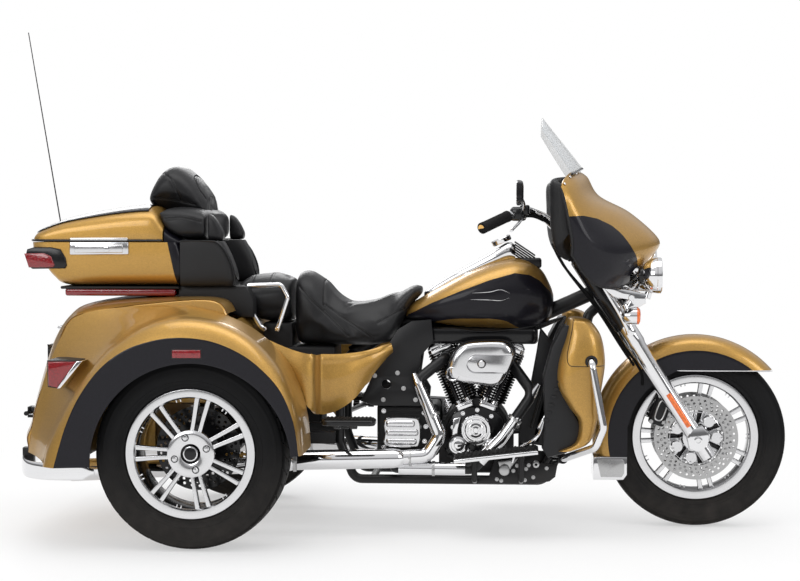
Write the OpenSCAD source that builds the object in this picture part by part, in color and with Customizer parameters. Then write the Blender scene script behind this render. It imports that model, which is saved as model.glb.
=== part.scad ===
// Touring trike: one steered front wheel, two driven rear wheels, a rear body with a
// luggage trunk, and a top box behind the passenger.
// +X is forward, +Y is left, +Z is up. The wheels stand on z = 0.
// Inside this file every place is measured from the rear axle; origin_x then moves the
// whole machine so that its origin is under the middle of its length.

/* [Wheels] */
// Distance between the front and rear axles
wheelbase = 1680; // [1560:10:1900]
// Distance between the middles of the rear tyres
rear_track = 1080; // [1040:10:1300]
// Outside diameter of the front tyre
front_tyre_d = 630; // [600:2:650]
// Width of the front tyre
front_tyre_w = 130; // [110:2:140]
// Outside diameter of the rear tyres
rear_tyre_d = 632; // [600:2:650]
// Width of a rear tyre
rear_tyre_w = 205; // [180:5:225]
// Diameter over the front rim's flanges
front_rim_d = 440; // [400:2:460]
// Diameter over the rear rims' flanges
rear_rim_d = 427; // [390:2:450]
// Pairs of spokes in each wheel
spoke_pairs = 7; // [5:1:9]
// Radius of each axle where a wheel turns on it
axle_r = 20; // [14:1:24]
// Play between an axle or pin and its bore
running_play = 0.1; // [0.05:0.05:0.1]

/* [Steering] */
// Lean of the steering axis from vertical
rake = 26; // [22:1:30]
// How far ahead of the front tyre's contact the steering axis meets the ground
trail = 100; // [80:5:130]
// Lean of the fork legs from vertical
fork_lean = 32.8; // [30:0.2:35]
// Distance between the fork legs
fork_spread = 250; // [230:5:280]
// Diameter of the fork sliders
slider_d = 60; // [50:2:64]
// Half width of the front fairing
fairing_half_w = 395; // [340:5:450]
// Height of the windshield's top edge
windshield_top = 1430; // [1320:10:1600]

/* [Body] */
// Half width of the rear body between the fenders
tub_half_w = 428; // [380:4:440]
// Width over both rear fenders
fender_span = 1390; // [1350:10:1640]
// Thickness of the moulded body walls
body_wall = 12; // [6:1:20]
// Width of the trunk door
trunk_door_w = 640; // [480:10:720]
// Height of the trunk door's lower edge
trunk_door_z = 400; // [380:5:440]
// Height of the trunk door
trunk_door_h = 320; // [240:10:330]
// Gap round a door or lid
door_gap = 5; // [4:0.5:8]

/* [Top box] */
// Half width of the top box
box_half_w = 292; // [240:4:340]
// Height of the joint between the top box and its lid
box_joint_z = 1000; // [960:5:1030]
// Wall of the top box and its lid
box_wall = 8; // [5:1:14]

/* [Seats] */
// Half width of the rider's seat
rider_half_w = 190; // [150:5:220]
// Half width of the passenger's seat
pillion_half_w = 178; // [140:4:220]

/* [Engine] */
// Angle of each cylinder from vertical
bank = 22.5; // [18:0.5:27]
// Radius of a finned cylinder
barrel_r = 58; // [48:1:64]
// Height of the crankshaft
crank_z = 330; // [310:5:350]

/* [Tubes] */
// Radius of the frame's main tubes
rail_r = 16; // [12:1:20]
// Radius of the engine guard's tube
guard_r = 13; // [10:1:16]
// Radius of the handlebar
bar_r = 13; // [11:1:16]

/* [Hidden] */
$fn = 48;
touch = 0.3;                        // gap left where one piece rests on another
front_axle_z = front_tyre_d / 2;
rear_axle_z = rear_tyre_d / 2;
half_track = rear_track / 2;
antenna_foot = [-640, box_half_w + 24, 905];
antenna_tip = [-784, box_half_w + 24, 1782];
origin_x = (wheelbase + front_tyre_d / 2 + antenna_tip[0]) / 2;
nose = wheelbase - 1680;            // how far the forward pieces move with the wheelbase
neck_low = 765;
neck_high = 905;
neck_r = 30;
stem_r = 15;
rail_y = 140;
rail_z = 170;
rail_top = rail_z + rail_r;
crank_x = 915;
seat_floor = 632;
rim_lip = 8;                        // thickness of a rim's flange

// ---------- shared shapes ----------

function steer_x(z) = wheelbase + trail - z * tan(rake);
function fork_x(z) = wheelbase - (z - front_axle_z) * tan(fork_lean);

// Smooth curve through rows of numbers, with k steps between two rows.
function spline_at(r, i, t) =
    let (a = r[max(i - 1, 0)], b = r[i], c = r[i + 1], d = r[min(i + 2, len(r) - 1)])
    0.5 * (2 * b + (c - a) * t + (2 * a - 5 * b + 4 * c - d) * t * t
        + (3 * b - a - 3 * c + d) * t * t * t);
function smooth(r, k) =
    [for (i = [0 : len(r) - 2]) for (j = [0 : k - 1]) spline_at(r, i, j / k), r[len(r) - 1]];

function signed_pow(v, p) = sign(v) * pow(abs(v), p);

// Superellipse across X from a row of x, half width, lowest z, highest z and squareness.
function cross_section(row, count) =
    [for (i = [0 : count - 1]) let (a = 360 * (i + 0.5) / count)
        [row[0], row[1] * signed_pow(cos(a), 2 / row[4]),
            (row[2] + row[3]) / 2 + (row[3] - row[2]) / 2 * signed_pow(sin(a), 2 / row[4])]];

function total(list, i = 0) = i == len(list) - 1 ? list[i] : list[i] + total(list, i + 1);
function middle(ring) = total(ring) / len(ring);

// Closed solid whose skin joins equal rings of points. The rings may turn either way.
module skin(rings) {
    n = len(rings[0]);
    last = len(rings) - 1;
    ring = rings[floor(last / 2)];
    heading = total([for (i = [0 : n - 1]) cross(ring[i], ring[(i + 1) % n])]);
    outward = heading * (middle(rings[last]) - middle(rings[0])) > 0;
    sides = [for (j = [0 : last - 1]) for (i = [0 : n - 1]) let (k = (i + 1) % n)
        each [[j * n + i, (j + 1) * n + i, (j + 1) * n + k], [j * n + i, (j + 1) * n + k, j * n + k]]];
    caps = [[for (i = [0 : n - 1]) i], [for (i = [n - 1 : -1 : 0]) last * n + i]];
    faces = concat(sides, caps);
    polyhedron([for (r = rings) each r], outward ? faces
        : [for (f = faces) [for (i = [len(f) - 1 : -1 : 0]) f[i]]], convexity = 6);
}

// Long body along X from control rows.
module loft(rows, steps = 2, count = 20) {
    skin([for (row = smooth(rows, steps)) cross_section(row, count)]);
}

function unit(v) = v / max(norm(v), 0.000001);

// Shell of even thickness behind a grid of points: rows run one way, points the other.
module shell(grid, wall) {
    nr = len(grid);
    nc = len(grid[0]);
    back = [for (i = [0 : nr - 1]) [for (j = [0 : nc - 1])
        grid[i][j] - wall * unit(cross(grid[min(i + 1, nr - 1)][j] - grid[max(i - 1, 0)][j],
            grid[i][min(j + 1, nc - 1)] - grid[i][max(j - 1, 0)]))]];
    skin([for (i = [0 : nr - 1]) [for (j = [0 : nc - 1]) grid[i][j],
        for (j = [nc - 1 : -1 : 0]) back[i][j]]]);
}

// Straight round bar between two points.
module bar(a, b, r) {
    d = b - a;
    translate(a) rotate([0, acos(d[2] / norm(d)), atan2(d[1], d[0])]) cylinder(h = norm(d), r = r);
}

// Points along a path whose corners are turned on the given bend radius.
function bent_path(path, bend, k = 3) =
    let (last = len(path) - 1)
    [path[0], for (i = [1 : last - 1])
        let (u = unit(path[i] - path[i - 1]), v = unit(path[i + 1] - path[i]),
            turn = acos(min(1, u * v)), inward = unit(v - (u * v) * u),
            c = path[i] - u * bend * tan(turn / 2) + inward * bend)
        for (j = [0 : k]) let (a = turn * j / k) c + bend * (u * sin(a) - inward * cos(a)),
        path[last]];
function heading_at(pts, i) =
    unit(pts[min(i + 1, len(pts) - 1)] - pts[max(i - 1, 0)]);
// Sideways directions carried along the path with no twist.
function carried(pts, i, n) = i == len(pts) ? [] :
    let (t = heading_at(pts, i), m = unit(n - (n * t) * t)) concat([m], carried(pts, i + 1, m));

// Round tube along corner points.
module tube(path, r, bend, sides = 8) {
    pts = bent_path(path, bend);
    first = heading_at(pts, 0);
    n = carried(pts, 0, abs(first[2]) < 0.8 ? [0, 0, 1] : [1, 0, 0]);
    skin([for (i = [0 : len(pts) - 1]) let (b = cross(heading_at(pts, i), n[i]))
        [for (k = [0 : sides - 1]) let (a = 360 * k / sides)
            pts[i] + r * (n[i] * cos(a) + b * sin(a))]]);
}

module both_sides() {
    children();
    mirror([0, 1, 0]) children();
}

// Solid of revolution about a Y axis from a profile of radius and lateral place.
module wheel_turn() {
    rotate([90, 0, 0]) rotate_extrude() children();
}

// Flat outline in X and Z, given thickness along Y between two lateral places.
module side_plate(y_low, y_high) {
    translate([0, y_high, 0]) rotate([90, 0, 0]) linear_extrude(y_high - y_low) children();
}

module at_rest() {
    translate([-origin_x, 0, 0]) children();
}

// ---------- wheels ----------

module tyre(d, w, rim_d, rim_w) {
    bead = rim_d / 2 - 18;
    foot = rim_w / 2 - rim_lip - touch;
    half = [[bead, foot], [bead + 18 + touch, foot], [bead + 22, rim_w / 2 - 3], [bead + 40, w / 2 - 4],
        [(bead + d / 2) / 2, w / 2], [d / 2 - 26, w / 2 - 5], [d / 2 - 9, w * 0.42], [d / 2 - 2, w * 0.28], [d / 2, w * 0.1]];
    last = len(half) - 1;
    color([0.1, 0.1, 0.1]) wheel_turn() polygon([for (p = half) p,
        for (i = [last : -1 : 0]) [half[i][0], -half[i][1]]]);
}

// Cast wheel: the outer face looks along -Y, and each spoke is a tapered bar beside its twin.
module cast_wheel(rim_d, rim_w, face_in, hub_r, hub_low, hub_high) {
    bead = rim_d / 2 - 18 - touch;
    barrel = bead - 12;
    spoke_t = 20;
    face = -rim_w / 2 + face_in;
    difference() {
        union() {
            wheel_turn() polygon([[barrel, -rim_w / 2], [rim_d / 2, -rim_w / 2],
                [rim_d / 2, -rim_w / 2 + rim_lip], [bead, -rim_w / 2 + rim_lip],
                [bead, rim_w / 2 - rim_lip], [rim_d / 2, rim_w / 2 - rim_lip],
                [rim_d / 2, rim_w / 2], [barrel, rim_w / 2]]);
            side_plate(face - 2, face + spoke_t + 2) circle(hub_r);
            side_plate(hub_low, hub_high) circle(hub_r * 0.62);
            for (i = [0 : spoke_pairs - 1]) rotate([0, 360 * (i + 0.25) / spoke_pairs, 0])
                side_plate(face, face + spoke_t) for (s = [-1, 1])
                    polygon([[s * 7, hub_r - 14], [s * 19, hub_r - 14],
                        [s * 30, barrel + 4], [s * 13, barrel + 4]]);
        }
        children();
    }
}

front_rim_w = front_tyre_w - 22;
rear_rim_w = rear_tyre_w - 33;
front_hub_half = fork_spread / 2 - slider_d / 2 - 2;
disc_y = 74;
disc_t = 5;
module front_wheel() {
    color("silver") translate([wheelbase, 0, front_axle_z]) {
        cast_wheel(front_rim_d, front_rim_w, 36, 62, -front_hub_half, front_hub_half)
            side_plate(-200, 200) circle(axle_r * 0.7 + running_play);
        both_sides() difference() {
            side_plate(-disc_y - disc_t, -disc_y) circle(146);
            side_plate(-disc_y - disc_t - 1, -disc_y + 1) circle(96);
        }
        both_sides() difference() {
            union() {
                side_plate(-disc_y - 2, -disc_y + 4) circle(100);
                side_plate(-disc_y, -20) circle(46);
            }
            side_plate(-disc_y - 3, -19) circle(34);
        }
    }
}

module front_tyre() {
    translate([wheelbase, 0, front_axle_z])
        tyre(front_tyre_d, front_tyre_w, front_rim_d, front_rim_w);
}

stub_reach = 45;                    // how far the axle stub goes into a rear hub
hub_inner = rear_rim_w / 2 - 6;
module rear_wheel() {
    color("silver") translate([0, -half_track, rear_axle_z]) {
        cast_wheel(rear_rim_d, rear_rim_w, 12, 78, -rear_rim_w / 2 + 20, hub_inner)
            side_plate(hub_inner - stub_reach - 2, hub_inner + 1) circle(axle_r + running_play);
        for (i = [0 : 3]) rotate([0, 90 * i + 18, 0]) translate([55, 0, 0])
            side_plate(-rear_rim_w / 2 + 2, -rear_rim_w / 2 + 12) circle(9);
        side_plate(-rear_rim_w / 2 + 4, -rear_rim_w / 2 + 12) circle(24);
        difference() {
            side_plate(hub_inner - 14, hub_inner - 8) circle(140);
            side_plate(hub_inner - 15, hub_inner - 7) circle(47);
        }
    }
}

module rear_tyre() {
    translate([0, -half_track, rear_axle_z])
        tyre(rear_tyre_d, rear_tyre_w, rear_rim_d, rear_rim_w);
}

// ---------- frame and running gear ----------

back_tube = [[steer_x(835) - 12, 0, 835], [1150, 0, 742], [650, 0, 712], [470, 0, 600]];
down_tube = [[steer_x(800) - 20, 24, 800], [1306 + nose, 40, 738], [1296 + nose, 50, 640],
    [1192, 112, 240],
    [1150, rail_y, rail_z], [490, rail_y, rail_z], [440, rail_y, 300],
    [440, rail_y, 560], [470, 20, 600]];
module frame() {
    color([0.09, 0.09, 0.1]) difference() {
        union() {
            bar([steer_x(neck_low), 0, neck_low], [steer_x(neck_high), 0, neck_high], neck_r);
            tube(back_tube, 26, 90, 12);
            both_sides() {
                tube(down_tube, rail_r, 40);
                bar([446, rail_y, board_pin_z], [480, board_pin_y - 9, board_pin_z], 9);
                bar([471, board_pin_y, board_pin_z], [489, board_pin_y, board_pin_z], 9);
                bar([440, board_pin_y, board_pin_z], [520, board_pin_y, board_pin_z], 5);
            }
            for (x = [560, 700, 840, 980, 1080])
                translate([x - 12, -rail_y, rail_top - 12]) cube([24, 2 * rail_y, 12]);
            translate([350, -rail_y, 420]) cube([96, 2 * rail_y, 9.7]);
        }
        bar([steer_x(neck_low - 20), 0, neck_low - 20],
            [steer_x(neck_high + 20), 0, neck_high + 20], stem_r + running_play);
    }
}

housing_r = 38;
housing_half = tub_half_w - 3;
tunnel_z = 460;
module rear_axle() {
    stub_end = half_track - hub_inner + stub_reach;
    color([0.12, 0.12, 0.13]) {
        translate([0, 0, rear_axle_z]) {
            side_plate(-housing_half, housing_half) circle(housing_r);
            side_plate(-stub_end, stub_end) circle(axle_r);
            side_plate(-70, 70) circle(92);
        }
        both_sides() {
            translate([0, rail_y - 20, rear_axle_z - 22]) cube([440 - rail_r - touch, 40, 40]);
            translate([0, 300, rear_axle_z]) cylinder(h = tunnel_z - touch - rear_axle_z, r = 26);
        }
    }
}

// ---------- engine ----------

module along_bank(side) {
    translate([crank_x, 0, crank_z]) rotate([0, side * bank, 0]) children();
}

case_half = 108;
barrel_low = 118;
barrel_high = 262;
head_high = 345;
module engine_case() {
    color([0.1, 0.1, 0.11]) difference() {
        union() {
            translate([crank_x - 135, -case_half, rail_top + touch])
                cube([270, 2 * case_half, 174 - touch]);
            side_plate(-case_half, case_half) translate([crank_x, crank_z]) circle(130);
        }
        for (s = [-1, 1]) along_bank(s) translate([-100, -150, barrel_low - touch])
            cube([200, 300, 200]);
    }
}

module cylinders() {
    fin_pitch = 16;
    color([0.14, 0.14, 0.15]) for (s = [-1, 1]) along_bank(s) {
        translate([0, 0, barrel_low]) cylinder(h = barrel_high - barrel_low, r = barrel_r - 10);
        for (z = [barrel_low + 6 : fin_pitch : barrel_high - 8])
            translate([0, 0, z]) cylinder(h = 8, r = barrel_r);
        translate([-barrel_r, -70, barrel_high]) cube([2 * barrel_r - 4, 140, 48]);
        translate([-barrel_r + 6, -76, barrel_high + 48])
            cube([2 * barrel_r - 16, 152, head_high - barrel_high - 48]);
    }
}

module engine_covers() {
    color("silver") {
        side_plate(-case_half - 70, -case_half) {
            translate([crank_x, crank_z + 16]) circle(52);
            translate([crank_x - 62, crank_z - 36]) circle(38);
            translate([crank_x + 50, crank_z - 40]) circle(34);
        }
        side_plate(-case_half - 26, -case_half) translate([crank_x - 110, crank_z - 90])
            square([215, 165]);
        side_plate(case_half, case_half + 92) hull() {
            translate([crank_x, crank_z]) circle(92);
            translate([655, crank_z + 5]) circle(104);
        }
    }
}

gearbox_y = 100;
module gearbox() {
    color([0.12, 0.12, 0.13]) {
        translate([565, -gearbox_y, 245]) cube([crank_x - 135 - 565, 2 * gearbox_y, 185]);
        translate([688, -90, rail_top + touch]) cube([60, 180, 60]);
    }
    color("silver") side_plate(-gearbox_y - 85, -gearbox_y) translate([601, 286]) square([122, 104]);
}

cleaner_x = 933;
cleaner_z = 584;
cleaner_y = 172;
module air_cleaner() {
    outline = [[820, 545], [846, 522], [931, 508], [990, 506], [1022, 545], [1048, 610], [1040, 642],
        [1012, 660], [925, 660], [872, 650], [840, 622], [822, 580]];
    color("silver") side_plate(-cleaner_y - 72, -cleaner_y)
        polygon([for (i = [0 : 11]) for (t = [0, 0.5]) spline_at([outline[(i + 11) % 12], outline[i],
            outline[(i + 1) % 12], outline[(i + 2) % 12]], 1, t)]);
    color([0.15, 0.15, 0.15]) side_plate(-cleaner_y, 10)
        translate([crank_x, 570]) circle(crank_neck_r());
}
function crank_neck_r() = (570 - crank_z) * sin(bank) - barrel_r - touch;

pipe_r = 21;
muffler_r = 38;
muffler_z = rear_axle_z - 100;
muffler_front = rear_axle_z - 66;
module exhausts() {
    port = crank_z + (barrel_high + 24) * cos(bank);
    port_x = (barrel_high + 24) * sin(bank);
    color("silver") {
        tube([[crank_x - port_x, -70 - touch, port], [crank_x - port_x, -140, port],
            [712, -196, 520], [792, -206, 330], [748, -214, muffler_front + 12],
            [600, -238, muffler_front + 5]], pipe_r, 30);
        bar([660, -233, muffler_front + 6], [280, -263, muffler_front], muffler_r - 4);
        bar([300, -262, muffler_front], [-470, -320, muffler_z], muffler_r);
        tube([[crank_x + port_x, -70 - touch, port], [crank_x + port_x, -118, port],
            [1112, -205, 480], [1000, -206, 318], [905, -206, 217], [640, -200, 217],
            [600, 60, 217], [550, 242, muffler_front - 9]], pipe_r, 40);
        bar([570, 228, muffler_front - 11], [280, 263, muffler_front], muffler_r - 4);
        bar([300, 262, muffler_front], [-470, 320, muffler_z], muffler_r);
    }
}

// ---------- tank and seats ----------

tank_rows = [[664, 60, 728, 768, 2.2], [700, 105, 718, 790, 2.4], [790, 150, 706, 842, 2.6],
    [900, 170, 694, 899, 2.7], [1010, 174, 688, 936, 2.7], [1080, 166, 688, 936, 2.6],
    [1140, 138, 698, 900, 2.4], [1172, 96, 724, 846, 2.2], [1184, 50, 750, 812, 2]];
module fuel_tank() {
    tunnel = 26 + touch;
    rise = 93 / (steer_x(835) - 1162);
    color([0.12, 0.11, 0.14]) difference() {
        loft(tank_rows, 2, 24);
        side_plate(-tunnel, tunnel) polygon([[600, 600], [1300, 600], [1300, 776 + 150 * rise],
            [1150, 776], [1110, 739.6 + tunnel], [650, 712 + tunnel], [600, 709 + tunnel]]);
    }
}

module tank_console() {
    top_line = [[735, 838], [800, 880], [880, 926], [950, 962], [990, 1000], [1016, 1014],
        [1046, 1004], [1150, 935], [1120, 922], [1060, 941], [1010, 940], [900, 903], [790, 846]];
    color("silver") difference() {
        side_plate(-52, 52) polygon(top_line);
        loft([for (r = tank_rows) r + [0, touch, -touch, touch, 0]], 2, 24);
    }
}

module battery_case() {
    color([0.1, 0.1, 0.1]) {
        translate([166, -115, 430]) cube([254, 230, seat_floor - 430 - touch]);
        translate([166, -115, 630]) cube([104, 230, 715 - touch - 630]);
    }
}

module rider_seat() {
    w = rider_half_w;
    color([0.13, 0.13, 0.13]) difference() {
        loft([[275, w - 62, 640, 880, 3], [300, w - 28, seat_floor, 899, 3.2],
            [345, w - 14, seat_floor, 892, 3.2], [378, w - 8, seat_floor, 850, 3.2],
            [412, w - 2, seat_floor, 796, 3.4], [470, w, seat_floor, 766, 3.6],
            [550, w - 6, seat_floor, 772, 3.6], [612, w - 28, 650, 798, 3.2],
            [652, w - 56, 712, 826, 2.8], [690, w - 92, 790, 850, 2.4], [724, w - 138, 822, 844, 2]],
            2, 20);
        loft([for (r = tank_rows) r + [0, 3, -3, 3, 0]], 2, 24);
        side_plate(-29, 29) polygon([[440, 500], [760, 500], [760, 750], [640, 742], [440, 618]]);
        translate([200, -300, 500]) cube([500, 600, seat_floor - 500]);
    }
}

module pillion_seat() {
    w = pillion_half_w;
    color([0.13, 0.13, 0.13]) difference() {
        loft([[62, w - 60, 820, 850, 2.6], [92, w - 16, 786, 868, 3], [128, w - 6, 742, 874, 3],
            [160, w, 714, 878, 3.4], [235, w, 712, 884, 3.4], [262, w - 10, 714, 880, 3.2],
            [270, w - 30, 730, 868, 3]], 2, 20);
        translate([100, -300, 600]) cube([200, 600, 715 - 600]);
    }
}

module grab_rails() {
    y = pillion_half_w + 17;
    color("silver") both_sides() {
        tube([[186, y, 694], [168, y, 706], [104, y, 812], [120, y, 846], [240, y, 850],
            [264, y, 806], [226, y, 690]], 9, 16);
        for (x = [184, 228]) bar([x, 115 + touch, 698], [x, y + 6, 698], 6);
    }
}

// ---------- rear body ----------

tub_top = 808;
function tub_ring(y) =
    let (u = abs(y) / tub_half_w, back = -70 * (1 - u * u), round_in = 26 * pow(u, 6))
    [for (p = smooth([[150 - round_in, 300], [150 - round_in, 520],
        [150 - round_in, 620], [146 - round_in, 700], [96, 752], [40, tub_top - 1],
        [-180, tub_top - round_in / 2], [-380 + back / 2, tub_top - 18 - round_in], [-446 + back * 0.8, 748 - round_in / 2],
        [-500 + back + round_in / 2, 650], [-552 + back, 478], [-576 + back, 382],
        [-592 + back, 340], [-586 + back, 300]], 2)) [p[0], y, p[1]]];
tub_ys = [for (u = [-1, -0.97, -0.85, -0.6, -0.3, 0, 0.3, 0.6, 0.85, 0.97, 1]) u * tub_half_w];
trunk_hinge = [-646, trunk_door_z + 2];
module tub_form() {
    skin([for (y = tub_ys) tub_ring(y)]);
}
module trunk_window(gap) {
    translate([-900, -trunk_door_w / 2 + gap, trunk_door_z + gap])
        cube([640, trunk_door_w - 2 * gap, trunk_door_h - 2 * gap]);
}
hinge_ys = [-210, 210];
trunk_floor = 324;
// Block of the trunk's inside, from behind the body to front_x, between two heights.
module inner_block(front_x, z_low, z_high) {
    half = tub_half_w - body_wall;
    translate([-900, -half, z_low]) cube([900 + front_x, 2 * half, z_high - z_low]);
}
module trunk_body() {
    color([0.69, 0.52, 0.26]) {
        difference() {
            tub_form();
            intersection() {
                translate([body_wall + 4, 0, 0]) tub_form();
                union() {
                    inner_block(-40, tunnel_z + body_wall, 762);
                    inner_block(-160, trunk_floor, 500);
                }
            }
            translate([-150, -tub_half_w - 1, 0]) cube([400, 2 * tub_half_w + 2, tunnel_z]);
            trunk_window(0);
        }
        for (y = hinge_ys) for (s = [-1, 1]) difference() {
            translate([trunk_hinge[0], y + s * 32 - 5, trunk_hinge[1]]) rotate([-90, 0, 0])
                cylinder(h = 10, r = 8);
            translate([trunk_hinge[0], y + s * 32 - 6, trunk_hinge[1]]) rotate([-90, 0, 0])
                cylinder(h = 12, r = 4 + running_play);
        }
        for (y = hinge_ys) for (s = [-1, 1])
            translate([trunk_hinge[0] + 5, y + s * 32 - 5, trunk_hinge[1] - 14])
                cube([40, 10, 10]);
    }
}
module trunk_door() {
    color([0.69, 0.52, 0.26]) {
        difference() {
            intersection() {
                tub_form();
                trunk_window(door_gap);
            }
            translate([body_wall, 0, 0]) tub_form();
        }
        for (y = hinge_ys) {
            translate([trunk_hinge[0], y - 38, trunk_hinge[1]]) rotate([-90, 0, 0])
                cylinder(h = 76, r = 4);
            translate([trunk_hinge[0], y - 20, trunk_hinge[1] - 4]) cube([14, 40, 26]);
            translate([trunk_hinge[0] + 5, y - 20, trunk_hinge[1] + 5]) cube([32, 40, 17]);
        }
    }
}

fender_in = tub_half_w + touch;
arch_inner = [[-588, 292], [-576, 372], [-552, 470], [-514, 590], [-458, 706], [-392, 762], [-240, 784],
    [-60, 790], [80, 760], [190, 706], [282, 622], [336, 520], [362, 420], [371, 320]];
arch_crest = [[-486, 276], [-470, 334], [-436, 408], [-392, 490], [-336, 576], [-256, 664], [-150, 732],
    [-40, 762], [76, 752], [180, 708], [258, 640], [318, 560], [356, 455], [371, 320]];
arch_side = [[-432, 276], [-414, 340], [-388, 420], [-346, 508], [-280, 596], [-200, 656], [-110, 688],
    [-20, 699], [80, 688], [170, 652], [240, 602], [304, 530], [346, 430], [362, 322]];
// Outline of a fender at one lateral place: 0 is the inner edge, 1 the crest, 2 the side.
function arch_at(t) = t < 1 ? arch_inner + (arch_crest - arch_inner) * t
    : arch_crest + (arch_side - arch_crest) * (t - 1);
function fender_ring(y, t) = [for (p = smooth(arch_at(t), 2)) [p[0], y, p[1]]];
fender_side = fender_span / 2;
well_r = rear_tyre_d / 2 + 28;
module rear_fender() {
    ys = [[fender_in, 0], [500, 0.5], [570, 0.85], [616, 1], [648, 1.05], [672, 1.35], [686, 1.72],
        [fender_side - 3, 1.94], [fender_side, 2]];
    color([0.69, 0.52, 0.26]) difference() {
        skin([for (r = ys) fender_ring(r[0], r[1])]);
        side_plate(fender_in + 4, fender_side - 8) translate([0, rear_axle_z]) circle(well_r);
        translate([-well_r, fender_in + 4, 0])
            cube([2 * well_r, fender_side - 8 - fender_in - 4, rear_axle_z]);
        side_plate(fender_in - 1, fender_in + 5) translate([0, rear_axle_z]) circle(well_r - 120);
        side_plate(fender_side - 30, fender_side + 1) translate([12, 290]) circle(326);
        translate([-290, fender_side - 30, 200]) cube([600, 40, 110]);
    }
}
module rear_fenders() {
    both_sides() rear_fender();
}

module side_panels() {
    y0 = tub_half_w - 21;
    rows = [[182, y0, 640, 688], [290, y0, 560, 644], [366, y0 - 4, 440, 624], [386, 328, 418, 618],
        [440, 312, 428, 616], [500, 286, 470, 619], [561, 238, 552, 626], [600, 206, 602, 636],
        [622, 186, 624, 640]];
    color([0.69, 0.52, 0.26]) both_sides()
        shell([for (r = smooth(rows, 2)) [for (t = [0 : 0.25 : 1])
            [r[0], r[1] + 10 * sin(180 * t), r[2] + (r[3] - r[2]) * t]]], 10);
}

bumper_low = 218;
bumper_h = 57;
module rear_bumper() {
    pts = smooth([[-330, 570], [-440, 574], [-520, 555], [-590, 480], [-640, 300], [-660, 0]], 3);
    inner = [for (p = pts) p * (1 - 14 / norm(p))];
    both = concat(pts, [for (i = [len(pts) - 2 : -1 : 0]) [pts[i][0], -pts[i][1]]]);
    both_in = concat(inner, [for (i = [len(inner) - 2 : -1 : 0]) [inner[i][0], -inner[i][1]]]);
    color("silver") {
        translate([0, 0, bumper_low]) linear_extrude(bumper_h)
            polygon(concat(both, [for (i = [len(both_in) - 1 : -1 : 0]) both_in[i]]));
        both_sides() translate([-628, 330, bumper_low + 20])
            cube([38, 30, 300 - touch - bumper_low - 20]);
    }
}

module tail_lights() {
    outline = [[-466, 614], [-352, 615], [-425, 530], [-464, 536]];
    color([0.6, 0.05, 0.05]) both_sides() difference() {
        side_plate(430, 628) polygon(outline);
        fender_form_over();
    }
}
// The fender's outer form, a little larger, so that a lamp sits on it.
module fender_form_over() {
    skin([for (r = [[fender_in, 0], [500, 0.5], [570, 0.85], [616, 1], [648, 1.05]])
        [for (p = smooth(arch_at(r[1]), 2)) [p[0] * 1.001, r[0], p[1] + touch]]]);
}

plate_hole_r = 3.5;
plate_holes = 178;
plate_z = 610;
plate_face = -606;
// Number plate holder on the trunk door, with two holes for the plate.
module plate_bracket() {
    color([0.1, 0.1, 0.1]) difference() {
        union() {
            translate([plate_face, -105, plate_z - 75]) cube([6, 210, 95]);
            for (y = [-60, 60]) translate([plate_face + 3, y, plate_z - 30]) rotate([0, 90, 0])
                cylinder(h = 40, r = 9);
        }
        for (s = [-1, 1]) translate([plate_face - 1, s * plate_holes / 2, plate_z])
            rotate([0, 90, 0]) cylinder(h = 8, r = plate_hole_r);
        tub_form_over();
    }
}
module tub_form_over() {
    translate([-touch, 0, 0]) tub_form();
}

// ---------- top box ----------

box_floor_z = 846;
box_cut_x = -150;                   // the lid ends here; the box's front cowl stands before it
lid_rows = [[-612, 40, 992, 1014, 4], [-598, 14, 974, 1036, 4], [-568, 2, 960, 1053, 4],
    [-500, 0, 950, 1080, 4], [-390, 0, 940, 1104, 4], [-290, 0, 940, 1119, 4],
    [-215, 0, 940, 1125, 4], [-186, 1, 940, 1117, 4], [-162, 3, 946, 1080, 4],
    [-138, 6, 950, 1045, 4], [-96, 22, 960, 1014, 4]];
base_rows = [[-614, 36, 966, 1026, 4], [-602, 14, 946, 1040, 5], [-572, 3, 914, 1060, 6],
    [-536, 0, 868, 1060, 6], [-490, 0, 846.6, 1060, 6], [-300, 0, 846, 1060, 6],
    [-140, 0, 846, 1060, 6], [-112, 2, 846, 1030, 6], [-96, 8, 850, 990, 5]];
// Rows whose widths are given as an inset from the box's half width.
function box_form(rows, inset, wall) = [for (r = rows)
    [r[0], box_half_w - r[1] - inset - wall,
        r[2] + box_joint_z - 1000 + wall, r[3] + box_joint_z - 1000 - wall, r[4]]];
module lid_form(wall) {
    loft(box_form(lid_rows, 0, wall));
}
module base_form(wall) {
    loft(box_form(base_rows, 2, wall));
}
module slab(x0, x1, z0, z1) {
    translate([x0, -500, z0]) cube([x1 - x0, 1000, z1 - z0]);
}
lid_hinge = [box_half_w + 13, box_joint_z + 2];
lid_hinge_xs = [-470, -250];
module top_box() {
    color([0.69, 0.52, 0.26]) {
        difference() {
            union() {
                intersection() {
                    base_form(0);
                    slab(-700, 0, 0, box_joint_z - 2);
                }
                intersection() {
                    lid_form(0);
                    slab(box_cut_x, 0, box_joint_z - 3, 1200);
                }
            }
            intersection() {
                base_form(box_wall);
                slab(-596, box_cut_x - box_wall, 0, box_joint_z + 200);
            }
        }
        for (x = lid_hinge_xs) for (s = [-1, 1]) difference() {
            union() {
                translate([x + s * 32 - 5, lid_hinge[0], lid_hinge[1]]) rotate([0, 90, 0])
                    cylinder(h = 10, r = 8);
                translate([x + s * 32 - 5, box_half_w - 6, box_joint_z - 30]) cube([10, 21, 26]);
            }
            translate([x + s * 32 - 6, lid_hinge[0], lid_hinge[1]]) rotate([0, 90, 0])
                cylinder(h = 12, r = 4 + running_play);
        }
        translate([-420, -60, tub_top + touch]) cube([240, 120, box_floor_z - tub_top + 4]);
    }
}
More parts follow.
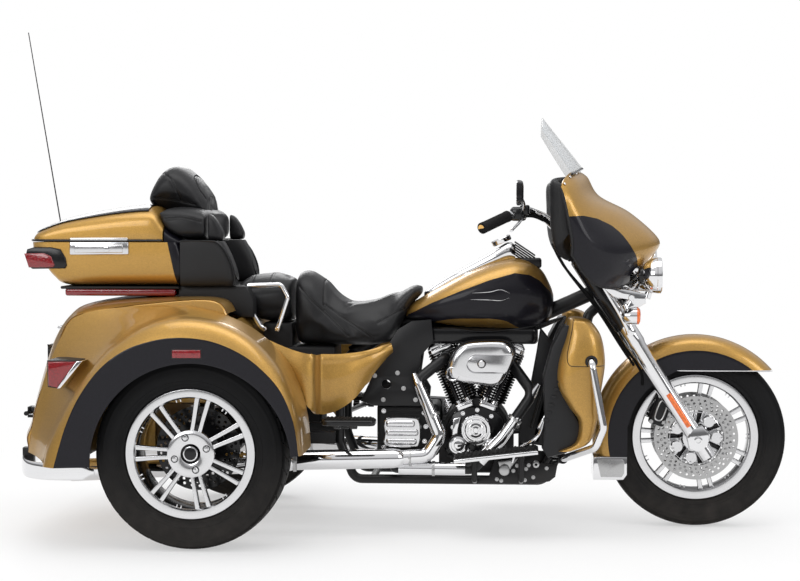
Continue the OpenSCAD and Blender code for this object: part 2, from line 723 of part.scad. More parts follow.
module top_box_lid() {
    color([0.69, 0.52, 0.26]) {
        difference() {
            intersection() {
                lid_form(0);
                slab(-700, box_cut_x - door_gap, box_joint_z + 2, 1200);
            }
            intersection() {
                lid_form(box_wall);
                slab(-592, box_cut_x - door_gap - box_wall, 900, 1200);
            }
        }
        for (x = lid_hinge_xs) {
            translate([x - 38, lid_hinge[0], lid_hinge[1]]) rotate([0, 90, 0])
                cylinder(h = 76, r = 4);
            translate([x - 20, box_half_w - 7, lid_hinge[1]]) cube([40, 20, 4]);
        }
    }
}

module box_lights() {
    color([0.6, 0.05, 0.05]) {
        difference() {
            both_sides() side_plate(box_half_w - 90, box_half_w + 4)
                polygon([[-640, 976], [-540, 980], [-512, 925], [-518, 905], [-600, 905]]);
            loft([for (r = box_form(base_rows, 2, 0)) r + [-touch, touch, -touch, touch, 0]]);
        }
        translate([-512, -250, 812]) difference() {
            cube([396, 500, box_floor_z - 812 - 2 * touch]);
            translate([60, 120, -1]) cube([300, 260, 60]);
        }
    }
}

module rear_lights() {
    tail_lights();
    box_lights();
}

module backrest() {
    rows = [[-238, 132, 1118, 1160, 2.4], [-222, 160, 1112, 1200, 2.6], [-196, 172, 1110, 1250, 2.8],
        [-160, 176, 1104, 1276, 2.8], [-120, 172, 1098, 1268, 2.8], [-80, 164, 1090, 1228, 2.8],
        [-46, 156, 1090, 1168, 2.6], [-26, 140, 1092, 1120, 2.4]];
    color([0.13, 0.13, 0.13]) difference() {
        union() {
            loft(rows);
            loft([[-178, 250, 1060, 1106, 3], [-140, 268, 1030, 1108, 3.4], [-60, 272, 1016, 1104, 3.4],
                [-14, 268, 1016, 1096, 3.2]]);
        }
        loft([for (r = box_form(lid_rows, 0, 0))
            r + [0, r[0] > -170 ? 14 : 3, -3,
                touch + (r[0] > -200 ? 3 : 0) + (r[0] > -170 ? 6 : 0), 0]]);
    }
}

pod_top = 1001;
pod_back = -96 + touch;
module armrests() {
    color([0.13, 0.13, 0.13]) both_sides() difference() {
        translate([0, 226, 0]) loft([[-8, 34, 980, 1096, 3], [12, 36, 976, 1088, 3],
            [32, 34, 982, 1064, 2.8], [50, 24, 998, 1034, 2.4]]);
        slab(-100, 200, 900, pod_top + touch);
    }
}

module speaker_pods() {
    color([0.12, 0.12, 0.12]) both_sides() intersection() {
        translate([0, 232, 0]) loft([[pod_back, 52, 846, 1030, 5], [-40, 54, 846, 1030, 5],
            [30, 52, 846, 1020, 4], [70, 50, 846, 960, 3.6], [90, 44, 850, 900, 3]]);
        slab(-100, 200, 800, pod_top);
    }
}

module antenna() {
    color([0.1, 0.1, 0.1]) {
        bar(antenna_foot, antenna_tip, 2.4);
        bar(antenna_foot - [0, 0, 12], antenna_foot + (antenna_tip - antenna_foot) * 0.08, 7);
        difference() {
            translate(antenna_foot - [12, 44, 14]) cube([112, 54, 12]);
            loft([for (r = box_form(base_rows, 2, 0)) r + [-touch, touch, -touch, touch, 0]]);
        }
    }
}

// ---------- guards and footboards ----------

guard_path = [[1276 + nose, 30, 628], [1296 + nose, 200, 640], [1303 + nose, 392, 604],
    [1343 + nose, 402, 385], [1318 + nose, 384, 318], [1216 + nose, 250, 262],
    [1186 + nose, 60, 240]];
module engine_guard() {
    color("silver") both_sides() difference() {
        tube(guard_path, guard_r, 34);
        tube(down_tube, rail_r + touch, 40);
        translate([1000, -50, 100]) cube([500, 50 + 3, 700]);
    }
}

module lower_fairings() {
    rows = [[300, 1196, 1240, 300, 366], [330, 1252, 1300, 288, 372], [400, 1262, 1326, 262, 380],
        [450, 1228, 1330, 244, 384], [520, 1190, 1342, 226, 386], [600, 1190, 1352, 206, 384],
        [680, 1212, 1340, 196, 376], [728, 1222, 1310, 204, 360], [746, 1230, 1276, 220, 340]];
    color([0.69, 0.52, 0.26]) both_sides() difference() {
        skin([for (r = smooth(rows, 2)) [for (i = [0 : 15]) let (a = 22.5 * i + 11.25)
            [(r[1] + r[2]) / 2 + nose + (r[2] - r[1]) / 2 * signed_pow(cos(a), 0.62),
                (r[3] + r[4]) / 2 + (r[4] - r[3]) / 2 * signed_pow(sin(a), 0.62), r[0]]]]);
        tube(guard_path, guard_r + touch, 34);
    }
}

module rider_boards() {
    color([0.12, 0.12, 0.12]) both_sides() {
        hull() for (p = [[862, 258, 262], [862, 352, 262], [1112, 258, 292], [1112, 352, 292]])
            translate(p) cylinder(h = 14, r = 18, $fn = 20);
        for (x = [900, 1060]) translate([x, rail_y + rail_r + touch, rail_z - 8])
            cube([24, 80, 16]);
        for (x = [900, 1060]) translate([x, 229, rail_z - 8])
            cube([24, 24, 108 + (x - 900) * 0.12]);
    }
}

board_pin_y = 352;
board_pin_z = 378;
module passenger_board() {
    color([0.12, 0.12, 0.12]) {
        for (x = [441, 497]) difference() {
            translate([x, -board_pin_y, board_pin_z]) rotate([0, 90, 0]) cylinder(h = 22, r = 9);
            translate([x - 1, -board_pin_y, board_pin_z]) rotate([0, 90, 0])
                cylinder(h = 24, r = 5 + running_play);
        }
        hull() for (x = [420, 574]) for (y = [-board_pin_y - 28, -board_pin_y - 96])
            translate([x, y, board_pin_z + 12]) cylinder(h = 26, r = 14, $fn = 24);
        for (x = [441, 497]) translate([x, -board_pin_y - 32, board_pin_z - 3]) cube([22, 25, 20]);
    }
}

// ---------- steered parts ----------

clamp_low_z = 745;
clamp_high_z = 925;
module clamp(z) {
    translate([steer_x(z), 0, z]) rotate([0, -rake, 0]) translate([0, 0, -15]) hull() {
        cylinder(h = 30, r = 40);
        for (s = [-1, 1]) translate([fork_x(z) - steer_x(z), s * fork_spread / 2, 0])
            cylinder(h = 30, r = 38);
    }
}
module fork() {
    leg_y = fork_spread / 2;
    top_z = 940;
    color("silver") {
        both_sides() {
            bar([fork_x(262), leg_y, 262], [fork_x(640), leg_y, 640], slider_d / 2);
            bar([fork_x(630), leg_y, 630], [fork_x(top_z), leg_y, top_z], slider_d / 2 + 4);
            translate([fork_x(front_axle_z), leg_y - slider_d / 2, front_axle_z]) rotate([-90, 0, 0])
                cylinder(h = slider_d + 8, r = 26);
            translate([fork_x(440) - 92, disc_y + disc_t + 5, 372]) rotate([0, 20, 0])
                cube([62, 30, 110]);
        }
        side_plate(-leg_y - slider_d / 2 - 9, leg_y + slider_d / 2 + 9)
            translate([wheelbase, front_axle_z]) circle(axle_r * 0.7);
        clamp(clamp_low_z);
        clamp(clamp_high_z);
        bar([steer_x(clamp_low_z), 0, clamp_low_z], [steer_x(clamp_high_z), 0, clamp_high_z], stem_r);
    }
}

bar_path = [[1298 + nose, 0, 975], [1262 + nose, 70, 972], [1150 + nose, 130, 1086],
    [1096 + nose, 230, 1106], [1032 + nose, 330, 1091], [938 + nose, 447, 1046]];
module handlebar() {
    color("silver") both_sides() {
        difference() {
            tube(bar_path, bar_r, 36);
            translate([1000 + nose, -100, 900]) cube([400, 100, 300]);
        }
        bar(bar_path[4] + [-8, 10, -4], bar_path[5], 19);
        translate(bar_path[4] + [4, -64, -22]) rotate([0, 0, 10]) cube([56, 62, 52]);
        translate([steer_x(clamp_high_z), 0, clamp_high_z]) rotate([0, -rake, 0])
            translate([-48, 30, 15 + touch]) cube([40, 30, 48]);
        bar(bar_path[4] + [40, -20, -10], bar_path[5] + [92, -10, -12], 6);
    }
    mirrors();
}

module mirrors() {
    color([0.1, 0.1, 0.1]) both_sides() {
        bar([1070 + nose, 318, 1100], [1066 + nose, 372, 1150], 7);
        hull() for (p = [[358, 1140], [358, 1192], [440, 1146], [440, 1188]])
            translate([1054 + nose, p[0], p[1]]) rotate([0, 90, 0]) cylinder(h = 22, r = 14, $fn = 24);
    }
}

// Half of the front fairing's outer surface: rows run outwards from the middle and each row's
// points run from the windshield's seat down over the nose to the lower edge.
fairing_half = [
    [[1262, 0, 1248], [1300, 0, 1226], [1342, 0, 1160], [1452, 0, 1100], [1552, 0, 1008],
        [1536, 0, 962], [1500, 0, 940]],
    [[1258, 110, 1246], [1296, 110, 1222], [1336, 110, 1158], [1436, 110, 1096], [1532, 112, 1004],
        [1516, 112, 940], [1476, 112, 888]],
    [[1246, 210, 1240], [1280, 212, 1212], [1316, 214, 1154], [1396, 216, 1086], [1466, 220, 992],
        [1452, 220, 906], [1408, 216, 846]],
    [[1228, 300, 1230], [1256, 306, 1200], [1284, 312, 1146], [1338, 318, 1066], [1380, 322, 980],
        [1374, 316, 900], [1338, 306, 850]],
    [[1210, 360, 1208], [1228, 370, 1180], [1246, 378, 1136], [1276, 382, 1060], [1298, 378, 988],
        [1298, 366, 930], [1286, 354, 888]],
    [[1200, 388, 1180], [1208, 393, 1160], [1216, 395, 1130], [1226, 395, 1082], [1236, 390, 1030],
        [1242, 380, 990], [1240, 370, 956]]];
function fairing_point(p) = [p[0] + nose, p[1] * fairing_half_w / 395, p[2]];
fairing_rows = [for (i = [5 : -1 : 1]) [for (p = fairing_half[i]) fairing_point([p[0], -p[1], p[2]])],
    for (i = [0 : 5]) [for (p = fairing_half[i]) fairing_point(p)]];
module fairing_shell() {
    lamp_z = 905;
    color([0.69, 0.52, 0.26]) difference() {
        shell([for (row = smooth(fairing_rows, 2)) smooth(row, 2)], 6);
        translate([1380 + nose, 0, lamp_z]) rotate([0, 90, 0]) cylinder(h = 300, r = head_r + 4);
        both_sides() translate([1380 + nose, lamp_y, 884]) rotate([0, 90, 0])
            cylinder(h = 300, r = 66);
    }
}

module fairing_dash() {
    s = fairing_half_w / 395;
    rows = [[-1, 40, 1196, 1030, 1190], [-0.93, 44, 1166, 990, 1206], [-0.75, 44, 1176, 950, 1216],
        [-0.45, 30, 1214, 930, 1222], [0, 24, 1226, 925, 1226], [0.45, 30, 1214, 930, 1222],
        [0.75, 44, 1176, 950, 1216], [0.93, 44, 1166, 990, 1206], [1, 40, 1196, 1030, 1190]];
    color([0.12, 0.12, 0.12]) difference() {
        skin([for (r = smooth(rows, 2)) [for (i = [0 : 15]) let (a = 22.5 * i + 11.25)
            [r[2] + nose + r[1] / 2 + (r[1] / 2) * signed_pow(cos(a), 0.7)
                - (r[4] - r[3]) * 0.04 * sin(a), r[0] * 371 * s,
                (r[3] + r[4]) / 2 + (r[4] - r[3]) / 2 * signed_pow(sin(a), 0.5)]]]);
        clear_bar();
    }
    color([0.12, 0.12, 0.12]) translate([1242 + nose, -3, 966]) cube([39, 6, 18]);
}
module clear_bar() {
    both_sides() translate([1000 + nose, 20, 900]) cube([420, 200, 130]);
}

module windshield() {
    foot_z = 1256;
    rows = [for (u = [-1 : 0.25 : 1]) [for (t = [0 : 0.25 : 1])
        let (half = 316 - 104 * t * t, top = windshield_top - 52 * pow(abs(u), 3),
            back = 44 * u * u)
        [1281 + nose - back - (140 - back) * t, u * half,
            (foot_z - 26 * u * u) * (1 - t) + top * t]]];
    color([0.8, 0.85, 0.88, 0.4]) shell(rows, 3);
}

head_r = 92;
module headlamp() {
    color("silver") {
        translate([1426 + nose, 0, 905]) rotate([0, 90, 0]) {
            cylinder(h = 104, r = head_r - 2);
            translate([0, 0, 104]) cylinder(h = 14, r1 = head_r - 2, r2 = head_r - 16);
        }
        both_sides() translate([fork_x(860) - 6, 60, 845])
            cube([116, fork_spread / 2 - slider_d / 2 - 4 - touch - 60, 26]);
    }
}

lamp_y = 186;
lamp_bar_x = steer_x(808) + 60;
module auxiliary_lamps() {
    color("silver") {
        both_sides() {
            translate([1486 + nose, lamp_y, 884]) rotate([0, 90, 0]) cylinder(h = 64, r = 62);
            translate([1480 + nose, lamp_y - 12, 800]) cube([30, 24, 40]);
            translate([1420 + nose, lamp_y + 10, 746]) rotate([0, 90, 0]) cylinder(h = 56, r = 30);
            bar([1440 + nose, lamp_y + 10, 746], [lamp_bar_x, lamp_y + 8, 808], 9);
            bar([lamp_bar_x, lamp_y, 808], [1492 + nose, lamp_y, 808], 12);
            bar([fork_x(808) + 48, fork_spread / 2, 808], [lamp_bar_x, fork_spread / 2, 808], 10);
        }
        bar([lamp_bar_x, -lamp_y - 16, 808], [lamp_bar_x, lamp_y + 16, 808], 11);
    }
}

module front_lamps() {
    headlamp();
    auxiliary_lamps();
}

fender_half_w = 90;
fender_r = 357;
module front_fender() {
    inner = fender_half_w - 4;
    color([0.69, 0.52, 0.26]) translate([wheelbase, 0, front_axle_z]) difference() {
        intersection() {
            wheel_turn() polygon([[238, -fender_half_w], [310, -fender_half_w], [336, -fender_half_w + 10],
                [350, -fender_half_w + 34], [fender_r, -24], [fender_r, 24], [350, fender_half_w - 34],
                [336, fender_half_w - 10], [310, fender_half_w], [238, fender_half_w], [238, inner],
                [310, inner], [332, inner - 10], [346, inner - 34], [fender_r - 4, 24],
                [fender_r - 4, -24], [346, -inner + 34], [332, -inner + 10], [310, -inner], [238, -inner]]);
            side_plate(-200, 200) polygon([[300, 236], [-66, 236], [-150, 190], [-238, 40], [-236, -66],
                [-400, -66], [-400, 400], [300, 400]]);
        }
        translate([262, -100, 200]) cube([100, 200, 36]);
    }
    color("silver") both_sides() translate([fork_x(560), inner, 560]) rotate([-90, 0, 0])
        cylinder(h = fork_spread / 2 - slider_d / 2 - touch - inner, r = 14);
    color("silver") translate([wheelbase, 0, front_axle_z]) difference() {
        side_plate(-fender_half_w - 4, fender_half_w + 4) polygon([[-356, -66 - touch], [-238, -66 - touch],
            [-238, -130], [-252, -148], [-356, -148]]);
        side_plate(-fender_half_w + 4, fender_half_w - 4) circle(338);
    }
}

at_rest() frame();
at_rest() engine_case();
at_rest() cylinders();
at_rest() engine_covers();
at_rest() gearbox();
at_rest() air_cleaner();
at_rest() exhausts();
at_rest() fuel_tank();
at_rest() tank_console();
at_rest() battery_case();
at_rest() rider_seat();
at_rest() pillion_seat();
at_rest() grab_rails();
at_rest() trunk_body();
at_rest() trunk_door();
at_rest() rear_fenders();
at_rest() side_panels();
at_rest() rear_axle();
at_rest() rear_bumper();
at_rest() rear_lights();
at_rest() plate_bracket();
at_rest() top_box();
at_rest() top_box_lid();
at_rest() backrest();
at_rest() armrests();
at_rest() speaker_pods();
at_rest() antenna();
at_rest() lower_fairings();
at_rest() engine_guard();
at_rest() rider_boards();
at_rest() passenger_board();  // passenger_board_right
at_rest() mirror([0, 1, 0]) passenger_board();  // passenger_board_left
at_rest() fork();
at_rest() handlebar();
at_rest() fairing_shell();
at_rest() fairing_dash();
at_rest() windshield();
at_rest() front_lamps();
at_rest() front_fender();
at_rest() front_wheel();
at_rest() front_tyre();
at_rest() rear_wheel();  // rear_wheel_right
at_rest() rear_tyre();  // rear_tyre_right
at_rest() mirror([0, 1, 0]) rear_wheel();  // rear_wheel_left
at_rest() mirror([0, 1, 0]) rear_tyre();  // rear_tyre_left
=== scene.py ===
"""Touring trike: finishes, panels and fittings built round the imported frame."""
import math

import bmesh
import bpy
import numpy as np
from bpy.props import FloatProperty, FloatVectorProperty, IntProperty, PointerProperty
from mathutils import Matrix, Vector
from mathutils.bvhtree import BVHTree


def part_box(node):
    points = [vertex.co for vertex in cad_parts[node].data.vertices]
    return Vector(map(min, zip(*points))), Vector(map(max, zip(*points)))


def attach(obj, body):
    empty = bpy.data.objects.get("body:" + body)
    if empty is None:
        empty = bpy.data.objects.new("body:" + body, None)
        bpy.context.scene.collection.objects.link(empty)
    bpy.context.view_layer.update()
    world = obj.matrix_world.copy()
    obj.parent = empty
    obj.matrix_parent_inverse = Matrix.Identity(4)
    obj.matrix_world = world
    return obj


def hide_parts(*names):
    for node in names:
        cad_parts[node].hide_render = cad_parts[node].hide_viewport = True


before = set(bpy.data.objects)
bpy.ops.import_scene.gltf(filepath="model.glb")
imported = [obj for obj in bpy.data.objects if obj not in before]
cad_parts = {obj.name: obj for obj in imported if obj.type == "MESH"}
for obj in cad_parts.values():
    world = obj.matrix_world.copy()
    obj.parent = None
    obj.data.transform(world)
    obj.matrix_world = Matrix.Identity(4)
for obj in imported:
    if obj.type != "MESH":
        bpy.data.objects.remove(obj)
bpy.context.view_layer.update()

bl_info = {
    "name": "Touring Trike",
    "version": (1, 0, 0),
    "blender": (4, 5, 0),
    "location": "View3D > Sidebar > Trike",
    "description": "Builds the finished surfaces of a touring trike round its packed frame",
    "category": "Object",
}

MM = 0.001


def middle(node):
    """Middle of a node's box in the shared frame, in metres."""
    low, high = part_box(node)
    return np.array((low + high) / 2)


AXLE_X = middle("rear_tyre_right")[0]           # the rear axle's x in the shared frame
REAR_HUB = (0.0, middle("rear_tyre_right")[2] / MM)
FRONT_HUB = ((middle("front_tyre")[0] - AXLE_X) / MM, middle("front_tyre")[2] / MM)
REAR_TRACK = (middle("rear_tyre_left")[1] - middle("rear_tyre_right")[1]) / MM
TUB_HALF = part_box("trunk_body")[1][1] / MM
BOX_HALF = 292.0
RAKE = math.radians(26)
FORK_LEAN = math.radians(32.8)
FORK_HALF = 125.0
LEFT, RIGHT = 1, -1


# ---------- sizes and colours that a user may change ----------


def colour(label, value, note):
    return FloatVectorProperty(name=label, description=note, subtype="COLOR", size=3, min=0.0,
                               max=1.0, default=value)


def length(label, value, note, low, high):
    return FloatProperty(name=label, description=note + ", in millimetres", default=value,
                         min=low, max=high)


class TrikeColours(bpy.types.PropertyGroup):
    """Colours of the finishes"""

    gold: colour("Main paint", (0.47, 0.272, 0.068), "Metallic paint of the body panels")
    dark: colour("Second paint", (0.006, 0.0055, 0.009), "Deep paint of the bands and the tank")
    leather: colour("Leather", (0.010, 0.010, 0.011), "Seats, backrest and armrests")
    plastic: colour("Moulded plastic", (0.013, 0.013, 0.014), "Dash, speaker pods and boards")
    rubber: colour("Rubber", (0.007, 0.007, 0.0075), "Tyres, grips and pads")
    red: colour("Red lens", (0.23, 0.004, 0.008), "Tail lamps and rear reflectors")
    amber: colour("Amber lens", (0.85, 0.16, 0.01), "Turn signals and front reflectors")


class TrikeSizes(bpy.types.PropertyGroup):
    """Sizes of the small details"""

    fin_count: IntProperty(name="Cooling fins", description="Fins on each cylinder", default=14,
                           min=4, max=20)
    spoke_pairs: IntProperty(name="Spoke pairs", description="Pairs of spokes in each wheel",
                             default=7, min=5, max=9)
    tread_blocks: IntProperty(name="Tread blocks", description="Blocks round a tyre's tread",
                              default=44, min=20, max=80)
    tread_depth: length("Tread depth", 5.0, "Depth of the tread's grooves", 1.0, 9.0)
    seam_pitch: length("Stitch pitch", 5.0, "Distance between stitches", 2.0, 12.0)
    flake: length("Paint flake", 1.4, "Size of the flakes in the metallic paint", 0.3, 6.0)


# ---------- shapes: (points in millimetres from the rear axle, faces, zone) ----------


def shape(points, faces, zone=None):
    """Points as rows of x, y, z, faces as lists of point numbers, and one zone number a point."""
    points = np.asarray(points, float).reshape(-1, 3)
    zone = np.ones(len(points)) if zone is None else np.asarray(zone, float).ravel()
    return points, faces, zone


def join(*shapes):
    """One shape that holds all the given ones."""
    starts = np.cumsum([0] + [len(s[0]) for s in shapes])
    faces = [[i + start for i in face] for s, start in zip(shapes, starts) for face in s[1]]
    return np.vstack([s[0] for s in shapes]), faces, np.concatenate([s[2] for s in shapes])


def mirrored(form):
    """The shape on the other side, with its faces still pointing outwards."""
    return form[0] * (1, -1, 1), [face[::-1] for face in form[1]], form[2]


def both(form):
    return join(form, mirrored(form))


def moved(form, by=(0, 0, 0), turn=None):
    """The shape turned by a 3 x 3 matrix about the origin and then shifted."""
    points = form[0] if turn is None else form[0] @ np.asarray(turn).T
    return points + np.asarray(by, float), form[1], form[2]


def about(axis, degrees):
    """Turn about a row axis as a 3 x 3 matrix."""
    c, s = math.cos(math.radians(degrees)), math.sin(math.radians(degrees))
    return {"x": np.array([[1, 0, 0], [0, c, -s], [0, s, c]]),
            "y": np.array([[c, 0, s], [0, 1, 0], [-s, 0, c]]),
            "z": np.array([[c, -s, 0], [s, c, 0], [0, 0, 1]])}[axis]


def towards(direction):
    """Turn that carries +Z on to a direction."""
    z = unit(np.asarray(direction, float))
    x = unit(np.cross([0, 1, 0] if abs(z[1]) < 0.9 else [1, 0, 0], z))
    return np.stack([x, np.cross(z, x), z], 1)


def copies(form, places, turns=None):
    """The shape repeated at each place, each copy with its own turn where turns are given."""
    turns = [None] * len(places) if turns is None else turns
    return join(*[moved(form, place, turn) for place, turn in zip(places, turns)])


def unit(v):
    return v / np.maximum(np.linalg.norm(v, axis=-1, keepdims=True), 1e-9)


def curve(rows, steps=8):
    """Catmull-Rom curve through the rows: each stretch is a cubic with its neighbours' slopes."""
    r = np.asarray(rows, float)
    p = np.vstack([r[:1], r, r[-1:]])
    t = np.linspace(0, 1, steps, endpoint=False)[None, :, None]
    a, b, c, d = (p[i:len(p) - 3 + i, None] for i in range(4))
    line = 0.5 * (2 * b + (c - a) * t + (2 * a - 5 * b + 4 * c - d) * t**2
                  + (3 * b - a - 3 * c + d) * t**3)
    return np.vstack([line.reshape(-1, r.shape[1]), r[-1:]])


def ring_curve(rows, steps=8):
    """Closed smooth curve through the rows."""
    r = np.asarray(rows, float)
    n = len(r)
    return curve(np.vstack([r[-2:], r, r[:3]]), steps)[2 * steps:(n + 2) * steps]


def power(v, p):
    return np.sign(v) * np.abs(v)**p


def evenly(path, count):
    """Points at even distances along a path."""
    path = np.asarray(path, float)
    run = np.concatenate([[0], np.cumsum(np.linalg.norm(np.diff(path, axis=0), axis=1))])
    at = np.linspace(0, run[-1], count)
    return np.stack([np.interp(at, run, column) for column in path.T], 1)


def quads(rows, columns, wrap=True, closed=False):
    """Faces of a grid of points: each point with its neighbours in the next row and column."""
    r = np.arange(rows if closed else rows - 1)[:, None]
    c = np.arange(columns if wrap else columns - 1)[None, :]
    r2, c2 = (r + 1) % rows, (c + 1) % columns
    cells = np.stack([r * columns + c, r * columns + c2, r2 * columns + c2, r2 * columns + c], -1)
    return cells.reshape(-1, 4).tolist()


def skin(rings, zone=None):
    """Closed solid through equal rings of points, with a flat face at each end."""
    rings = np.asarray(rings, float)
    rows, columns = rings.shape[:2]
    faces = quads(rows, columns)
    faces.append(list(range(columns))[::-1])
    faces.append(list(range((rows - 1) * columns, rows * columns)))
    return shape(rings, faces, zone)


def sheet(grid, wall):
    """Closed wall of even thickness behind a grid: each point is carried back along the normal."""
    grid = np.asarray(grid, float)
    normal = unit(np.cross(np.gradient(grid, axis=0), np.gradient(grid, axis=1)))
    back = (grid - normal * wall)[:, ::-1]
    return skin(np.concatenate([grid, back], 1))


def form_rings(rows, steps, count):
    """Superellipse rings across X from rows of x, half width, low z, high z and squareness."""
    r = curve(rows, steps)[:, :, None]
    a = 2 * np.pi * (np.arange(count) + 0.5) / count
    y = r[:, 1] * power(np.cos(a), 2 / r[:, 4])
    z = (r[:, 2] + r[:, 3]) / 2 + (r[:, 3] - r[:, 2]) / 2 * power(np.sin(a), 2 / r[:, 4])
    return np.stack([np.broadcast_to(r[:, 0], y.shape), y, z], -1)


def bend(path, radius, steps=6):
    """Path whose corners are arcs of the given radius, each tangent to both of its sides."""
    path = np.asarray(path, float)
    points = [path[0]]
    for before, corner, after in zip(path, path[1:], path[2:]):
        u, v = unit(corner - before), unit(after - corner)
        turn = math.acos(max(-1.0, min(1.0, float(u @ v))))
        if turn < 0.02:
            points.append(corner)
            continue
        inward = unit(v - (u @ v) * u)
        centre = corner - u * radius * math.tan(turn / 2) + inward * radius
        a = np.linspace(0, turn, steps)[:, None]
        points.extend(centre + radius * (u * np.sin(a) - inward * np.cos(a)))
    points.append(path[-1])
    return np.array(points)


def tube(path, radius, sides, flat=1.0, up=None):
    """Round bar carried along a path: circles square to the path, with no twist between them."""
    path = np.asarray(path, float)
    heading = unit(np.gradient(path, axis=0))
    side = unit(np.cross(heading[0], up if up is not None else
                         ([0, 0, 1] if abs(heading[0][2]) < 0.8 else [1, 0, 0])))
    sideways = []
    for step in heading:
        side = unit(side - (side @ step) * step)
        sideways.append(side)
    n = np.array(sideways)
    b = np.cross(heading, n)
    a = 2 * np.pi * np.arange(sides) / sides
    r = np.broadcast_to(np.asarray(radius, float), len(path))[:, None, None]
    rings = path[:, None] + r * (n[:, None] * np.cos(a)[:, None]
                                 + flat * b[:, None] * np.sin(a)[:, None])
    return skin(rings)


def rod(a, b, radius, sides=16):
    """Straight round bar between two points, with a small chamfer at each end."""
    a, b = np.asarray(a, float), np.asarray(b, float)
    edge = min(0.2 * radius, 1.5)
    d = unit(b - a) * edge
    return tube([a, a + d, b - d, b], [radius - edge, radius, radius, radius - edge], sides)


def turned(profile, centre=(0, 0, 0), axis="y", count=72, closed=True):
    """Profile of radius and place along the axis, carried round the axis."""
    profile = np.asarray(profile, float)
    a = 2 * np.pi * np.arange(count)[:, None] / count
    r, along = profile[:, 0], np.broadcast_to(profile[:, 1], (count, len(profile)))
    u, v = r * np.cos(a), r * np.sin(a)
    order = {"x": (along, u, v), "y": (u, along, v), "z": (u, v, along)}[axis]
    rings = np.stack(order, -1) + np.asarray(centre, float)
    if closed:
        return shape(rings, quads(count, len(profile), closed=True))
    faces = quads(count, len(profile), False, True)
    for end in (0, len(profile) - 1):
        faces.append([i * len(profile) + end for i in range(count)][::1 if end else -1])
    return shape(rings, faces)


def disc(radius, low, high, centre, axis="y", edge=2.0, count=64, hole=0.0):
    """Flat round plate with rounded rims, or a washer where hole is given."""
    e = min(edge, (high - low) / 2.1, radius / 3)
    rim = [(radius - e, low), (radius - e * 0.3, low + e * 0.3), (radius, low + e),
           (radius, high - e), (radius - e * 0.3, high - e * 0.3), (radius - e, high)]
    if hole:
        return turned([(hole, low), *rim, (hole, high)], centre, axis, count)
    return turned(rim, centre, axis, count, closed=False)


def round_box(low, high, edge, steps=3, corner=0.0):
    """Box with rounded rims, whose upright corners may have a larger radius of their own."""
    low, high = np.asarray(low, float), np.asarray(high, float)
    middle_, half = (low + high) / 2, (high - low) / 2
    edge = min(edge, half.min() * 0.9)
    corner = max(edge, min(corner, half[:2].min() * 0.98))
    rim = np.linspace(0, np.pi / 2, steps + 1)
    a = (rim + np.arange(4)[:, None] * np.pi / 2).ravel()
    away = np.stack([np.cos(a), np.sin(a)], 1)
    sign = np.repeat([[1, 1], [-1, 1], [-1, -1], [1, -1]], steps + 1, 0)
    core = sign * (half[:2] - corner)
    layers = []
    for side in (-1, 1):
        for t in rim[::-1] if side < 0 else rim:
            xy = core + away * (corner - edge + edge * math.cos(t))
            z = np.full((len(a), 1), side * (half[2] - edge + edge * math.sin(t)))
            layers.append(np.hstack([xy, z]))
    return skin(np.array(layers) + middle_)


def plate(outline, y_low, y_high, edge=2.0, holes=(), steps=2):
    """Flat plate in X and Z, with holes and rounded rims, made from a filled flat curve."""
    depth = y_high - y_low
    edge = min(edge, depth / 2.2)
    line = bpy.data.curves.new("outline", "CURVE")
    line.dimensions, line.fill_mode = "2D", "BOTH"
    line.extrude, line.bevel_depth = depth / 2 - edge, edge
    line.bevel_resolution, line.offset = steps - 1, -edge
    for points in (outline, *holes):
        points = np.asarray(points, float)
        spline = line.splines.new("POLY")
        spline.points.add(len(points) - 1)
        spline.points.foreach_set("co", np.hstack([points, np.zeros((len(points), 1)),
                                                   np.ones((len(points), 1))]).ravel())
        spline.use_cyclic_u = True
    holder = bpy.data.objects.new("outline", line)
    mesh = bpy.data.meshes.new_from_object(holder)
    co = np.zeros(len(mesh.vertices) * 3)
    mesh.vertices.foreach_get("co", co)
    co = co.reshape(-1, 3)
    faces = [list(p.vertices) for p in mesh.polygons]
    bpy.data.objects.remove(holder)
    bpy.data.curves.remove(line)
    bpy.data.meshes.remove(mesh)
    return shape(np.stack([co[:, 0], (y_low + y_high) / 2 - co[:, 2], co[:, 1]], 1), faces)


def circle(centre, radius, count=24):
    """Points of a circle in X and Z."""
    a = 2 * np.pi * np.arange(count) / count
    return np.stack([centre[0] + radius * np.cos(a), centre[1] + radius * np.sin(a)], 1)


def bolt(head, tall):
    """Hexagon bolt head on a washer, standing along +Z."""
    top = [(head * 1.35, 0), (head * 1.35, 1.2), (head, 1.2), (head, tall - 1), (head * 0.8, tall)]
    washer, hexagon = top[:3], top[2:]
    return join(turned([(0.5, 0), *washer, (0.5, 1.2)], axis="z", count=16),
                turned([(0.5, 1), *hexagon, (0.5, tall)], axis="z", count=6))


def steer_x(z):
    """X of the steering axis at a height."""
    return FRONT_HUB[0] + 100 - z * math.tan(RAKE)


def fork_x(z):
    """X of the fork legs' middle line at a height."""
    return FRONT_HUB[0] - (z - FRONT_HUB[1]) * math.tan(FORK_LEAN)


# ---------- putting shapes into the scene ----------


FINISH = {}                                     # materials by name, filled by the finishes step


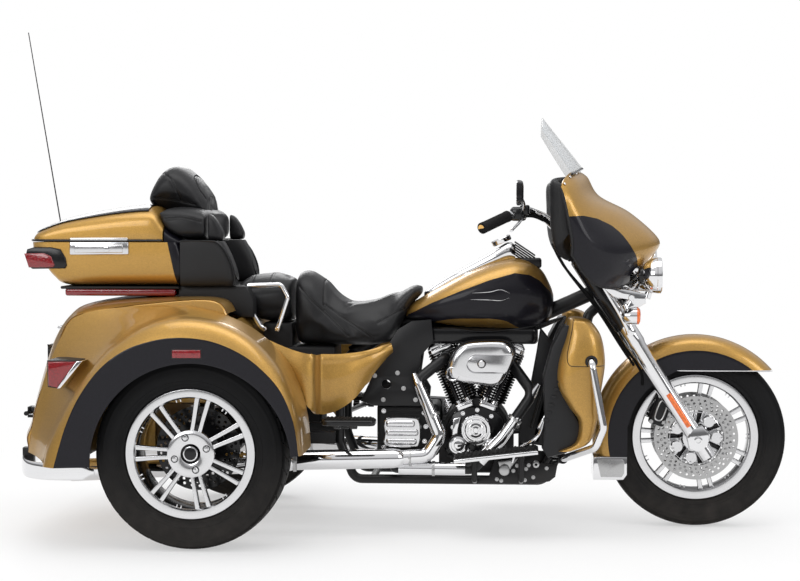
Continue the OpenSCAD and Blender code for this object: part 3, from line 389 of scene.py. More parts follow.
def add_piece(name, form, finish, body, replaces=(), angle=35, bevel=0.0, merge=0.02):
    """Mesh object at the origin from a shape, riding on a body. The zone is a point attribute."""
    points, faces, zone = form
    points = points * MM
    points[:, 0] += AXLE_X
    mesh = bpy.data.meshes.new(name)
    mesh.from_pydata(points, [], faces)
    mesh.attributes.new("zone", "FLOAT", "POINT").data.foreach_set("value", zone.astype(np.float32))
    work = bmesh.new()
    work.from_mesh(mesh)
    if merge:
        bmesh.ops.remove_doubles(work, verts=work.verts, dist=merge * MM)
    bmesh.ops.recalc_face_normals(work, faces=work.faces)
    work.to_mesh(mesh)
    work.free()
    mesh.validate()
    mesh.shade_smooth()
    if angle < 180:
        mesh.set_sharp_from_angle(angle=math.radians(angle))
    piece = bpy.data.objects.new(name, mesh)
    bpy.context.scene.collection.objects.link(piece)
    mesh.materials.append(FINISH[finish])
    if bevel:
        rim = piece.modifiers.new("rims", "BEVEL")
        rim.width, rim.segments, rim.limit_method = bevel * MM, 2, "ANGLE"
        rim.angle_limit = math.radians(40)
        rim.harden_normals = True
    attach(piece, body)
    for node in [replaces] if isinstance(replaces, str) else replaces:
        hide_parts(node)
    return piece


# ---------- materials ----------


def shader_group(name, inputs, outputs):
    """Empty node group with named float or colour sockets; returns its tree and end nodes."""
    tree = bpy.data.node_groups.new(name, "ShaderNodeTree")
    for label, kind, value in inputs:
        made = tree.interface.new_socket(label, in_out="INPUT", socket_type="NodeSocket" + kind)
        made.default_value = value
    for label, kind in outputs:
        tree.interface.new_socket(label, in_out="OUTPUT", socket_type="NodeSocket" + kind)
    return tree, tree.nodes.new("NodeGroupInput"), tree.nodes.new("NodeGroupOutput")


def feed(tree, node, links):
    """Link each {socket: output}, or set the socket where the value is a constant."""
    for key, value in links.items():
        if isinstance(value, bpy.types.NodeSocket):
            tree.links.new(value, node.inputs[key])
        else:
            node.inputs[key].default_value = value
    return node


def add(tree, kind, links=None, **settings):
    """New shader node with its settings, and links as {socket: value or output}."""
    node = tree.nodes.new("ShaderNode" + kind)
    for key, value in settings.items():
        setattr(node, key, value)
    return feed(tree, node, links or {})


def texture_place(tree):
    return add(tree, "TexCoord").outputs["Object"]


def make_fine_finish():
    """Slow and fine noise: together they vary the colour's tone and the gloss, and the fine one
    alone gives the relief.
    """
    tree, given, result = shader_group("fine_finish", [
        ("Colour", "Color", (0.5, 0.5, 0.5, 1)), ("Scale", "Float", 300.0),
        ("Colour variation", "Float", 0.1), ("Roughness", "Float", 0.4),
        ("Roughness variation", "Float", 0.1)],
        [("Colour", "Color"), ("Roughness", "Float"), ("Height", "Float")])
    place = texture_place(tree)
    slow = add(tree, "TexNoise", {"Vector": place, "Scale": 7.0, "Detail": 4.0})
    fine = add(tree, "TexNoise", {"Vector": place, "Scale": given.outputs["Scale"], "Detail": 3.0})
    both_ = add(tree, "Math", {0: slow.outputs["Fac"], 1: fine.outputs["Fac"]}, operation="ADD")
    centred = add(tree, "Math", {0: both_.outputs[0], 1: 1.0}, operation="SUBTRACT")
    shade = add(tree, "Math", {0: centred.outputs[0], 1: given.outputs["Colour variation"], 2: 1.0},
                operation="MULTIPLY_ADD")
    tinted = add(tree, "VectorMath", {0: given.outputs["Colour"]}, operation="SCALE")
    tree.links.new(shade.outputs[0], tinted.inputs["Scale"])
    gloss = add(tree, "Math", {0: centred.outputs[0], 1: given.outputs["Roughness variation"],
                               2: given.outputs["Roughness"]}, operation="MULTIPLY_ADD")
    tree.links.new(tinted.outputs[0], result.inputs["Colour"])
    tree.links.new(gloss.outputs[0], result.inputs["Roughness"])
    tree.links.new(fine.outputs["Fac"], result.inputs["Height"])


def make_leather_grain():
    """Pebbled hide: rounded cells of one size with soft creases between them."""
    tree, given, result = shader_group("leather_grain", [("Scale", "Float", 420.0)],
                                       [("Height", "Float")])
    place = texture_place(tree)
    cells = add(tree, "TexVoronoi", {"Vector": place, "Scale": given.outputs["Scale"]},
                feature="SMOOTH_F1")
    creases = add(tree, "TexNoise", {"Vector": place, "Scale": 45.0, "Detail": 5.0,
                                     "Roughness": 0.62})
    height = add(tree, "Math", {0: cells.outputs["Distance"], 1: -0.7,
                                2: creases.outputs["Fac"]}, operation="MULTIPLY_ADD")
    tree.links.new(height.outputs[0], result.inputs["Height"])


def make_metal_flake():
    """Metallic paint: each flake is a small cell with its own brightness."""
    tree, given, result = shader_group("metal_flake", [
        ("Colour", "Color", (0.5, 0.3, 0.1, 1)), ("Scale", "Float", 700.0),
        ("Sparkle", "Float", 0.3)], [("Colour", "Color")])
    place = texture_place(tree)
    cells = add(tree, "TexVoronoi", {"Vector": place, "Scale": given.outputs["Scale"]})
    slow = add(tree, "TexNoise", {"Vector": place, "Scale": 3.0, "Detail": 2.0})
    level = add(tree, "SeparateColor", {"Color": cells.outputs["Color"]})
    spread = add(tree, "Math", {0: level.outputs[0], 1: 0.5}, operation="SUBTRACT")
    bright = add(tree, "Math", {0: spread.outputs[0], 1: given.outputs["Sparkle"], 2: 1.0},
                 operation="MULTIPLY_ADD")
    cloud = add(tree, "Math", {0: slow.outputs["Fac"], 1: 0.12, 2: -0.06}, operation="MULTIPLY_ADD")
    total = add(tree, "Math", {0: bright.outputs[0], 1: cloud.outputs[0]}, operation="ADD")
    tinted = add(tree, "VectorMath", {0: given.outputs["Colour"]}, operation="SCALE")
    tree.links.new(total.outputs[0], tinted.inputs["Scale"])
    tree.links.new(tinted.outputs[0], result.inputs["Colour"])


def make_low_dust():
    """Road dust: its share is a noise that fades out with height above the ground."""
    tree, given, result = shader_group("low_dust", [
        ("Colour", "Color", (0.1, 0.1, 0.1, 1)), ("Amount", "Float", 0.2), ("Top", "Float", 0.35)],
        [("Colour", "Color")])
    place = texture_place(tree)
    high = add(tree, "SeparateXYZ", {0: place})
    low = add(tree, "MapRange", {"Value": high.outputs["Z"], "From Max": given.outputs["Top"],
                                 "From Min": 0.0, "To Min": 1.0, "To Max": 0.0})
    patchy = add(tree, "TexNoise", {"Vector": place, "Scale": 22.0, "Detail": 6.0})
    mask = add(tree, "Math", {0: low.outputs[0], 1: patchy.outputs["Fac"]}, operation="MULTIPLY")
    amount = add(tree, "Math", {0: mask.outputs[0], 1: given.outputs["Amount"]},
                 operation="MULTIPLY")
    mixed = add(tree, "Mix", {"Factor": amount.outputs[0], 6: given.outputs["Colour"],
                              7: (0.16, 0.14, 0.12, 1)}, data_type="RGBA")
    tree.links.new(mixed.outputs[2], result.inputs["Colour"])


def group_node(tree, name, links):
    node = tree.nodes.new("ShaderNodeGroup")
    node.node_tree = bpy.data.node_groups[name]
    return feed(tree, node, links)


def with_alpha(value):
    return (*value[:3], 1.0)


def blank_material(name, **sockets):
    """Principled material with the given constant sockets."""
    material = bpy.data.materials.new(name)
    material.use_nodes = True
    shader = material.node_tree.nodes["Principled BSDF"]
    for key, value in sockets.items():
        shader.inputs[key.replace("_", " ")].default_value = value
    material.diffuse_color = with_alpha(sockets.get("Base_Color", (0.5, 0.5, 0.5)))
    return material, material.node_tree, shader


def finish_material(name, base, roughness, metallic, scale, shade, gloss,
                    relief=0.0, dust=0.0, **sockets):
    """Material from the fine_finish group, with relief as the bump's depth in millimetres."""
    material, tree, shader = blank_material(name, Base_Color=with_alpha(base), Metallic=metallic,
                                            Roughness=roughness, **sockets)
    finish = group_node(tree, "fine_finish", {
        "Colour": with_alpha(base), "Scale": scale, "Colour variation": shade,
        "Roughness": roughness, "Roughness variation": gloss})
    shown = finish.outputs["Colour"]
    if dust:
        shown = group_node(tree, "low_dust", {"Colour": shown, "Amount": dust}).outputs["Colour"]
    tree.links.new(shown, shader.inputs["Base Color"])
    tree.links.new(finish.outputs["Roughness"], shader.inputs["Roughness"])
    if relief:
        bump = add(tree, "Bump", {"Height": finish.outputs["Height"], "Distance": relief * MM,
                                  "Strength": 0.5})
        tree.links.new(bump.outputs[0], shader.inputs["Normal"])
    return material


def zone_mask(tree):
    """1 where the zone attribute is above 0, and 0 elsewhere."""
    zone = add(tree, "Attribute", attribute_name="zone")
    return add(tree, "Math", {0: zone.outputs["Fac"], 1: 0.0}, operation="GREATER_THAN").outputs[0]


def paint_material(name, main, second, flake):
    """Clear-coated metallic paint. Where the zone is below 0 the second colour shows."""
    material, tree, shader = blank_material(name, Base_Color=with_alpha(main), Metallic=0.75,
                                            Roughness=0.4, Coat_Weight=0.5, Coat_Roughness=0.05,
                                            Specular_IOR_Level=0.2)
    flakes = group_node(tree, "metal_flake", {"Colour": with_alpha(main), "Scale": 1000 / flake,
                                              "Sparkle": 0.35})
    shown = flakes.outputs["Colour"]
    if second is not None:
        dark = group_node(tree, "metal_flake", {"Colour": with_alpha(second),
                                                "Scale": 1000 / flake, "Sparkle": 0.8})
        mask = zone_mask(tree)
        shown = add(tree, "Mix", {"Factor": mask, 6: dark.outputs["Colour"],
                                  7: flakes.outputs["Colour"]}, data_type="RGBA").outputs[2]
        metal = add(tree, "Math", {0: mask, 1: 0.8}, operation="MULTIPLY")
        coat = add(tree, "Math", {0: mask, 1: 0.3, 2: 0.2}, operation="MULTIPLY_ADD")
        tree.links.new(metal.outputs[0], shader.inputs["Metallic"])
        tree.links.new(coat.outputs[0], shader.inputs["Coat Weight"])
    tree.links.new(shown, shader.inputs["Base Color"])
    return material


def leather_material(name, base):
    material, tree, shader = blank_material(name, Base_Color=with_alpha(base), Roughness=0.42,
                                            Specular_IOR_Level=0.3)
    grain = group_node(tree, "leather_grain", {"Scale": 420.0})
    finish = group_node(tree, "fine_finish", {"Colour": with_alpha(base), "Scale": 90.0,
                                              "Colour variation": 0.35, "Roughness": 0.42,
                                              "Roughness variation": 0.16})
    tree.links.new(finish.outputs["Colour"], shader.inputs["Base Color"])
    tree.links.new(finish.outputs["Roughness"], shader.inputs["Roughness"])
    bump = add(tree, "Bump", {"Height": grain.outputs["Height"], "Distance": 0.0006,
                              "Strength": 0.55})
    tree.links.new(bump.outputs[0], shader.inputs["Normal"])
    return material


def lens_material(name, base):
    """Moulded lens: deep glossy colour over a pattern of small prisms, whose colour carries painted
    light: each prism is brightened at its middle as a painted highlight and darkened towards its
    rim as painted shade.
    """
    material, tree, shader = blank_material(name, Base_Color=with_alpha(base), Roughness=0.12,
                                            Coat_Weight=1.0, Coat_Roughness=0.02)
    cells = add(tree, "TexVoronoi", {"Vector": texture_place(tree), "Scale": 160.0},
                distance="CHEBYCHEV")
    # Painted highlight and shade in each prism: the colour is scaled from 1.25 at the prism's
    # middle down towards 0.55 further out.
    shade = add(tree, "MapRange", {"Value": cells.outputs["Distance"], "To Min": 1.25,
                                   "To Max": 0.55})
    tinted = add(tree, "VectorMath", {0: base}, operation="SCALE")
    tree.links.new(shade.outputs[0], tinted.inputs["Scale"])
    tree.links.new(tinted.outputs[0], shader.inputs["Base Color"])
    bump = add(tree, "Bump", {"Height": cells.outputs["Distance"], "Distance": 0.0008,
                              "Strength": 0.5})
    tree.links.new(bump.outputs[0], shader.inputs["Normal"])
    return material


def clear_material(name, tint, alpha=None, roughness=0.03):
    """Clear glass, or a thin screen where alpha is given, with its tint as the base colour."""
    material, _, shader = blank_material(name, Base_Color=with_alpha(tint), Roughness=roughness,
                                            IOR=1.45)
    if alpha is None:
        shader.inputs["Transmission Weight"].default_value = 1.0
    else:
        shader.inputs["Alpha"].default_value = alpha
    return material


def make_materials(c, sizes):
    """All finishes by name. c is the colour settings."""
    for make in (make_fine_finish, make_leather_grain, make_metal_flake, make_low_dust):
        make()
    return {
        "gold": paint_material("gold_paint", c.gold, None, sizes.flake),
        "two_tone": paint_material("gold_and_dark_paint", c.gold, c.dark, sizes.flake),
        "dark": finish_material("dark_paint", c.dark, 0.3, 0.0, 600.0, 0.3, 0.06,
                                Coat_Weight=0.2, Specular_IOR_Level=0.2),
        "chrome": finish_material("chrome", (0.8, 0.8, 0.81), 0.07, 1.0, 140.0, 0.03, 0.02),
        "alloy": finish_material("polished_alloy", (0.72, 0.72, 0.73), 0.16, 1.0, 420.0, 0.06,
                                 0.06, dust=0.1),
        "steel": finish_material("brushed_steel", (0.5, 0.5, 0.5), 0.3, 1.0, 900.0, 0.14, 0.12,
                                 0.05),
        "black_metal": finish_material("black_metal", (0.013, 0.013, 0.014), 0.32, 0.0, 380.0,
                                       0.25, 0.1, 0.04, 0.15, Specular_IOR_Level=0.3),
        "wrinkle": finish_material("wrinkle_black", (0.012, 0.012, 0.013), 0.5, 0.0, 1500.0, 0.3,
                                   0.1, 0.25, 0.15, Specular_IOR_Level=0.3),
        "plastic": finish_material("moulded_plastic", c.plastic, 0.5, 0.0, 1300.0, 0.2, 0.1, 0.12,
                                   Specular_IOR_Level=0.3),
        "gloss_black": finish_material("gloss_black", (0.01, 0.01, 0.011), 0.15, 0.0, 200.0, 0.2,
                                       0.04, Specular_IOR_Level=0.35),
        "rubber": finish_material("rubber", c.rubber, 0.7, 0.0, 1100.0, 0.25, 0.1, 0.1, 0.25,
                                  Specular_IOR_Level=0.15),
        "leather": leather_material("grained_leather", c.leather),
        "thread": finish_material("stitching", (0.03, 0.03, 0.031), 0.7, 0.0, 3000.0, 0.2, 0.1,
                                  0.1),
        "red": lens_material("red_lens", c.red),
        "amber": lens_material("amber_lens", c.amber),
        "clear": clear_material("clear_lens", (0.96, 0.97, 0.98)),
        "screen": clear_material("screen", (0.5, 0.53, 0.55), 0.3, 0.12),
        "dial": finish_material("dial_face", (0.75, 0.75, 0.72), 0.4, 0.0, 500.0, 0.04, 0.05),
    }


def cut(form, *tools, operation="DIFFERENCE"):
    """The shape after an exact boolean with each tool in turn."""
    def holder(one):
        mesh = bpy.data.meshes.new("work")
        mesh.from_pydata(np.asarray(one[0]) * MM, [], one[1])
        work = bmesh.new()
        work.from_mesh(mesh)
        bmesh.ops.remove_doubles(work, verts=work.verts, dist=0.01 * MM)
        bmesh.ops.recalc_face_normals(work, faces=work.faces)
        work.to_mesh(mesh)
        work.free()
        made = bpy.data.objects.new("work", mesh)
        bpy.context.scene.collection.objects.link(made)
        return made
    base = holder(form)
    others = [holder(tool) for tool in tools]
    for other in others:
        step = base.modifiers.new("cut", "BOOLEAN")
        step.object, step.operation, step.solver = other, operation, "EXACT"
    graph = bpy.context.evaluated_depsgraph_get()
    mesh = bpy.data.meshes.new_from_object(base.evaluated_get(graph))
    co = np.zeros(len(mesh.vertices) * 3)
    mesh.vertices.foreach_get("co", co)
    faces = [list(p.vertices) for p in mesh.polygons]
    for one in (base, *others):
        bpy.data.objects.remove(one)
    if not faces:
        raise RuntimeError("a cut left nothing")
    return shape(co.reshape(-1, 3) / MM, faces)


def block(x, y, z):
    """Plain box between two values on each axis, for cutting."""
    return round_box((x[0], y[0], z[0]), (x[1], y[1], z[1]), 0.5, 1)


# ---------- tyres and wheels ----------


def tyre_form(d, w, rim_d, rim_w, centre, blocks, depth):
    """Radius over lateral place, turned round the axle.

    The tread is a band of blocks: the radius drops by the groove depth in two rings and in
    slanting notches, whose angle grows with the distance from the middle of the tread.
    """
    bead, foot = rim_d / 2 - 18, rim_w / 2 - 8.3
    half = curve([(0, d / 2), (w * 0.1, d / 2), (w * 0.28, d / 2 - 2), (w * 0.42, d / 2 - 9),
                  (w / 2 - 5, d / 2 - 26), (w / 2, (bead + d / 2) / 2), (w / 2 - 4, bead + 40),
                  (rim_w / 2 - 2, bead + 22)], 10)
    s = np.array([0, 0.12, 0.235, 0.25, 0.315, 0.33, 0.45, 0.6, 0.75, 0.88, 0.96, 1.0])
    ring = np.isin(s, (0.25, 0.315)).astype(float)
    shoulder = np.interp(s, [0.32, 0.33, 0.96, 1.0], [0, 1, 1, 0.4])
    inner = np.where(s < 0.24, 0.55, 0.0)
    tread_y = s * w * 0.44
    tread_r = np.interp(tread_y, half[:, 0], half[:, 1])
    wall = half[half[:, 0] > tread_y[-1] + 1]
    last = np.argmax(half[:, 0])
    after = half[last:][half[last:, 0] <= tread_y[-1] + 1]
    wall = np.vstack([wall, after]) if len(after) else wall
    level = (wall[:, 1] - bead) / (d / 2 - bead)
    swell = 1.6 * (np.abs(level - 0.34) < 0.03) + 1.2 * (np.abs(level - 0.72) < 0.03)
    foot_rows = np.array([[foot, bead + 18], [foot, bead]])
    y = np.concatenate([tread_y, wall[:, 0] + np.where(wall[:, 0] < w / 2 - 0.5, swell, 0),
                        foot_rows[:, 0]])
    r = np.concatenate([tread_r, wall[:, 1], foot_rows[:, 1]])
    pad = np.zeros(len(y) - len(s))
    slant = np.concatenate([0.9 * s, pad + 0.9])
    marks = [np.concatenate([one, pad]) for one in (ring, shoulder, inner)]
    sides = [np.concatenate([one[::-1], one[1:]]) for one in (y, r, slant, *marks)]
    y = np.concatenate([-sides[0][:len(r)], sides[0][len(r):]])
    r, slant, ring, shoulder, inner = sides[1:]
    phase = np.array([0, 0.03, 0.13, 0.16, 0.5, 0.53, 0.6, 0.63])
    one = np.isin(phase, (0.03, 0.13)).astype(float)
    two = np.isin(phase, (0.53, 0.6)).astype(float)
    a = ((np.arange(blocks)[:, None] + phase) / blocks).ravel()[:, None] + slant / blocks
    a = a * 2 * np.pi
    notch = np.maximum(np.tile(one, blocks)[:, None] * shoulder,
                       np.tile(two, blocks)[:, None] * inner)
    r = r - depth * np.maximum(notch, ring)
    points = np.stack([r * np.cos(a), np.broadcast_to(y, a.shape), r * np.sin(a)], -1)
    return shape(points + np.asarray(centre, float), quads(*a.shape, closed=True))


def spoke(inner_r, outer_r, inner, outer, low, high, edge):
    """Tapered bar along +Z between two pairs of X limits: a rounded section at each of 10."""
    t = np.linspace(0, 1, 10)[:, None]
    left = inner[0] + (outer[0] - inner[0]) * t**1.3
    right = inner[1] + (outer[1] - inner[1]) * t**1.3
    a = np.pi / 4 + 2 * np.pi * np.arange(20) / 20
    x = (left + right) / 2 + (right - left) / 2 * power(np.cos(a), 0.4)
    y = (low + high) / 2 + (high - low) / 2 * power(np.sin(a), edge)
    y = y + np.where(y < (low + high) / 2, 4 * (1 - t)**2, 0)
    return skin(np.stack([x, np.broadcast_to(y, x.shape),
                          np.broadcast_to(inner_r + (outer_r - inner_r) * t, x.shape)], -1))


def round_axle(form, count, start):
    """The shape repeated evenly about the Y axis."""
    return join(*[moved(form, turn=about("y", 360 * (i + start) / count)) for i in range(count)])


def wheel_forms(rim_d, rim_w, face_in, hub_r, pairs):
    """Bright and black shapes of a cast wheel about the origin, its outer face along -Y."""
    flange, half = rim_d / 2, rim_w / 2
    bead = flange - 18.3
    barrel, face = bead - 12, -half + face_in
    lip = [(barrel - 1, -half + 26), (barrel - 1.5, -half + 8), (barrel + 3, -half + 1.5),
           (flange - 8, -half), (flange - 2.5, -half + 1), (flange, -half + 4),
           (flange - 1, -half + 7.7), (bead + 2, -half + 8), (bead, -half + 12), (bead, -half + 26)]
    back = [(barrel, half - 26), (barrel, half - 1), (flange - 3, half), (flange, half - 4),
            (flange - 2, half - 8), (bead, half - 8), (bead, half - 26)]
    well = [(barrel, -half + 26), (barrel - 2, -half + 40), (barrel - 2, half - 40),
            (barrel, half - 26), (bead, half - 26), (bead - 5, 0), (bead, -half + 26)]
    bright = [turned(lip, count=120), turned(back, count=96)]
    black = [turned(well, count=96)]
    for side in (-1, 1):
        bars = [sorted((side * 6.5, side * 18.5)), sorted((side * 12, side * 27))]
        bright.append(round_axle(spoke(hub_r - 10, barrel + 1, *bars, face - 1, face + 4, 0.45),
                                 pairs, 0.25))
        wide = [[bars[0][0] - 0.6, bars[0][1] + 0.6], [bars[1][0] - 1.2, bars[1][1] + 1.2]]
        black.append(round_axle(spoke(hub_r - 12, barrel + 2, *wide, face + 3, face + 22, 0.6),
                                pairs, 0.25))
        stud = round_box((side * 7 - 2.2, face + 1, barrel - 11),
                         (side * 7 + 2.2, face + 8, barrel), 1.2, 2)
        bright.append(round_axle(stud, pairs, 0.75))
    web = spoke(hub_r - 12, barrel * 0.52, (-8, 8), (-9, 9), face + 8, face + 20, 0.6)
    black.append(round_axle(web, pairs, 0.25))
    hub = [(hub_r * 0.42, face - 3), (hub_r * 0.46, face - 4.5), (hub_r * 0.8, face - 4.5),
           (hub_r - 5, face - 3.5), (hub_r - 1, face - 1), (hub_r, face + 3), (hub_r, face + 19),
           (hub_r - 3, face + 22), (hub_r * 0.42, face + 22)]
    bright.append(turned(hub, count=80))
    return bright, black, face


def lug_nut():
    """Domed hexagon nut standing along -Y in a dark recess."""
    tall = across = 9.0
    nut = turned([(0.5, 0), (across, 0), (across, -tall * 0.7), (across * 0.8, -tall * 0.95),
                  (across * 0.45, -tall), (0.5, -tall)], count=6)
    ring = turned([(across * 1.02, 0.5), (across * 1.35, 0.5), (across * 1.35, -1.2),
                   (across * 1.02, -1.2)], count=28)
    return nut, ring


def disc_plate(outer, inner, y_low, y_high, rows):
    """Brake disc with rings of drilled holes."""
    holes = [circle((0, 0), inner, 64)]
    for radius, count, size, offset in rows:
        angle = 2 * np.pi * (np.arange(count) + offset) / count
        holes.extend(circle((radius * math.cos(a), radius * math.sin(a)), size, 10) for a in angle)
    return plate(circle((0, 0), outer, 96), y_low, y_high, 0.6, holes, 1)


class TRIKE_OT_tyres(bpy.types.Operator):
    """Three tyres: a grooved tread band turned round each axle over smooth side walls"""
    bl_idname = "trike.tyres"
    bl_label = "Tyres"

    def execute(self, context):
        sizes = context.scene.trike_sizes
        for name, body, d, w, rim_d, rim_w, centre in (
                ("front_tyre", "front_wheel", 630, 130, 440, 108, (FRONT_HUB[0], 0, FRONT_HUB[1])),
                ("rear_tyre_right", "rear_wheel_right", 632, 205, 427, 172,
                 (0, -REAR_TRACK / 2, REAR_HUB[1])),
                ("rear_tyre_left", "rear_wheel_left", 632, 205, 427, 172,
                 (0, REAR_TRACK / 2, REAR_HUB[1]))):
            form = tyre_form(d, w, rim_d, rim_w, centre, sizes.tread_blocks, sizes.tread_depth)
            add_piece(name + "_tread", form, "rubber", body, name, angle=28)
        return {"FINISHED"}


class TRIKE_OT_rear_wheels(bpy.types.Operator):
    """Cast rear wheels: paired polished spokes over black pockets, hub, lug nuts and cap"""
    bl_idname = "trike.rear_wheels"
    bl_label = "Rear wheels"

    def execute(self, context):
        pairs = context.scene.trike_sizes.spoke_pairs
        bright, black, face = wheel_forms(427, 172, 12, 78, pairs)
        nut, ring = lug_nut()
        for angle in (18, 108, 198, 288):
            a = math.radians(angle)
            place = (55 * math.cos(a), face - 3.5, 55 * math.sin(a))
            bright.append(moved(nut, place))
            black.append(moved(ring, place))
        bright.append(turned([(0.5, face - 6), (20, face - 6), (24, face - 5), (26, face - 2),
                              (26, face + 4), (0.5, face + 4)], count=48))
        black.append(turned([(0.5, face - 8.5), (14, face - 8.5), (19, face - 7.5),
                             (20.5, face - 5.5), (0.5, face - 5.5)], count=48))
        black.append(turned([(20.2, face + 20), (46, face + 20), (46, 72), (50, 78), (60, 80),
                             (20.2, 80)], count=48))
        black.append(disc_plate(140, 47, 66, 72, [(96, 30, 5, 0), (112, 30, 5, 0.33),
                                                  (126, 30, 5, 0.66)]))
        for side, name in ((RIGHT, "rear_wheel_right"), (LEFT, "rear_wheel_left")):
            place = (0, -REAR_TRACK / 2, REAR_HUB[1])
            shapes = [moved(join(*one), place) for one in (bright, black)]
            if side == LEFT:
                shapes = [mirrored(one) for one in shapes]
            add_piece(name + "_bright", shapes[0], "alloy", name, name)
            add_piece(name + "_black", shapes[1], "gloss_black", name, angle=30)
        return {"FINISHED"}


class TRIKE_OT_front_wheel(bpy.types.Operator):
    """Cast front wheel with two drilled brake discs on polished alloy carriers"""
    bl_idname = "trike.front_wheel"
    bl_label = "Front wheel"

    def execute(self, context):
        pairs = context.scene.trike_sizes.spoke_pairs
        bright, black, _ = wheel_forms(440, 108, 30, 58, pairs)
        bright = bright[:-1]
        bright.append(turned([(14.5, -92), (30, -92), (34, -88), (34, -60), (44, -50), (56, -30),
                              (58, -10), (58, 10), (56, 30), (44, 50), (34, 60), (34, 88),
                              (30, 92), (14.5, 92)], count=64))
        holes = [(108, 36, 4.2, 0), (120, 36, 4.2, 0.33), (132, 36, 4.2, 0.66)]
        steel = [disc_plate(146, 97, -79, -74, holes), disc_plate(146, 97, 74, 79, holes)]
        carrier = [circle((0, 0), 44, 40)]
        carrier += [circle((72 * math.cos(a), 72 * math.sin(a)), 17, 18)
                    for a in 2 * np.pi * np.arange(7) / 7]
        rim = circle((0, 0), 92, 84)
        for y in ((-80, -75), (75, 80)):
            bright.append(plate(rim, *y, 1.5, carrier))
        for a in 2 * np.pi * np.arange(7) / 7:
            for y in (-81, 79):
                bright.append(disc(5.5, y - 1.5, y + 3.5, (88 * math.cos(a), 0, 88 * math.sin(a)),
                                   count=16))
        bright.append(both(turned([(34, 74), (46, 74), (46, 81), (34, 83)], count=48)))
        place = (FRONT_HUB[0], 0, FRONT_HUB[1])
        add_piece("front_wheel_bright", moved(join(*bright), place), "alloy", "front_wheel",
                  "front_wheel")
        add_piece("front_wheel_black", moved(join(*black), place), "gloss_black", "front_wheel")
        add_piece("front_brake_discs", moved(join(*steel), place), "steel", "front_wheel")
        return {"FINISHED"}


# ---------- rear body ----------

ARCH_INNER = [(-588, 292), (-576, 372), (-552, 470), (-514, 590), (-458, 706), (-392, 762),
              (-240, 784), (-60, 790), (80, 760), (190, 706), (282, 622), (336, 520), (362, 420),
              (371, 320)]
ARCH_CREST = [(-486, 276), (-470, 334), (-436, 408), (-392, 490), (-336, 576), (-256, 664),
              (-150, 732), (-40, 762), (76, 752), (180, 708), (258, 640), (318, 560), (356, 455),
              (371, 320)]
ARCH_SIDE = [(-432, 276), (-414, 340), (-388, 420), (-346, 508), (-280, 596), (-200, 656),
             (-110, 688), (-20, 699), (80, 688), (170, 652), (240, 602), (304, 530), (346, 430),
             (362, 322)]


def fender_form():
    """Left fender: sections set square to the arch, from the inner edge over the crest to the side.

    At each step along the arch the outline slides between three smooth curves with t, the width
    runs with it, and the section ends on the wheel opening, its rolled lip and the wheel well.
    """
    rows = [(428.3, 0), (446, 0.14), (470, 0.32), (500, 0.5), (536, 0.69), (570, 0.85),
            (598, 0.95), (622, 1.02), (644, 1.1), (658, 1.2), (670, 1.34), (679, 1.52),
            (686, 1.7), (690.5, 1.84), (693, 1.93), (694.6, 1.985), (695, 2.0)]
    path = curve(rows, 3)
    inner, crest, side = (curve(a, 6) for a in (ARCH_INNER, ARCH_CREST, ARCH_SIDE))
    t = path[:, 1][None, :, None]
    lower = inner[:, None] + (crest - inner)[:, None] * t
    upper = crest[:, None] + (side - crest)[:, None] * (t - 1)
    xz = np.where(t < 1, lower, upper)
    y = np.broadcast_to(path[:, 0], xz.shape[:2])
    outer = np.stack([xz[..., 0], y, xz[..., 1]], -1)
    centre = np.array([12.0, 290.0])
    ray = unit(side - centre)

    def ring(radius, lateral, about_=centre):
        place = about_ + ray * radius
        return np.stack([place[:, 0], np.full(len(place), lateral), place[:, 1]], -1)[:, None]

    edge = (centre + ray * 332)[:, None]
    face = edge + (side[:, None] - edge) * np.linspace(0.92, 0.06, 5)[:, None]
    flat = np.stack([face[..., 0], np.full(face.shape[:2], 695.2), face[..., 1]], -1)
    hub = np.array(REAR_HUB)
    well = [ring(329, 695), ring(326, 693), ring(326, 689), ring(332, 687), ring(344, 687, hub),
            ring(344, 640, hub), ring(344, 560, hub), ring(344, 480, hub), ring(344, 433, hub),
            ring(352, 431, hub)]
    rings = np.concatenate([outer, flat, *well], 1)
    zone = np.ones(rings.shape[:2])
    zone[:, outer.shape[1] - 1:] = -1.0
    return skin(rings, zone)


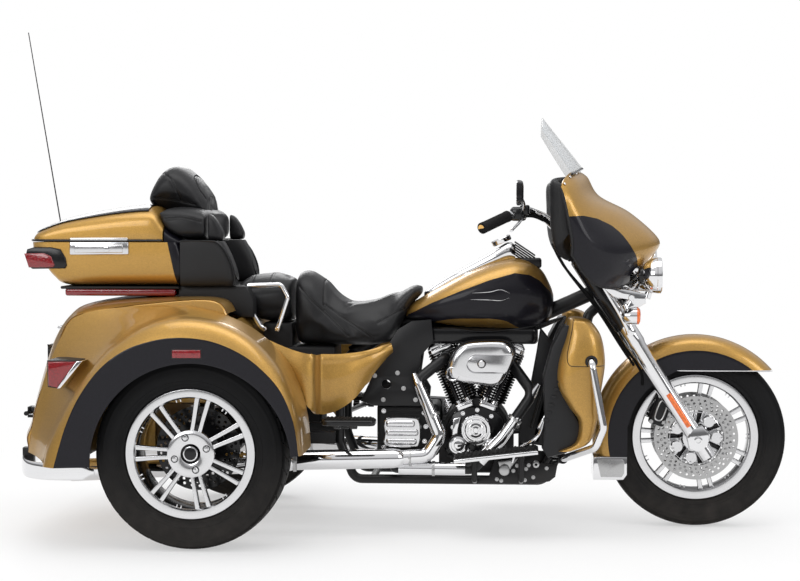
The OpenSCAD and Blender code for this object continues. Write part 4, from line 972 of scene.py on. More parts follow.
def tub_form(shift=0.0):
    """Rear body: one profile at each lateral place.

    The back bows out by 70 mm in the middle, as 1 - u squared, and every edge rounds in by 26 mm
    near the sides, as u to the sixth power, where u is the lateral place over the half width.
    Ahead of the axle's arms the floor steps up to 460 mm.
    """
    u = np.array([-1.0, -0.995, -0.985, -0.97, -0.93, -0.85, -0.72, -0.6, -0.45, -0.3, -0.15, 0.0])
    u = np.concatenate([u, -u[-2::-1]])
    bow, soft = -70 * (1 - u**2), 26 * u**6
    rows = np.array([
        [150 - soft, 150 - soft, 150 - soft, 146 - soft, 96 + 0 * u, 40 + 0 * u, -180 + 0 * u,
         -380 + bow / 2, -446 + bow * 0.8, -500 + bow + soft / 2, -552 + bow, -576 + bow,
         -592 + bow, -586 + bow],
        [460 + 0 * u, 520 + 0 * u, 620 + 0 * u, 700 + 0 * u, 752 + 0 * u, 807 + 0 * u,
         808 - soft / 2, 790 - soft, 748 - soft / 2, 650 + 0 * u, 478 + 0 * u, 382 + 0 * u,
         340 + 0 * u, 300 + 0 * u]])
    step = [(-150, 300), (-150, 460)]
    paths = [np.concatenate([step, curve(rows[:, :, i].T)]) for i in range(len(u))]
    rings = np.stack([np.stack([c[:, 0] + shift, np.full(len(c), side * TUB_HALF), c[:, 1]], 1)
                      for side, c in zip(u, paths)])
    edge = 5.0
    first, last = rings[:1].copy(), rings[-1:].copy()
    middle_ = rings[0].mean(0)
    for cap in (first, last):
        cap[..., 0] += np.sign(middle_[0] - cap[..., 0]) * edge
        cap[..., 2] += np.sign(middle_[2] - cap[..., 2]) * edge
    rings[0, :, 1] += edge
    rings[-1, :, 1] -= edge
    return skin(np.concatenate([first, rings, last]))


DOOR_HALF, DOOR_LOW, DOOR_HIGH = 320.0, 400.0, 720.0


class TRIKE_OT_fenders(bpy.types.Operator):
    """Two-tone rear fenders with rolled openings and side reflectors"""
    bl_idname = "trike.fenders"
    bl_label = "Rear fenders"

    def execute(self, context):
        add_piece("rear_fender_shells", both(fender_form()), "two_tone", "chassis", "rear_fenders",
                  angle=40)
        lens = moved(round_box((-46, 0, -13), (46, 7, 13), 6, 4), (3, 693, 647))
        rim = moved(round_box((-50, 0, -17), (50, 4, 17), 3.5), (3, 693, 647))
        add_piece("side_reflector_rims", both(rim), "plastic", "chassis")
        add_piece("side_reflectors", both(lens), "red", "chassis")
        return {"FINISHED"}


class TRIKE_OT_rear_body(bpy.types.Operator):
    """Rear body shell and its trunk door: a bowed profile cut by the door's window"""
    bl_idname = "trike.rear_body"
    bl_label = "Rear body"

    def execute(self, context):
        form = tub_form()
        inside = cut(tub_form(16), block((-900, 110), (-TUB_HALF + 12, TUB_HALF - 12),
                                         (472, 762)), operation="INTERSECT")
        low = cut(tub_form(16), block((-900, -160), (-TUB_HALF + 12, TUB_HALF - 12), (324, 500)),
                  operation="INTERSECT")
        window = block((-900, -260), (-DOOR_HALF, DOOR_HALF), (DOOR_LOW, DOOR_HIGH))
        shell = cut(form, inside, low, window)
        barrels = [turned([(4.2, y - 5), (8, y - 5), (8, y + 5), (4.2, y + 5)],
                          (-646, 0, 402), count=24)
                   for y in (-242, -178, 178, 242)]
        arms = [round_box((-641, y - 5, 388), (-601, y + 5, 398), 1.5, 2)
                for y in (-242, -178, 178, 242)]
        add_piece("rear_body_shell", shell, "gold", "chassis", "trunk_body", angle=32)
        add_piece("door_hinge_barrels", join(*barrels, *arms), "black_metal", "chassis")
        panel = cut(tub_form(), block((-900, -260), (-DOOR_HALF + 5, DOOR_HALF - 5),
                                      (DOOR_LOW + 5, DOOR_HIGH - 5)), operation="INTERSECT")
        panel = cut(panel, tub_form(12))
        add_piece("trunk_door_panel", panel, "gold", "trunk_door", "trunk_door", angle=32,
                  bevel=1.5)
        hinge = []
        for y in (-210, 210):
            hinge.append(turned([(0.5, y - 38), (4, y - 38), (4, y + 38), (0.5, y + 38)],
                                (-646, 0, 402), count=20))
            hinge.append(round_box((-646, y - 20, 398), (-632, y + 20, 424), 2, 2))
            hinge.append(round_box((-641, y - 20, 407), (-609, y + 20, 424), 2, 2))
        lock = [disc(15, -6, 6, (0, 0, 0), "x", 2, 36),
                round_box((-12, -2, -9), (-5, 2, 9), 1, 2)]
        handle = tube(bend([(0, -80, 0), (-26, -72, 0), (-26, 72, 0), (0, 80, 0)], 14), 6, 14)
        add_piece("trunk_door_hinges", join(*hinge), "black_metal", "trunk_door")
        bright = join(moved(handle, (-549, 0, 690)), moved(join(*lock), (-541, 130, 690)))
        add_piece("trunk_door_handle", bright, "chrome", "trunk_door")
        return {"FINISHED"}


class TRIKE_OT_side_panels(bpy.types.Operator):
    """Painted panels between the rear body and the engine: a bowed sheet with a raised top edge"""
    bl_idname = "trike.side_panels"
    bl_label = "Side panels"

    def execute(self, context):
        y0 = TUB_HALF - 21
        rows = [(182, y0, 640, 688), (290, y0, 560, 644), (366, y0 - 4, 440, 624),
                (386, 328, 418, 618), (440, 312, 428, 616), (500, 286, 470, 619),
                (561, 238, 552, 626), (600, 206, 602, 636), (622, 186, 624, 640)]
        r = curve(rows)[:, None]
        t = np.concatenate([np.linspace(0, 0.8, 14), np.linspace(0.84, 1, 8)])[None]
        bulge = 10 * np.sin(np.pi * t) + 5 * np.exp(-((t - 0.93) / 0.05)**2) * (r[..., 1] < 405)
        grid = np.stack([r[..., 0] + 0 * t, r[..., 1] + bulge,
                         r[..., 2] + (r[..., 3] - r[..., 2]) * t], -1)
        add_piece("side_panel_sheets", both(sheet(grid, 10)), "gold", "chassis", "side_panels",
                  angle=50)
        return {"FINISHED"}


class TRIKE_OT_bumper(bpy.types.Operator):
    """Chrome rear bumper: a rounded section carried round the back of the body"""
    bl_idname = "trike.bumper"
    bl_label = "Rear bumper"

    def execute(self, context):
        half = curve([(-330, 570), (-440, 574), (-520, 555), (-590, 480), (-640, 300), (-660, 0)],
                     10)
        path = np.vstack([half * (1, -1), half[-2::-1]])
        step = unit(np.gradient(path, axis=0))
        out = np.stack([-step[:, 1], step[:, 0]], 1)
        out *= np.sign(np.sum(out * path, 1))[:, None]
        a = 2 * np.pi * np.arange(28) / 28
        thick, tall = 7 * power(np.cos(a), 0.8) - 7, 28.5 * power(np.sin(a), 0.55)
        taper = np.clip(np.minimum(np.arange(len(path)), np.arange(len(path))[::-1]) / 4.0, 0.35, 1)
        ring = path[:, None] + out[:, None] * thick[None, :, None]
        z = 246.5 + tall[None] * taper[:, None]
        form = skin(np.concatenate([ring, z[..., None]], 2))
        posts = both(round_box((-628, 330, 238), (-590, 360, 299), 3, 2))
        add_piece("bumper_blade", form, "chrome", "chassis", "rear_bumper")
        add_piece("bumper_posts", posts, "black_metal", "chassis")
        return {"FINISHED"}


def lamp_plate(outline, y_low, y_high, edge):
    """Pair of plates with softer rims, one on each side."""
    return both(plate(outline, y_low, y_high, edge, (), 3))


class TRIKE_OT_rear_lamps(bpy.types.Operator):
    """Tail lamps in chrome bezels; the top box lamps in black housings and the red light bar come
    with the top box
    """
    bl_idname = "trike.rear_lamps"
    bl_label = "Rear lamps"

    def execute(self, context):
        lens = lamp_plate([(-466, 614), (-372, 615), (-436, 529), (-464, 536)], 470, 627, 4)
        trim = lamp_plate([(-370, 617), (-350, 617), (-424, 527), (-436, 527)], 480, 630, 3)
        frame_ = lamp_plate([(-470, 618), (-362, 619), (-428, 525), (-468, 531)], 468, 621, 3)
        add_piece("tail_lamp_lenses", lens, "red", "chassis", "rear_lights", angle=50)
        add_piece("tail_lamp_trims", trim, "chrome", "chassis", angle=50)
        add_piece("tail_lamp_frames", frame_, "plastic", "chassis", angle=50)
        return {"FINISHED"}


# ---------- top box ----------

LID_ROWS = [(-612, 40, 992, 1014, 4), (-598, 14, 974, 1036, 4), (-568, 2, 960, 1053, 4),
            (-500, 0, 950, 1080, 4), (-390, 0, 940, 1104, 4), (-290, 0, 940, 1119, 4),
            (-215, 0, 940, 1125, 4), (-186, 1, 940, 1117, 4), (-162, 3, 946, 1080, 4),
            (-138, 6, 950, 1045, 4), (-96, 22, 960, 1014, 4)]
BASE_ROWS = [(-614, 36, 966, 1026, 4), (-602, 14, 946, 1040, 5), (-572, 3, 914, 1060, 6),
             (-536, 0, 868, 1060, 6), (-490, 0, 846.6, 1060, 6), (-300, 0, 846, 1060, 6),
             (-140, 0, 846, 1060, 6), (-112, 2, 846, 1030, 6), (-96, 8, 850, 990, 5)]


def box_form(rows, inset, wall, grow=0.0):
    """Box shape from rows of x, inset, low z, high z and squareness; a wall makes it smaller."""
    made = [(x, BOX_HALF - narrow - inset - wall + grow, low + wall - grow, high - wall + grow, p)
            for x, narrow, low, high, p in rows]
    return skin(form_rings(made, 6, 96))


def above(z, low, high=200):
    return block((low, high), (-500, 500), (z, 1400))


def below(z):
    return block((-700, 200), (-500, 500), (500, z))


class TRIKE_OT_top_box(bpy.types.Operator):
    """Top box and its lid: rounded forms cut at the joint, with lip, top panel, latch and hinges"""
    bl_idname = "trike.top_box"
    bl_label = "Top box"

    def execute(self, context):
        hollow = cut(box_form(BASE_ROWS, 2, 8), block((-596, -158), (-400, 400), (700, 1200)),
                     operation="INTERSECT")
        base = cut(cut(box_form(BASE_ROWS, 2, 0), below(998), operation="INTERSECT"), hollow)
        cowl = cut(box_form(LID_ROWS, 0, 0), above(997, -150), operation="INTERSECT")
        cowl = cut(cowl, block((-596, -158), (-400, 400), (700, 1200)))
        lid = cut(box_form(LID_ROWS, 0, 0), above(1002, -700, -155), operation="INTERSECT")
        lid_hollow = cut(box_form(LID_ROWS, 0, 8), block((-592, -163), (-400, 400), (900, 1200)),
                         operation="INTERSECT")
        lid = cut(lid, lid_hollow)
        front = -139 + (1002 - base[0][:, 2]) * 0.217
        add_piece("top_box_shell", (base[0], base[1], front - base[0][:, 0]), "two_tone",
                  "chassis", "top_box", angle=32)
        add_piece("top_box_cowl", cowl, "dark", "chassis", angle=32)
        add_piece("top_box_lid_shell", lid, "gold", "box_lid", "top_box_lid", angle=32)
        self.add_trims()
        return {"FINISHED"}

    @staticmethod
    def add_trims():
        lid_rows = curve(LID_ROWS, 6)
        a = np.linspace(0.2 * np.pi, 0.8 * np.pi, 48)
        keep = (lid_rows[:, 0] > -600) & (lid_rows[:, 0] < -206)
        r = lid_rows[keep][:, :, None]
        half = BOX_HALF - r[:, 1] + 1.2
        squash = 2 / r[:, 4]
        grid = np.stack([np.broadcast_to(r[:, 0], (len(r), 48)), half * power(np.cos(a), squash),
                         (r[:, 2] + r[:, 3]) / 2 + ((r[:, 3] - r[:, 2]) / 2 + 1.4)
                         * power(np.sin(a), squash)], -1)
        add_piece("top_box_lid_panel", sheet(grid, 3), "dark", "box_lid", angle=40)
        base_rows = curve(BASE_ROWS, 6)
        x = np.concatenate([[-616, -612, -604], np.arange(-590, -160, 14), [-156]])
        inset = np.interp(x, base_rows[:, 0], base_rows[:, 1])
        line = np.stack([x, BOX_HALF - inset + 1.5, 1004.5 + 0 * x], 1)
        rear = np.stack([np.full(11, -616.5), np.linspace(-250, 250, 11)[::-1],
                         np.full(11, 1004.5)], 1)
        path = eased(np.vstack([line[::-1], rear, line * (1, -1, 1)]))
        add_piece("top_box_lip", tube(path, 5.5, 14, 0.75, up=(0, 0, 1)), "gloss_black", "box_lid")
        latch = round_box((-476, 0, 955), (-271, 9, 1000), 4)
        lever = round_box((-458, 8, 962), (-290, 15, 990), 5, 4)
        lip = round_box((-474, 2, 1003), (-273, 11, 1014), 3)
        lock = disc(11, 14, 18, (-344, 0, 976), count=32)
        slot_ = round_box((-351, 17, 974.6), (-337, 19.5, 977.4), 0.8, 2)
        y = BOX_HALF - 4
        add_piece("top_box_latch", moved(mirrored(join(latch, lever, lock)), (0, -y, 0)), "alloy",
                  "chassis")
        add_piece("top_box_latch_lip", moved(mirrored(lip), (0, -y, 0)), "alloy", "box_lid")
        add_piece("top_box_keyhole", moved(mirrored(slot_), (0, -y, 0)), "gloss_black", "chassis")
        over = box_form(BASE_ROWS, 2, 0, 0.3)
        housing = cut(lamp_plate([(-628, 960), (-624, 974), (-600, 981), (-540, 981), (-508, 974),
                                  (-490, 944), (-486, 918), (-492, 908), (-606, 906),
                                  (-618, 914)], 196, BOX_HALF + 5, 5), over)
        lens = cut(lamp_plate([(-634, 960), (-564, 961), (-540, 950), (-527, 918), (-532, 912),
                               (-618, 911)], 200, BOX_HALF + 8, 4), over)
        add_piece("box_lamp_housings", housing, "gloss_black", "chassis", angle=50)
        add_piece("box_lamp_lenses", lens, "red", "chassis", angle=50)
        bar = cut(round_box((-506, -246, 812), (-120, 246, 838), 8, 4),
                  block((-450, -152), (-130, 130), (700, 900)))
        tray = cut(round_box((-520, -252, 836), (-104, 252, 846), 4),
                   block((-450, -152), (-130, 130), (700, 900)))
        add_piece("box_light_bar", bar, "red", "chassis", angle=40)
        add_piece("box_light_tray", tray, "plastic", "chassis", angle=40)
        mount = round_box((-420, -60, 808.3), (-180, 60, 850), 6)
        hinges = []
        for x in (-470, -250):
            for side in (-1, 1):
                hinges.append(turned([(4.2, -5), (8, -5), (8, 5), (4.2, 5)],
                                     (x + side * 32, 305, 1002), "x", 24))
                hinges.append(round_box((x + side * 32 - 5, 286, 970),
                                        (x + side * 32 + 5, 307, 995), 2, 2))
        add_piece("box_mount_and_hinges", join(mount, *hinges), "black_metal", "chassis")
        pins = [turned([(0.5, -38), (4, -38), (4, 38), (0.5, 38)], (x, 305, 1002), "x", 20)
                for x in (-470, -250)]
        pins += [round_box((x - 20, 285, 1002), (x + 20, 305, 1006), 1, 2) for x in (-470, -250)]
        add_piece("lid_hinge_leaves", join(*pins), "black_metal", "box_lid")


def eased(path):
    """Open path with its corners rounded by averaging neighbouring points."""
    fine = evenly(path, 160)
    for _ in range(4):
        fine[1:-1] = (fine[:-2] + fine[1:-1] * 2 + fine[2:]) / 4
    return fine


# ---------- padded pieces ----------


def mesh_arrays(mesh):
    """Points in millimetres from the rear axle, and faces, of a mesh."""
    co = np.zeros(len(mesh.vertices) * 3)
    mesh.vertices.foreach_get("co", co)
    co = co.reshape(-1, 3) / MM
    co[:, 0] -= AXLE_X / MM
    return co, [list(p.vertices) for p in mesh.polygons]


def evaluated(piece):
    graph = bpy.context.evaluated_depsgraph_get()
    return bpy.data.meshes.new_from_object(piece.evaluated_get(graph))


def swollen(form, voxel, reach, hold):
    """Voxel remesh, then a short pressure simulation; hold is 0 where a point may not move."""
    piece = add_piece("pad_work", form, "leather", "chassis", merge=0.01)
    net = piece.modifiers.new("net", "REMESH")
    net.mode, net.voxel_size = "VOXEL", voxel * MM
    mesh = evaluated(piece)
    piece.modifiers.clear()
    piece.data = mesh
    before, faces = mesh_arrays(mesh)
    after = before
    cloth = piece.modifiers.new("cloth", "CLOTH")
    cloth.settings.quality = 4
    cloth.settings.use_pressure = True
    cloth.settings.uniform_pressure_force = 4.0
    cloth.settings.effector_weights.gravity = 0.0
    cloth.point_cache.frame_start, cloth.point_cache.frame_end = 1, 20
    for step in range(1, 21):
        bpy.context.scene.frame_set(step)
    after = mesh_arrays(evaluated(piece))[0]
    bpy.context.scene.frame_set(1)
    bpy.data.objects.remove(piece)
    move = after - before
    size = np.linalg.norm(move, axis=1, keepdims=True)
    move *= np.minimum(1, reach / np.maximum(size, 1e-6)) * hold(before)[:, None]
    return shape(before + move, faces)


def fine_pad(form):
    """The pad after one smooth subdivision, with its points' normals."""
    piece = add_piece("pad_work", form, "leather", "chassis", merge=0)
    soft = piece.modifiers.new("soft", "SMOOTH")
    soft.iterations, soft.factor = 6, 0.5
    fine = piece.modifiers.new("fine", "SUBSURF")
    fine.levels = fine.render_levels = 1
    mesh = evaluated(piece)
    points, faces = mesh_arrays(mesh)
    normals = np.zeros(len(mesh.vertices) * 3)
    mesh.vertices.foreach_get("normal", normals)
    bpy.data.objects.remove(piece)
    return points, faces, normals.reshape(-1, 3), mesh


def traced(mesh, starts, aim):
    """Where rays from the starts along aim meet the mesh, in millimetres, with the normals."""
    tree = BVHTree.FromPolygons([v.co.copy() for v in mesh.vertices],
                                [tuple(p.vertices) for p in mesh.polygons])
    spots, normals = [], []
    for start in starts:
        place = Vector(((start[0] * MM + AXLE_X), start[1] * MM, start[2] * MM))
        spot, normal, _, _ = tree.ray_cast(place, Vector(aim))
        if spot is not None:
            spots.append(((spot[0] - AXLE_X) / MM, spot[1] / MM, spot[2] / MM))
            normals.append(tuple(normal))
    return np.array(spots), np.array(normals)


def groove(points, normals, line, depth, width):
    """Sewn channel: each point sinks along its normal by depth times a bell of its distance."""
    near = np.full(len(points), 1e9)
    for some in np.array_split(line, max(1, len(line) // 40)):
        gap = ((points[:, None] - some[None])**2).sum(-1).min(1)
        near = np.minimum(near, gap)
    return points - normals * (depth * np.exp(-near / width**2))[:, None]


def stitches(line, normals, offset, pitch):
    """Row of short threads beside a seam: small capsules along the line, shifted sideways."""
    radius, reach = 0.55, 3.2
    run = np.concatenate([[0], np.cumsum(np.linalg.norm(np.diff(line, axis=0), axis=1))])
    at = np.arange(pitch, run[-1] - pitch, pitch)
    spot = np.stack([np.interp(at, run, line[:, i]) for i in range(3)], 1)
    up = unit(np.stack([np.interp(at, run, normals[:, i]) for i in range(3)], 1))
    ahead = unit(np.gradient(spot, axis=0))
    side = unit(np.cross(ahead, up))
    spot = spot + side * offset + up * 0.15
    t = np.array([-1, -0.8, 0.8, 1.0])
    r = np.array([0.35, 1, 1, 0.35]) * radius
    a = 2 * np.pi * np.arange(6) / 6
    ring = (spot[:, None, None] + ahead[:, None, None] * (t * reach / 2)[None, :, None, None]
            + r[None, :, None, None] * (side[:, None, None] * np.cos(a)[:, None]
                                        + up[:, None, None] * np.sin(a)[:, None]))
    return join(*[skin(one) for one in ring])


def padded_piece(name, form, body, replaces, seams, hold, voxel=6.0, reach=24.0,
                 floor=None):
    """Upholstered piece: swollen form, sewn channels and a row of stitches on each side of them."""
    pitch = bpy.context.scene.trike_sizes.seam_pitch
    points, faces, normals, mesh = fine_pad(swollen(form, voxel, reach, hold))
    threads = []
    for starts, aim in seams:
        line, up = traced(mesh, evenly(curve(starts), 90), aim)
        if len(line) < 8:
            raise RuntimeError(f"a seam on {name} misses it")
        points = groove(points, normals, line, 3.2, 4.2)
        for side in (-1, 1):
            threads.append(stitches(line, up, side * 4.6, pitch))
    if floor is not None:
        points[:, 2] = np.maximum(points[:, 2], floor)
    piece = add_piece(name, shape(points, faces), "leather", body, replaces, angle=180, merge=0)
    if threads:
        add_piece(name + "_stitching", join(*threads), "thread", body, angle=180, merge=0)


def soft_step(value, low, high):
    t = np.clip((value - low) / (high - low), 0, 1)
    return t * t * (3 - 2 * t)


TANK_ROWS = [(664, 60, 728, 768, 2.2), (700, 105, 718, 790, 2.4), (790, 150, 706, 842, 2.6),
             (900, 170, 694, 899, 2.7), (1010, 174, 688, 936, 2.7), (1080, 166, 688, 936, 2.6),
             (1140, 138, 698, 900, 2.4), (1172, 96, 724, 846, 2.2), (1184, 50, 750, 812, 2)]


def tank_shape(grow=0.0, count=96, steps=8):
    rows = [(x, half + grow, low - grow, high + grow, p) for x, half, low, high, p in TANK_ROWS]
    return skin(form_rings(rows, steps, count))


class TRIKE_OT_seats(bpy.types.Operator):
    """Rider and passenger seats: swollen leather forms with sewn channels along their sides"""
    bl_idname = "trike.seats"
    bl_label = "Seats"

    def execute(self, context):
        w = 186
        rider = skin(form_rings([
            (281, w - 66, 646, 872, 2.6), (302, w - 34, 634, 893, 2.6),
            (340, w - 20, 634, 888, 2.5), (372, w - 14, 634, 850, 2.5), (408, w - 8, 634, 796, 2.7),
            (466, w - 6, 634, 762, 2.9), (548, w - 12, 634, 766, 2.9),
            (610, w - 34, 650, 790, 2.7), (650, w - 60, 712, 820, 2.5),
            (690, w - 96, 784, 844, 2.3), (720, w - 140, 818, 842, 2)], 5, 64))
        tunnel = plate([(440, 500), (760, 500), (760, 752), (640, 744), (440, 620)], -31, 31, 1)
        rider = cut(rider, tank_shape(5, 48, 4), tunnel)
        hold = lambda p: (soft_step(p[:, 2], 634, 668) * (1 - 0.85 * soft_step(p[:, 0], 600, 660))
                          * soft_step(p[:, 0], 284, 306))
        seams = []
        for side in (-1, 1):
            seams.append(([(296, side * 300, 842), (350, side * 300, 786), (420, side * 300, 722),
                           (470, side * 300, 672)], (0, -side, 0)))
            seams.append(([(388, side * 300, 780), (440, side * 300, 742), (520, side * 300, 690),
                           (556, side * 300, 664)], (0, -side, 0)))
            seams.append(([(574, side * 300, 716), (622, side * 300, 744), (664, side * 300, 764)],
                          (0, -side, 0)))
        seams.append(([(386, -150, 1000), (380, -60, 1000), (380, 60, 1000), (386, 150, 1000)],
                      (0, 0, -1)))
        padded_piece("rider_seat_pad", rider, "chassis", "rider_seat", seams, hold,
                     floor=632.3)
        h = 172
        back = skin(form_rings([
            (66, h - 58, 822, 846, 2.4), (92, h - 20, 792, 860, 2.6), (128, h - 8, 748, 866, 2.6),
            (160, h - 4, 720, 870, 2.8), (232, h - 4, 718, 876, 2.8), (256, h - 12, 720, 872, 2.6),
            (266, h - 34, 734, 862, 2.6)], 5, 64))
        back = cut(back, block((90, 300), (-300, 300), (560, 717)))
        hold = lambda p: soft_step(p[:, 2], 718, 750) * (1 - soft_step(p[:, 0], 252, 264))
        seams = [([(96, side * 300, 838), (150, side * 300, 842), (250, side * 300, 838)],
                  (0, -side, 0)) for side in (-1, 1)]
        seams += [([(x, -140, 1000), (x, 0, 1000), (x, 140, 1000)], (0, 0, -1))
                  for x in (128, 196)]
        padded_piece("passenger_seat_pad", back, "chassis", "pillion_seat", seams, hold, reach=14,
                     floor=715.3)
        return {"FINISHED"}


class TRIKE_OT_backrest(bpy.types.Operator):
    """Passenger's backrest with its wrap-round wings, and the armrests in front of them"""
    bl_idname = "trike.backrest"
    bl_label = "Backrest and armrests"

    def execute(self, context):
        lid = skin(form_rings([(x, BOX_HALF - n + (-10 if x > -170 else 0), low + 3,
                                high + (10 if x > -200 else 3), p)
                               for x, n, low, high, p in LID_ROWS], 3, 48))
        pad = skin(form_rings([
            (-234, 124, 1122, 1160, 2.3), (-220, 150, 1116, 1194, 2.4),
            (-196, 162, 1114, 1240, 2.5),
            (-162, 166, 1108, 1266, 2.5), (-124, 162, 1102, 1256, 2.5), (-84, 154, 1094, 1216, 2.5),
            (-50, 146, 1092, 1160, 2.4), (-30, 130, 1094, 1118, 2.3)], 5, 64))
        hold = lambda p: soft_step(p[:, 2], 1096, 1130)
        seams = []
        for side in (-1, 1):
            seams.append(([(-186, side * 300, 1240), (-150, side * 300, 1216),
                           (-128, side * 300, 1170), (-118, side * 300, 1140)], (0, -side, 0)))
            seams.append(([(-222, side * 300, 1150), (-176, side * 300, 1148),
                           (-120, side * 300, 1138), (-70, side * 300, 1128)], (0, -side, 0)))
        seams.append(([(100, -96, 1150), (100, -100, 1190), (100, -60, 1222), (100, 0, 1232),
                       (100, 60, 1222), (100, 100, 1190), (100, 96, 1150)], (-1, 0, 0)))
        padded_piece("backrest_pad", cut(pad, lid), "box_lid", "backrest", seams, hold, reach=14)
        wings = skin(form_rings([(-196, 258, 1072, 1108, 3.6), (-150, 272, 1024, 1112, 4),
                                 (-106, 277, 1006, 1112, 4.6), (-60, 277, 1004, 1108, 4.6),
                                 (-13, 268, 1004, 1098, 4.2)], 5, 72))
        seams = [([(-150, side * 400, 1078), (-90, side * 400, 1082), (-26, side * 400, 1068)],
                  (0, -side, 0)) for side in (-1, 1)]
        hold = lambda p: soft_step(p[:, 2], 1010, 1034) * (1 - soft_step(p[:, 0], -26, -13))
        padded_piece("backrest_wings", cut(wings, lid), "box_lid", (), seams, hold, reach=9)
        for side, name in ((LEFT, "left"), (RIGHT, "right")):
            rest = skin(form_rings([(-4, 30, 1003, 1096, 3.6), (12, 32, 1003, 1088, 3.6),
                                    (32, 30, 1003, 1062, 3.2), (48, 22, 1004, 1030, 2.8)], 4, 44))
            rest = moved(rest, (0, side * 228, 0))
            hold = lambda p: soft_step(p[:, 2], 1003, 1020) * soft_step(p[:, 0], -4, 6)
            padded_piece("armrest_pad_" + name, rest, "chassis",
                         "armrests" if side == LEFT else (), [], hold, voxel=4.0, reach=6,
                         floor=1001.4)
        return {"FINISHED"}


class TRIKE_OT_pods(bpy.types.Operator):
    """Speaker pods beside the passenger, with rims, grilles and the battery cover below the seat"""
    bl_idname = "trike.pods"
    bl_label = "Speaker pods"

    def execute(self, context):
        rows = [(-95.5, 52, 846, 1030, 5), (-40, 54, 846, 1030, 5), (30, 52, 846, 1020, 4),
                (70, 50, 846, 960, 3.6), (90, 44, 850, 900, 3)]
        pod = moved(skin(form_rings(rows, 8, 96)), (0, 232, 0))
        pod = cut(pod, block((-200, 300), (100, 400), (1001, 1200)))
        add_piece("speaker_pod_shells", both(pod), "plastic", "chassis", "speaker_pods", angle=40)
        line = curve([(-96, 1002), (0, 1002), (34, 996), (62, 966), (84, 920), (92, 880),
                      (88, 852)])
        path = np.stack([line[:, 0] + 0.4, np.full(len(line), 282.0), line[:, 1]], 1)
        carrier = plate([(-112, 847), (-112, 800), (40, 764), (110, 738), (150, 738), (150, 800),
                         (124, 847)], -236, 236, 10)
        add_piece("box_carrier", carrier, "plastic", "chassis", angle=40)
        add_piece("speaker_pod_rims", both(tube(path, 3.2, 10)), "gloss_black", "chassis")
        cone = [turned([(0.5, 0), (34, 0), (40, 2.5), (40, 6), (36, 6), (30, 2), (0.5, 2)],
                       axis="x", count=56)]
        for radius in (7, 14, 21, 28):
            cone.append(turned([(radius - 1, 1.5), (radius + 1, 1.5), (radius + 1, 3.4),
                                (radius - 1, 3.4)], axis="x", count=40))
        grille = moved(join(*cone), (82, 232, 905), about("y", -16))
        add_piece("speaker_grilles", both(grille), "wrinkle", "chassis")
        case = [round_box((166, -115, 430), (420, 115, 631.4), 10, 4),
                round_box((166, -115, 626), (270, 115, 714.4), 8, 4)]
        for z in (470, 510, 550, 590):
            case.append(both(round_box((186, 112, z), (400, 118, z + 16), 4)))
        add_piece("battery_cover", join(*case), "plastic", "chassis", "battery_case")
        return {"FINISHED"}


class TRIKE_OT_grab_rails(bpy.types.Operator):
    """Chrome grab rails bent round the passenger's seat, on two posts to the battery case"""
    bl_idname = "trike.grab_rails"
    bl_label = "Grab rails"

    def execute(self, context):
        y = 195
        path = bend([(186, y, 694), (168, y, 706), (104, y, 812), (120, y, 846), (240, y, 850),
                     (264, y, 806), (226, y, 690)], 16, 8)
        parts = [tube(path, 9, 20)]
        for x in (184, 228):
            parts.append(rod((x, 115.3, 698), (x, y + 6, 698), 6))
            parts.append(moved(bolt(6, 6), (x, y + 6, 698), towards((0, 1, 0))))
        add_piece("grab_rail_tubes", both(join(*parts)), "chrome", "chassis", "grab_rails")
        return {"FINISHED"}


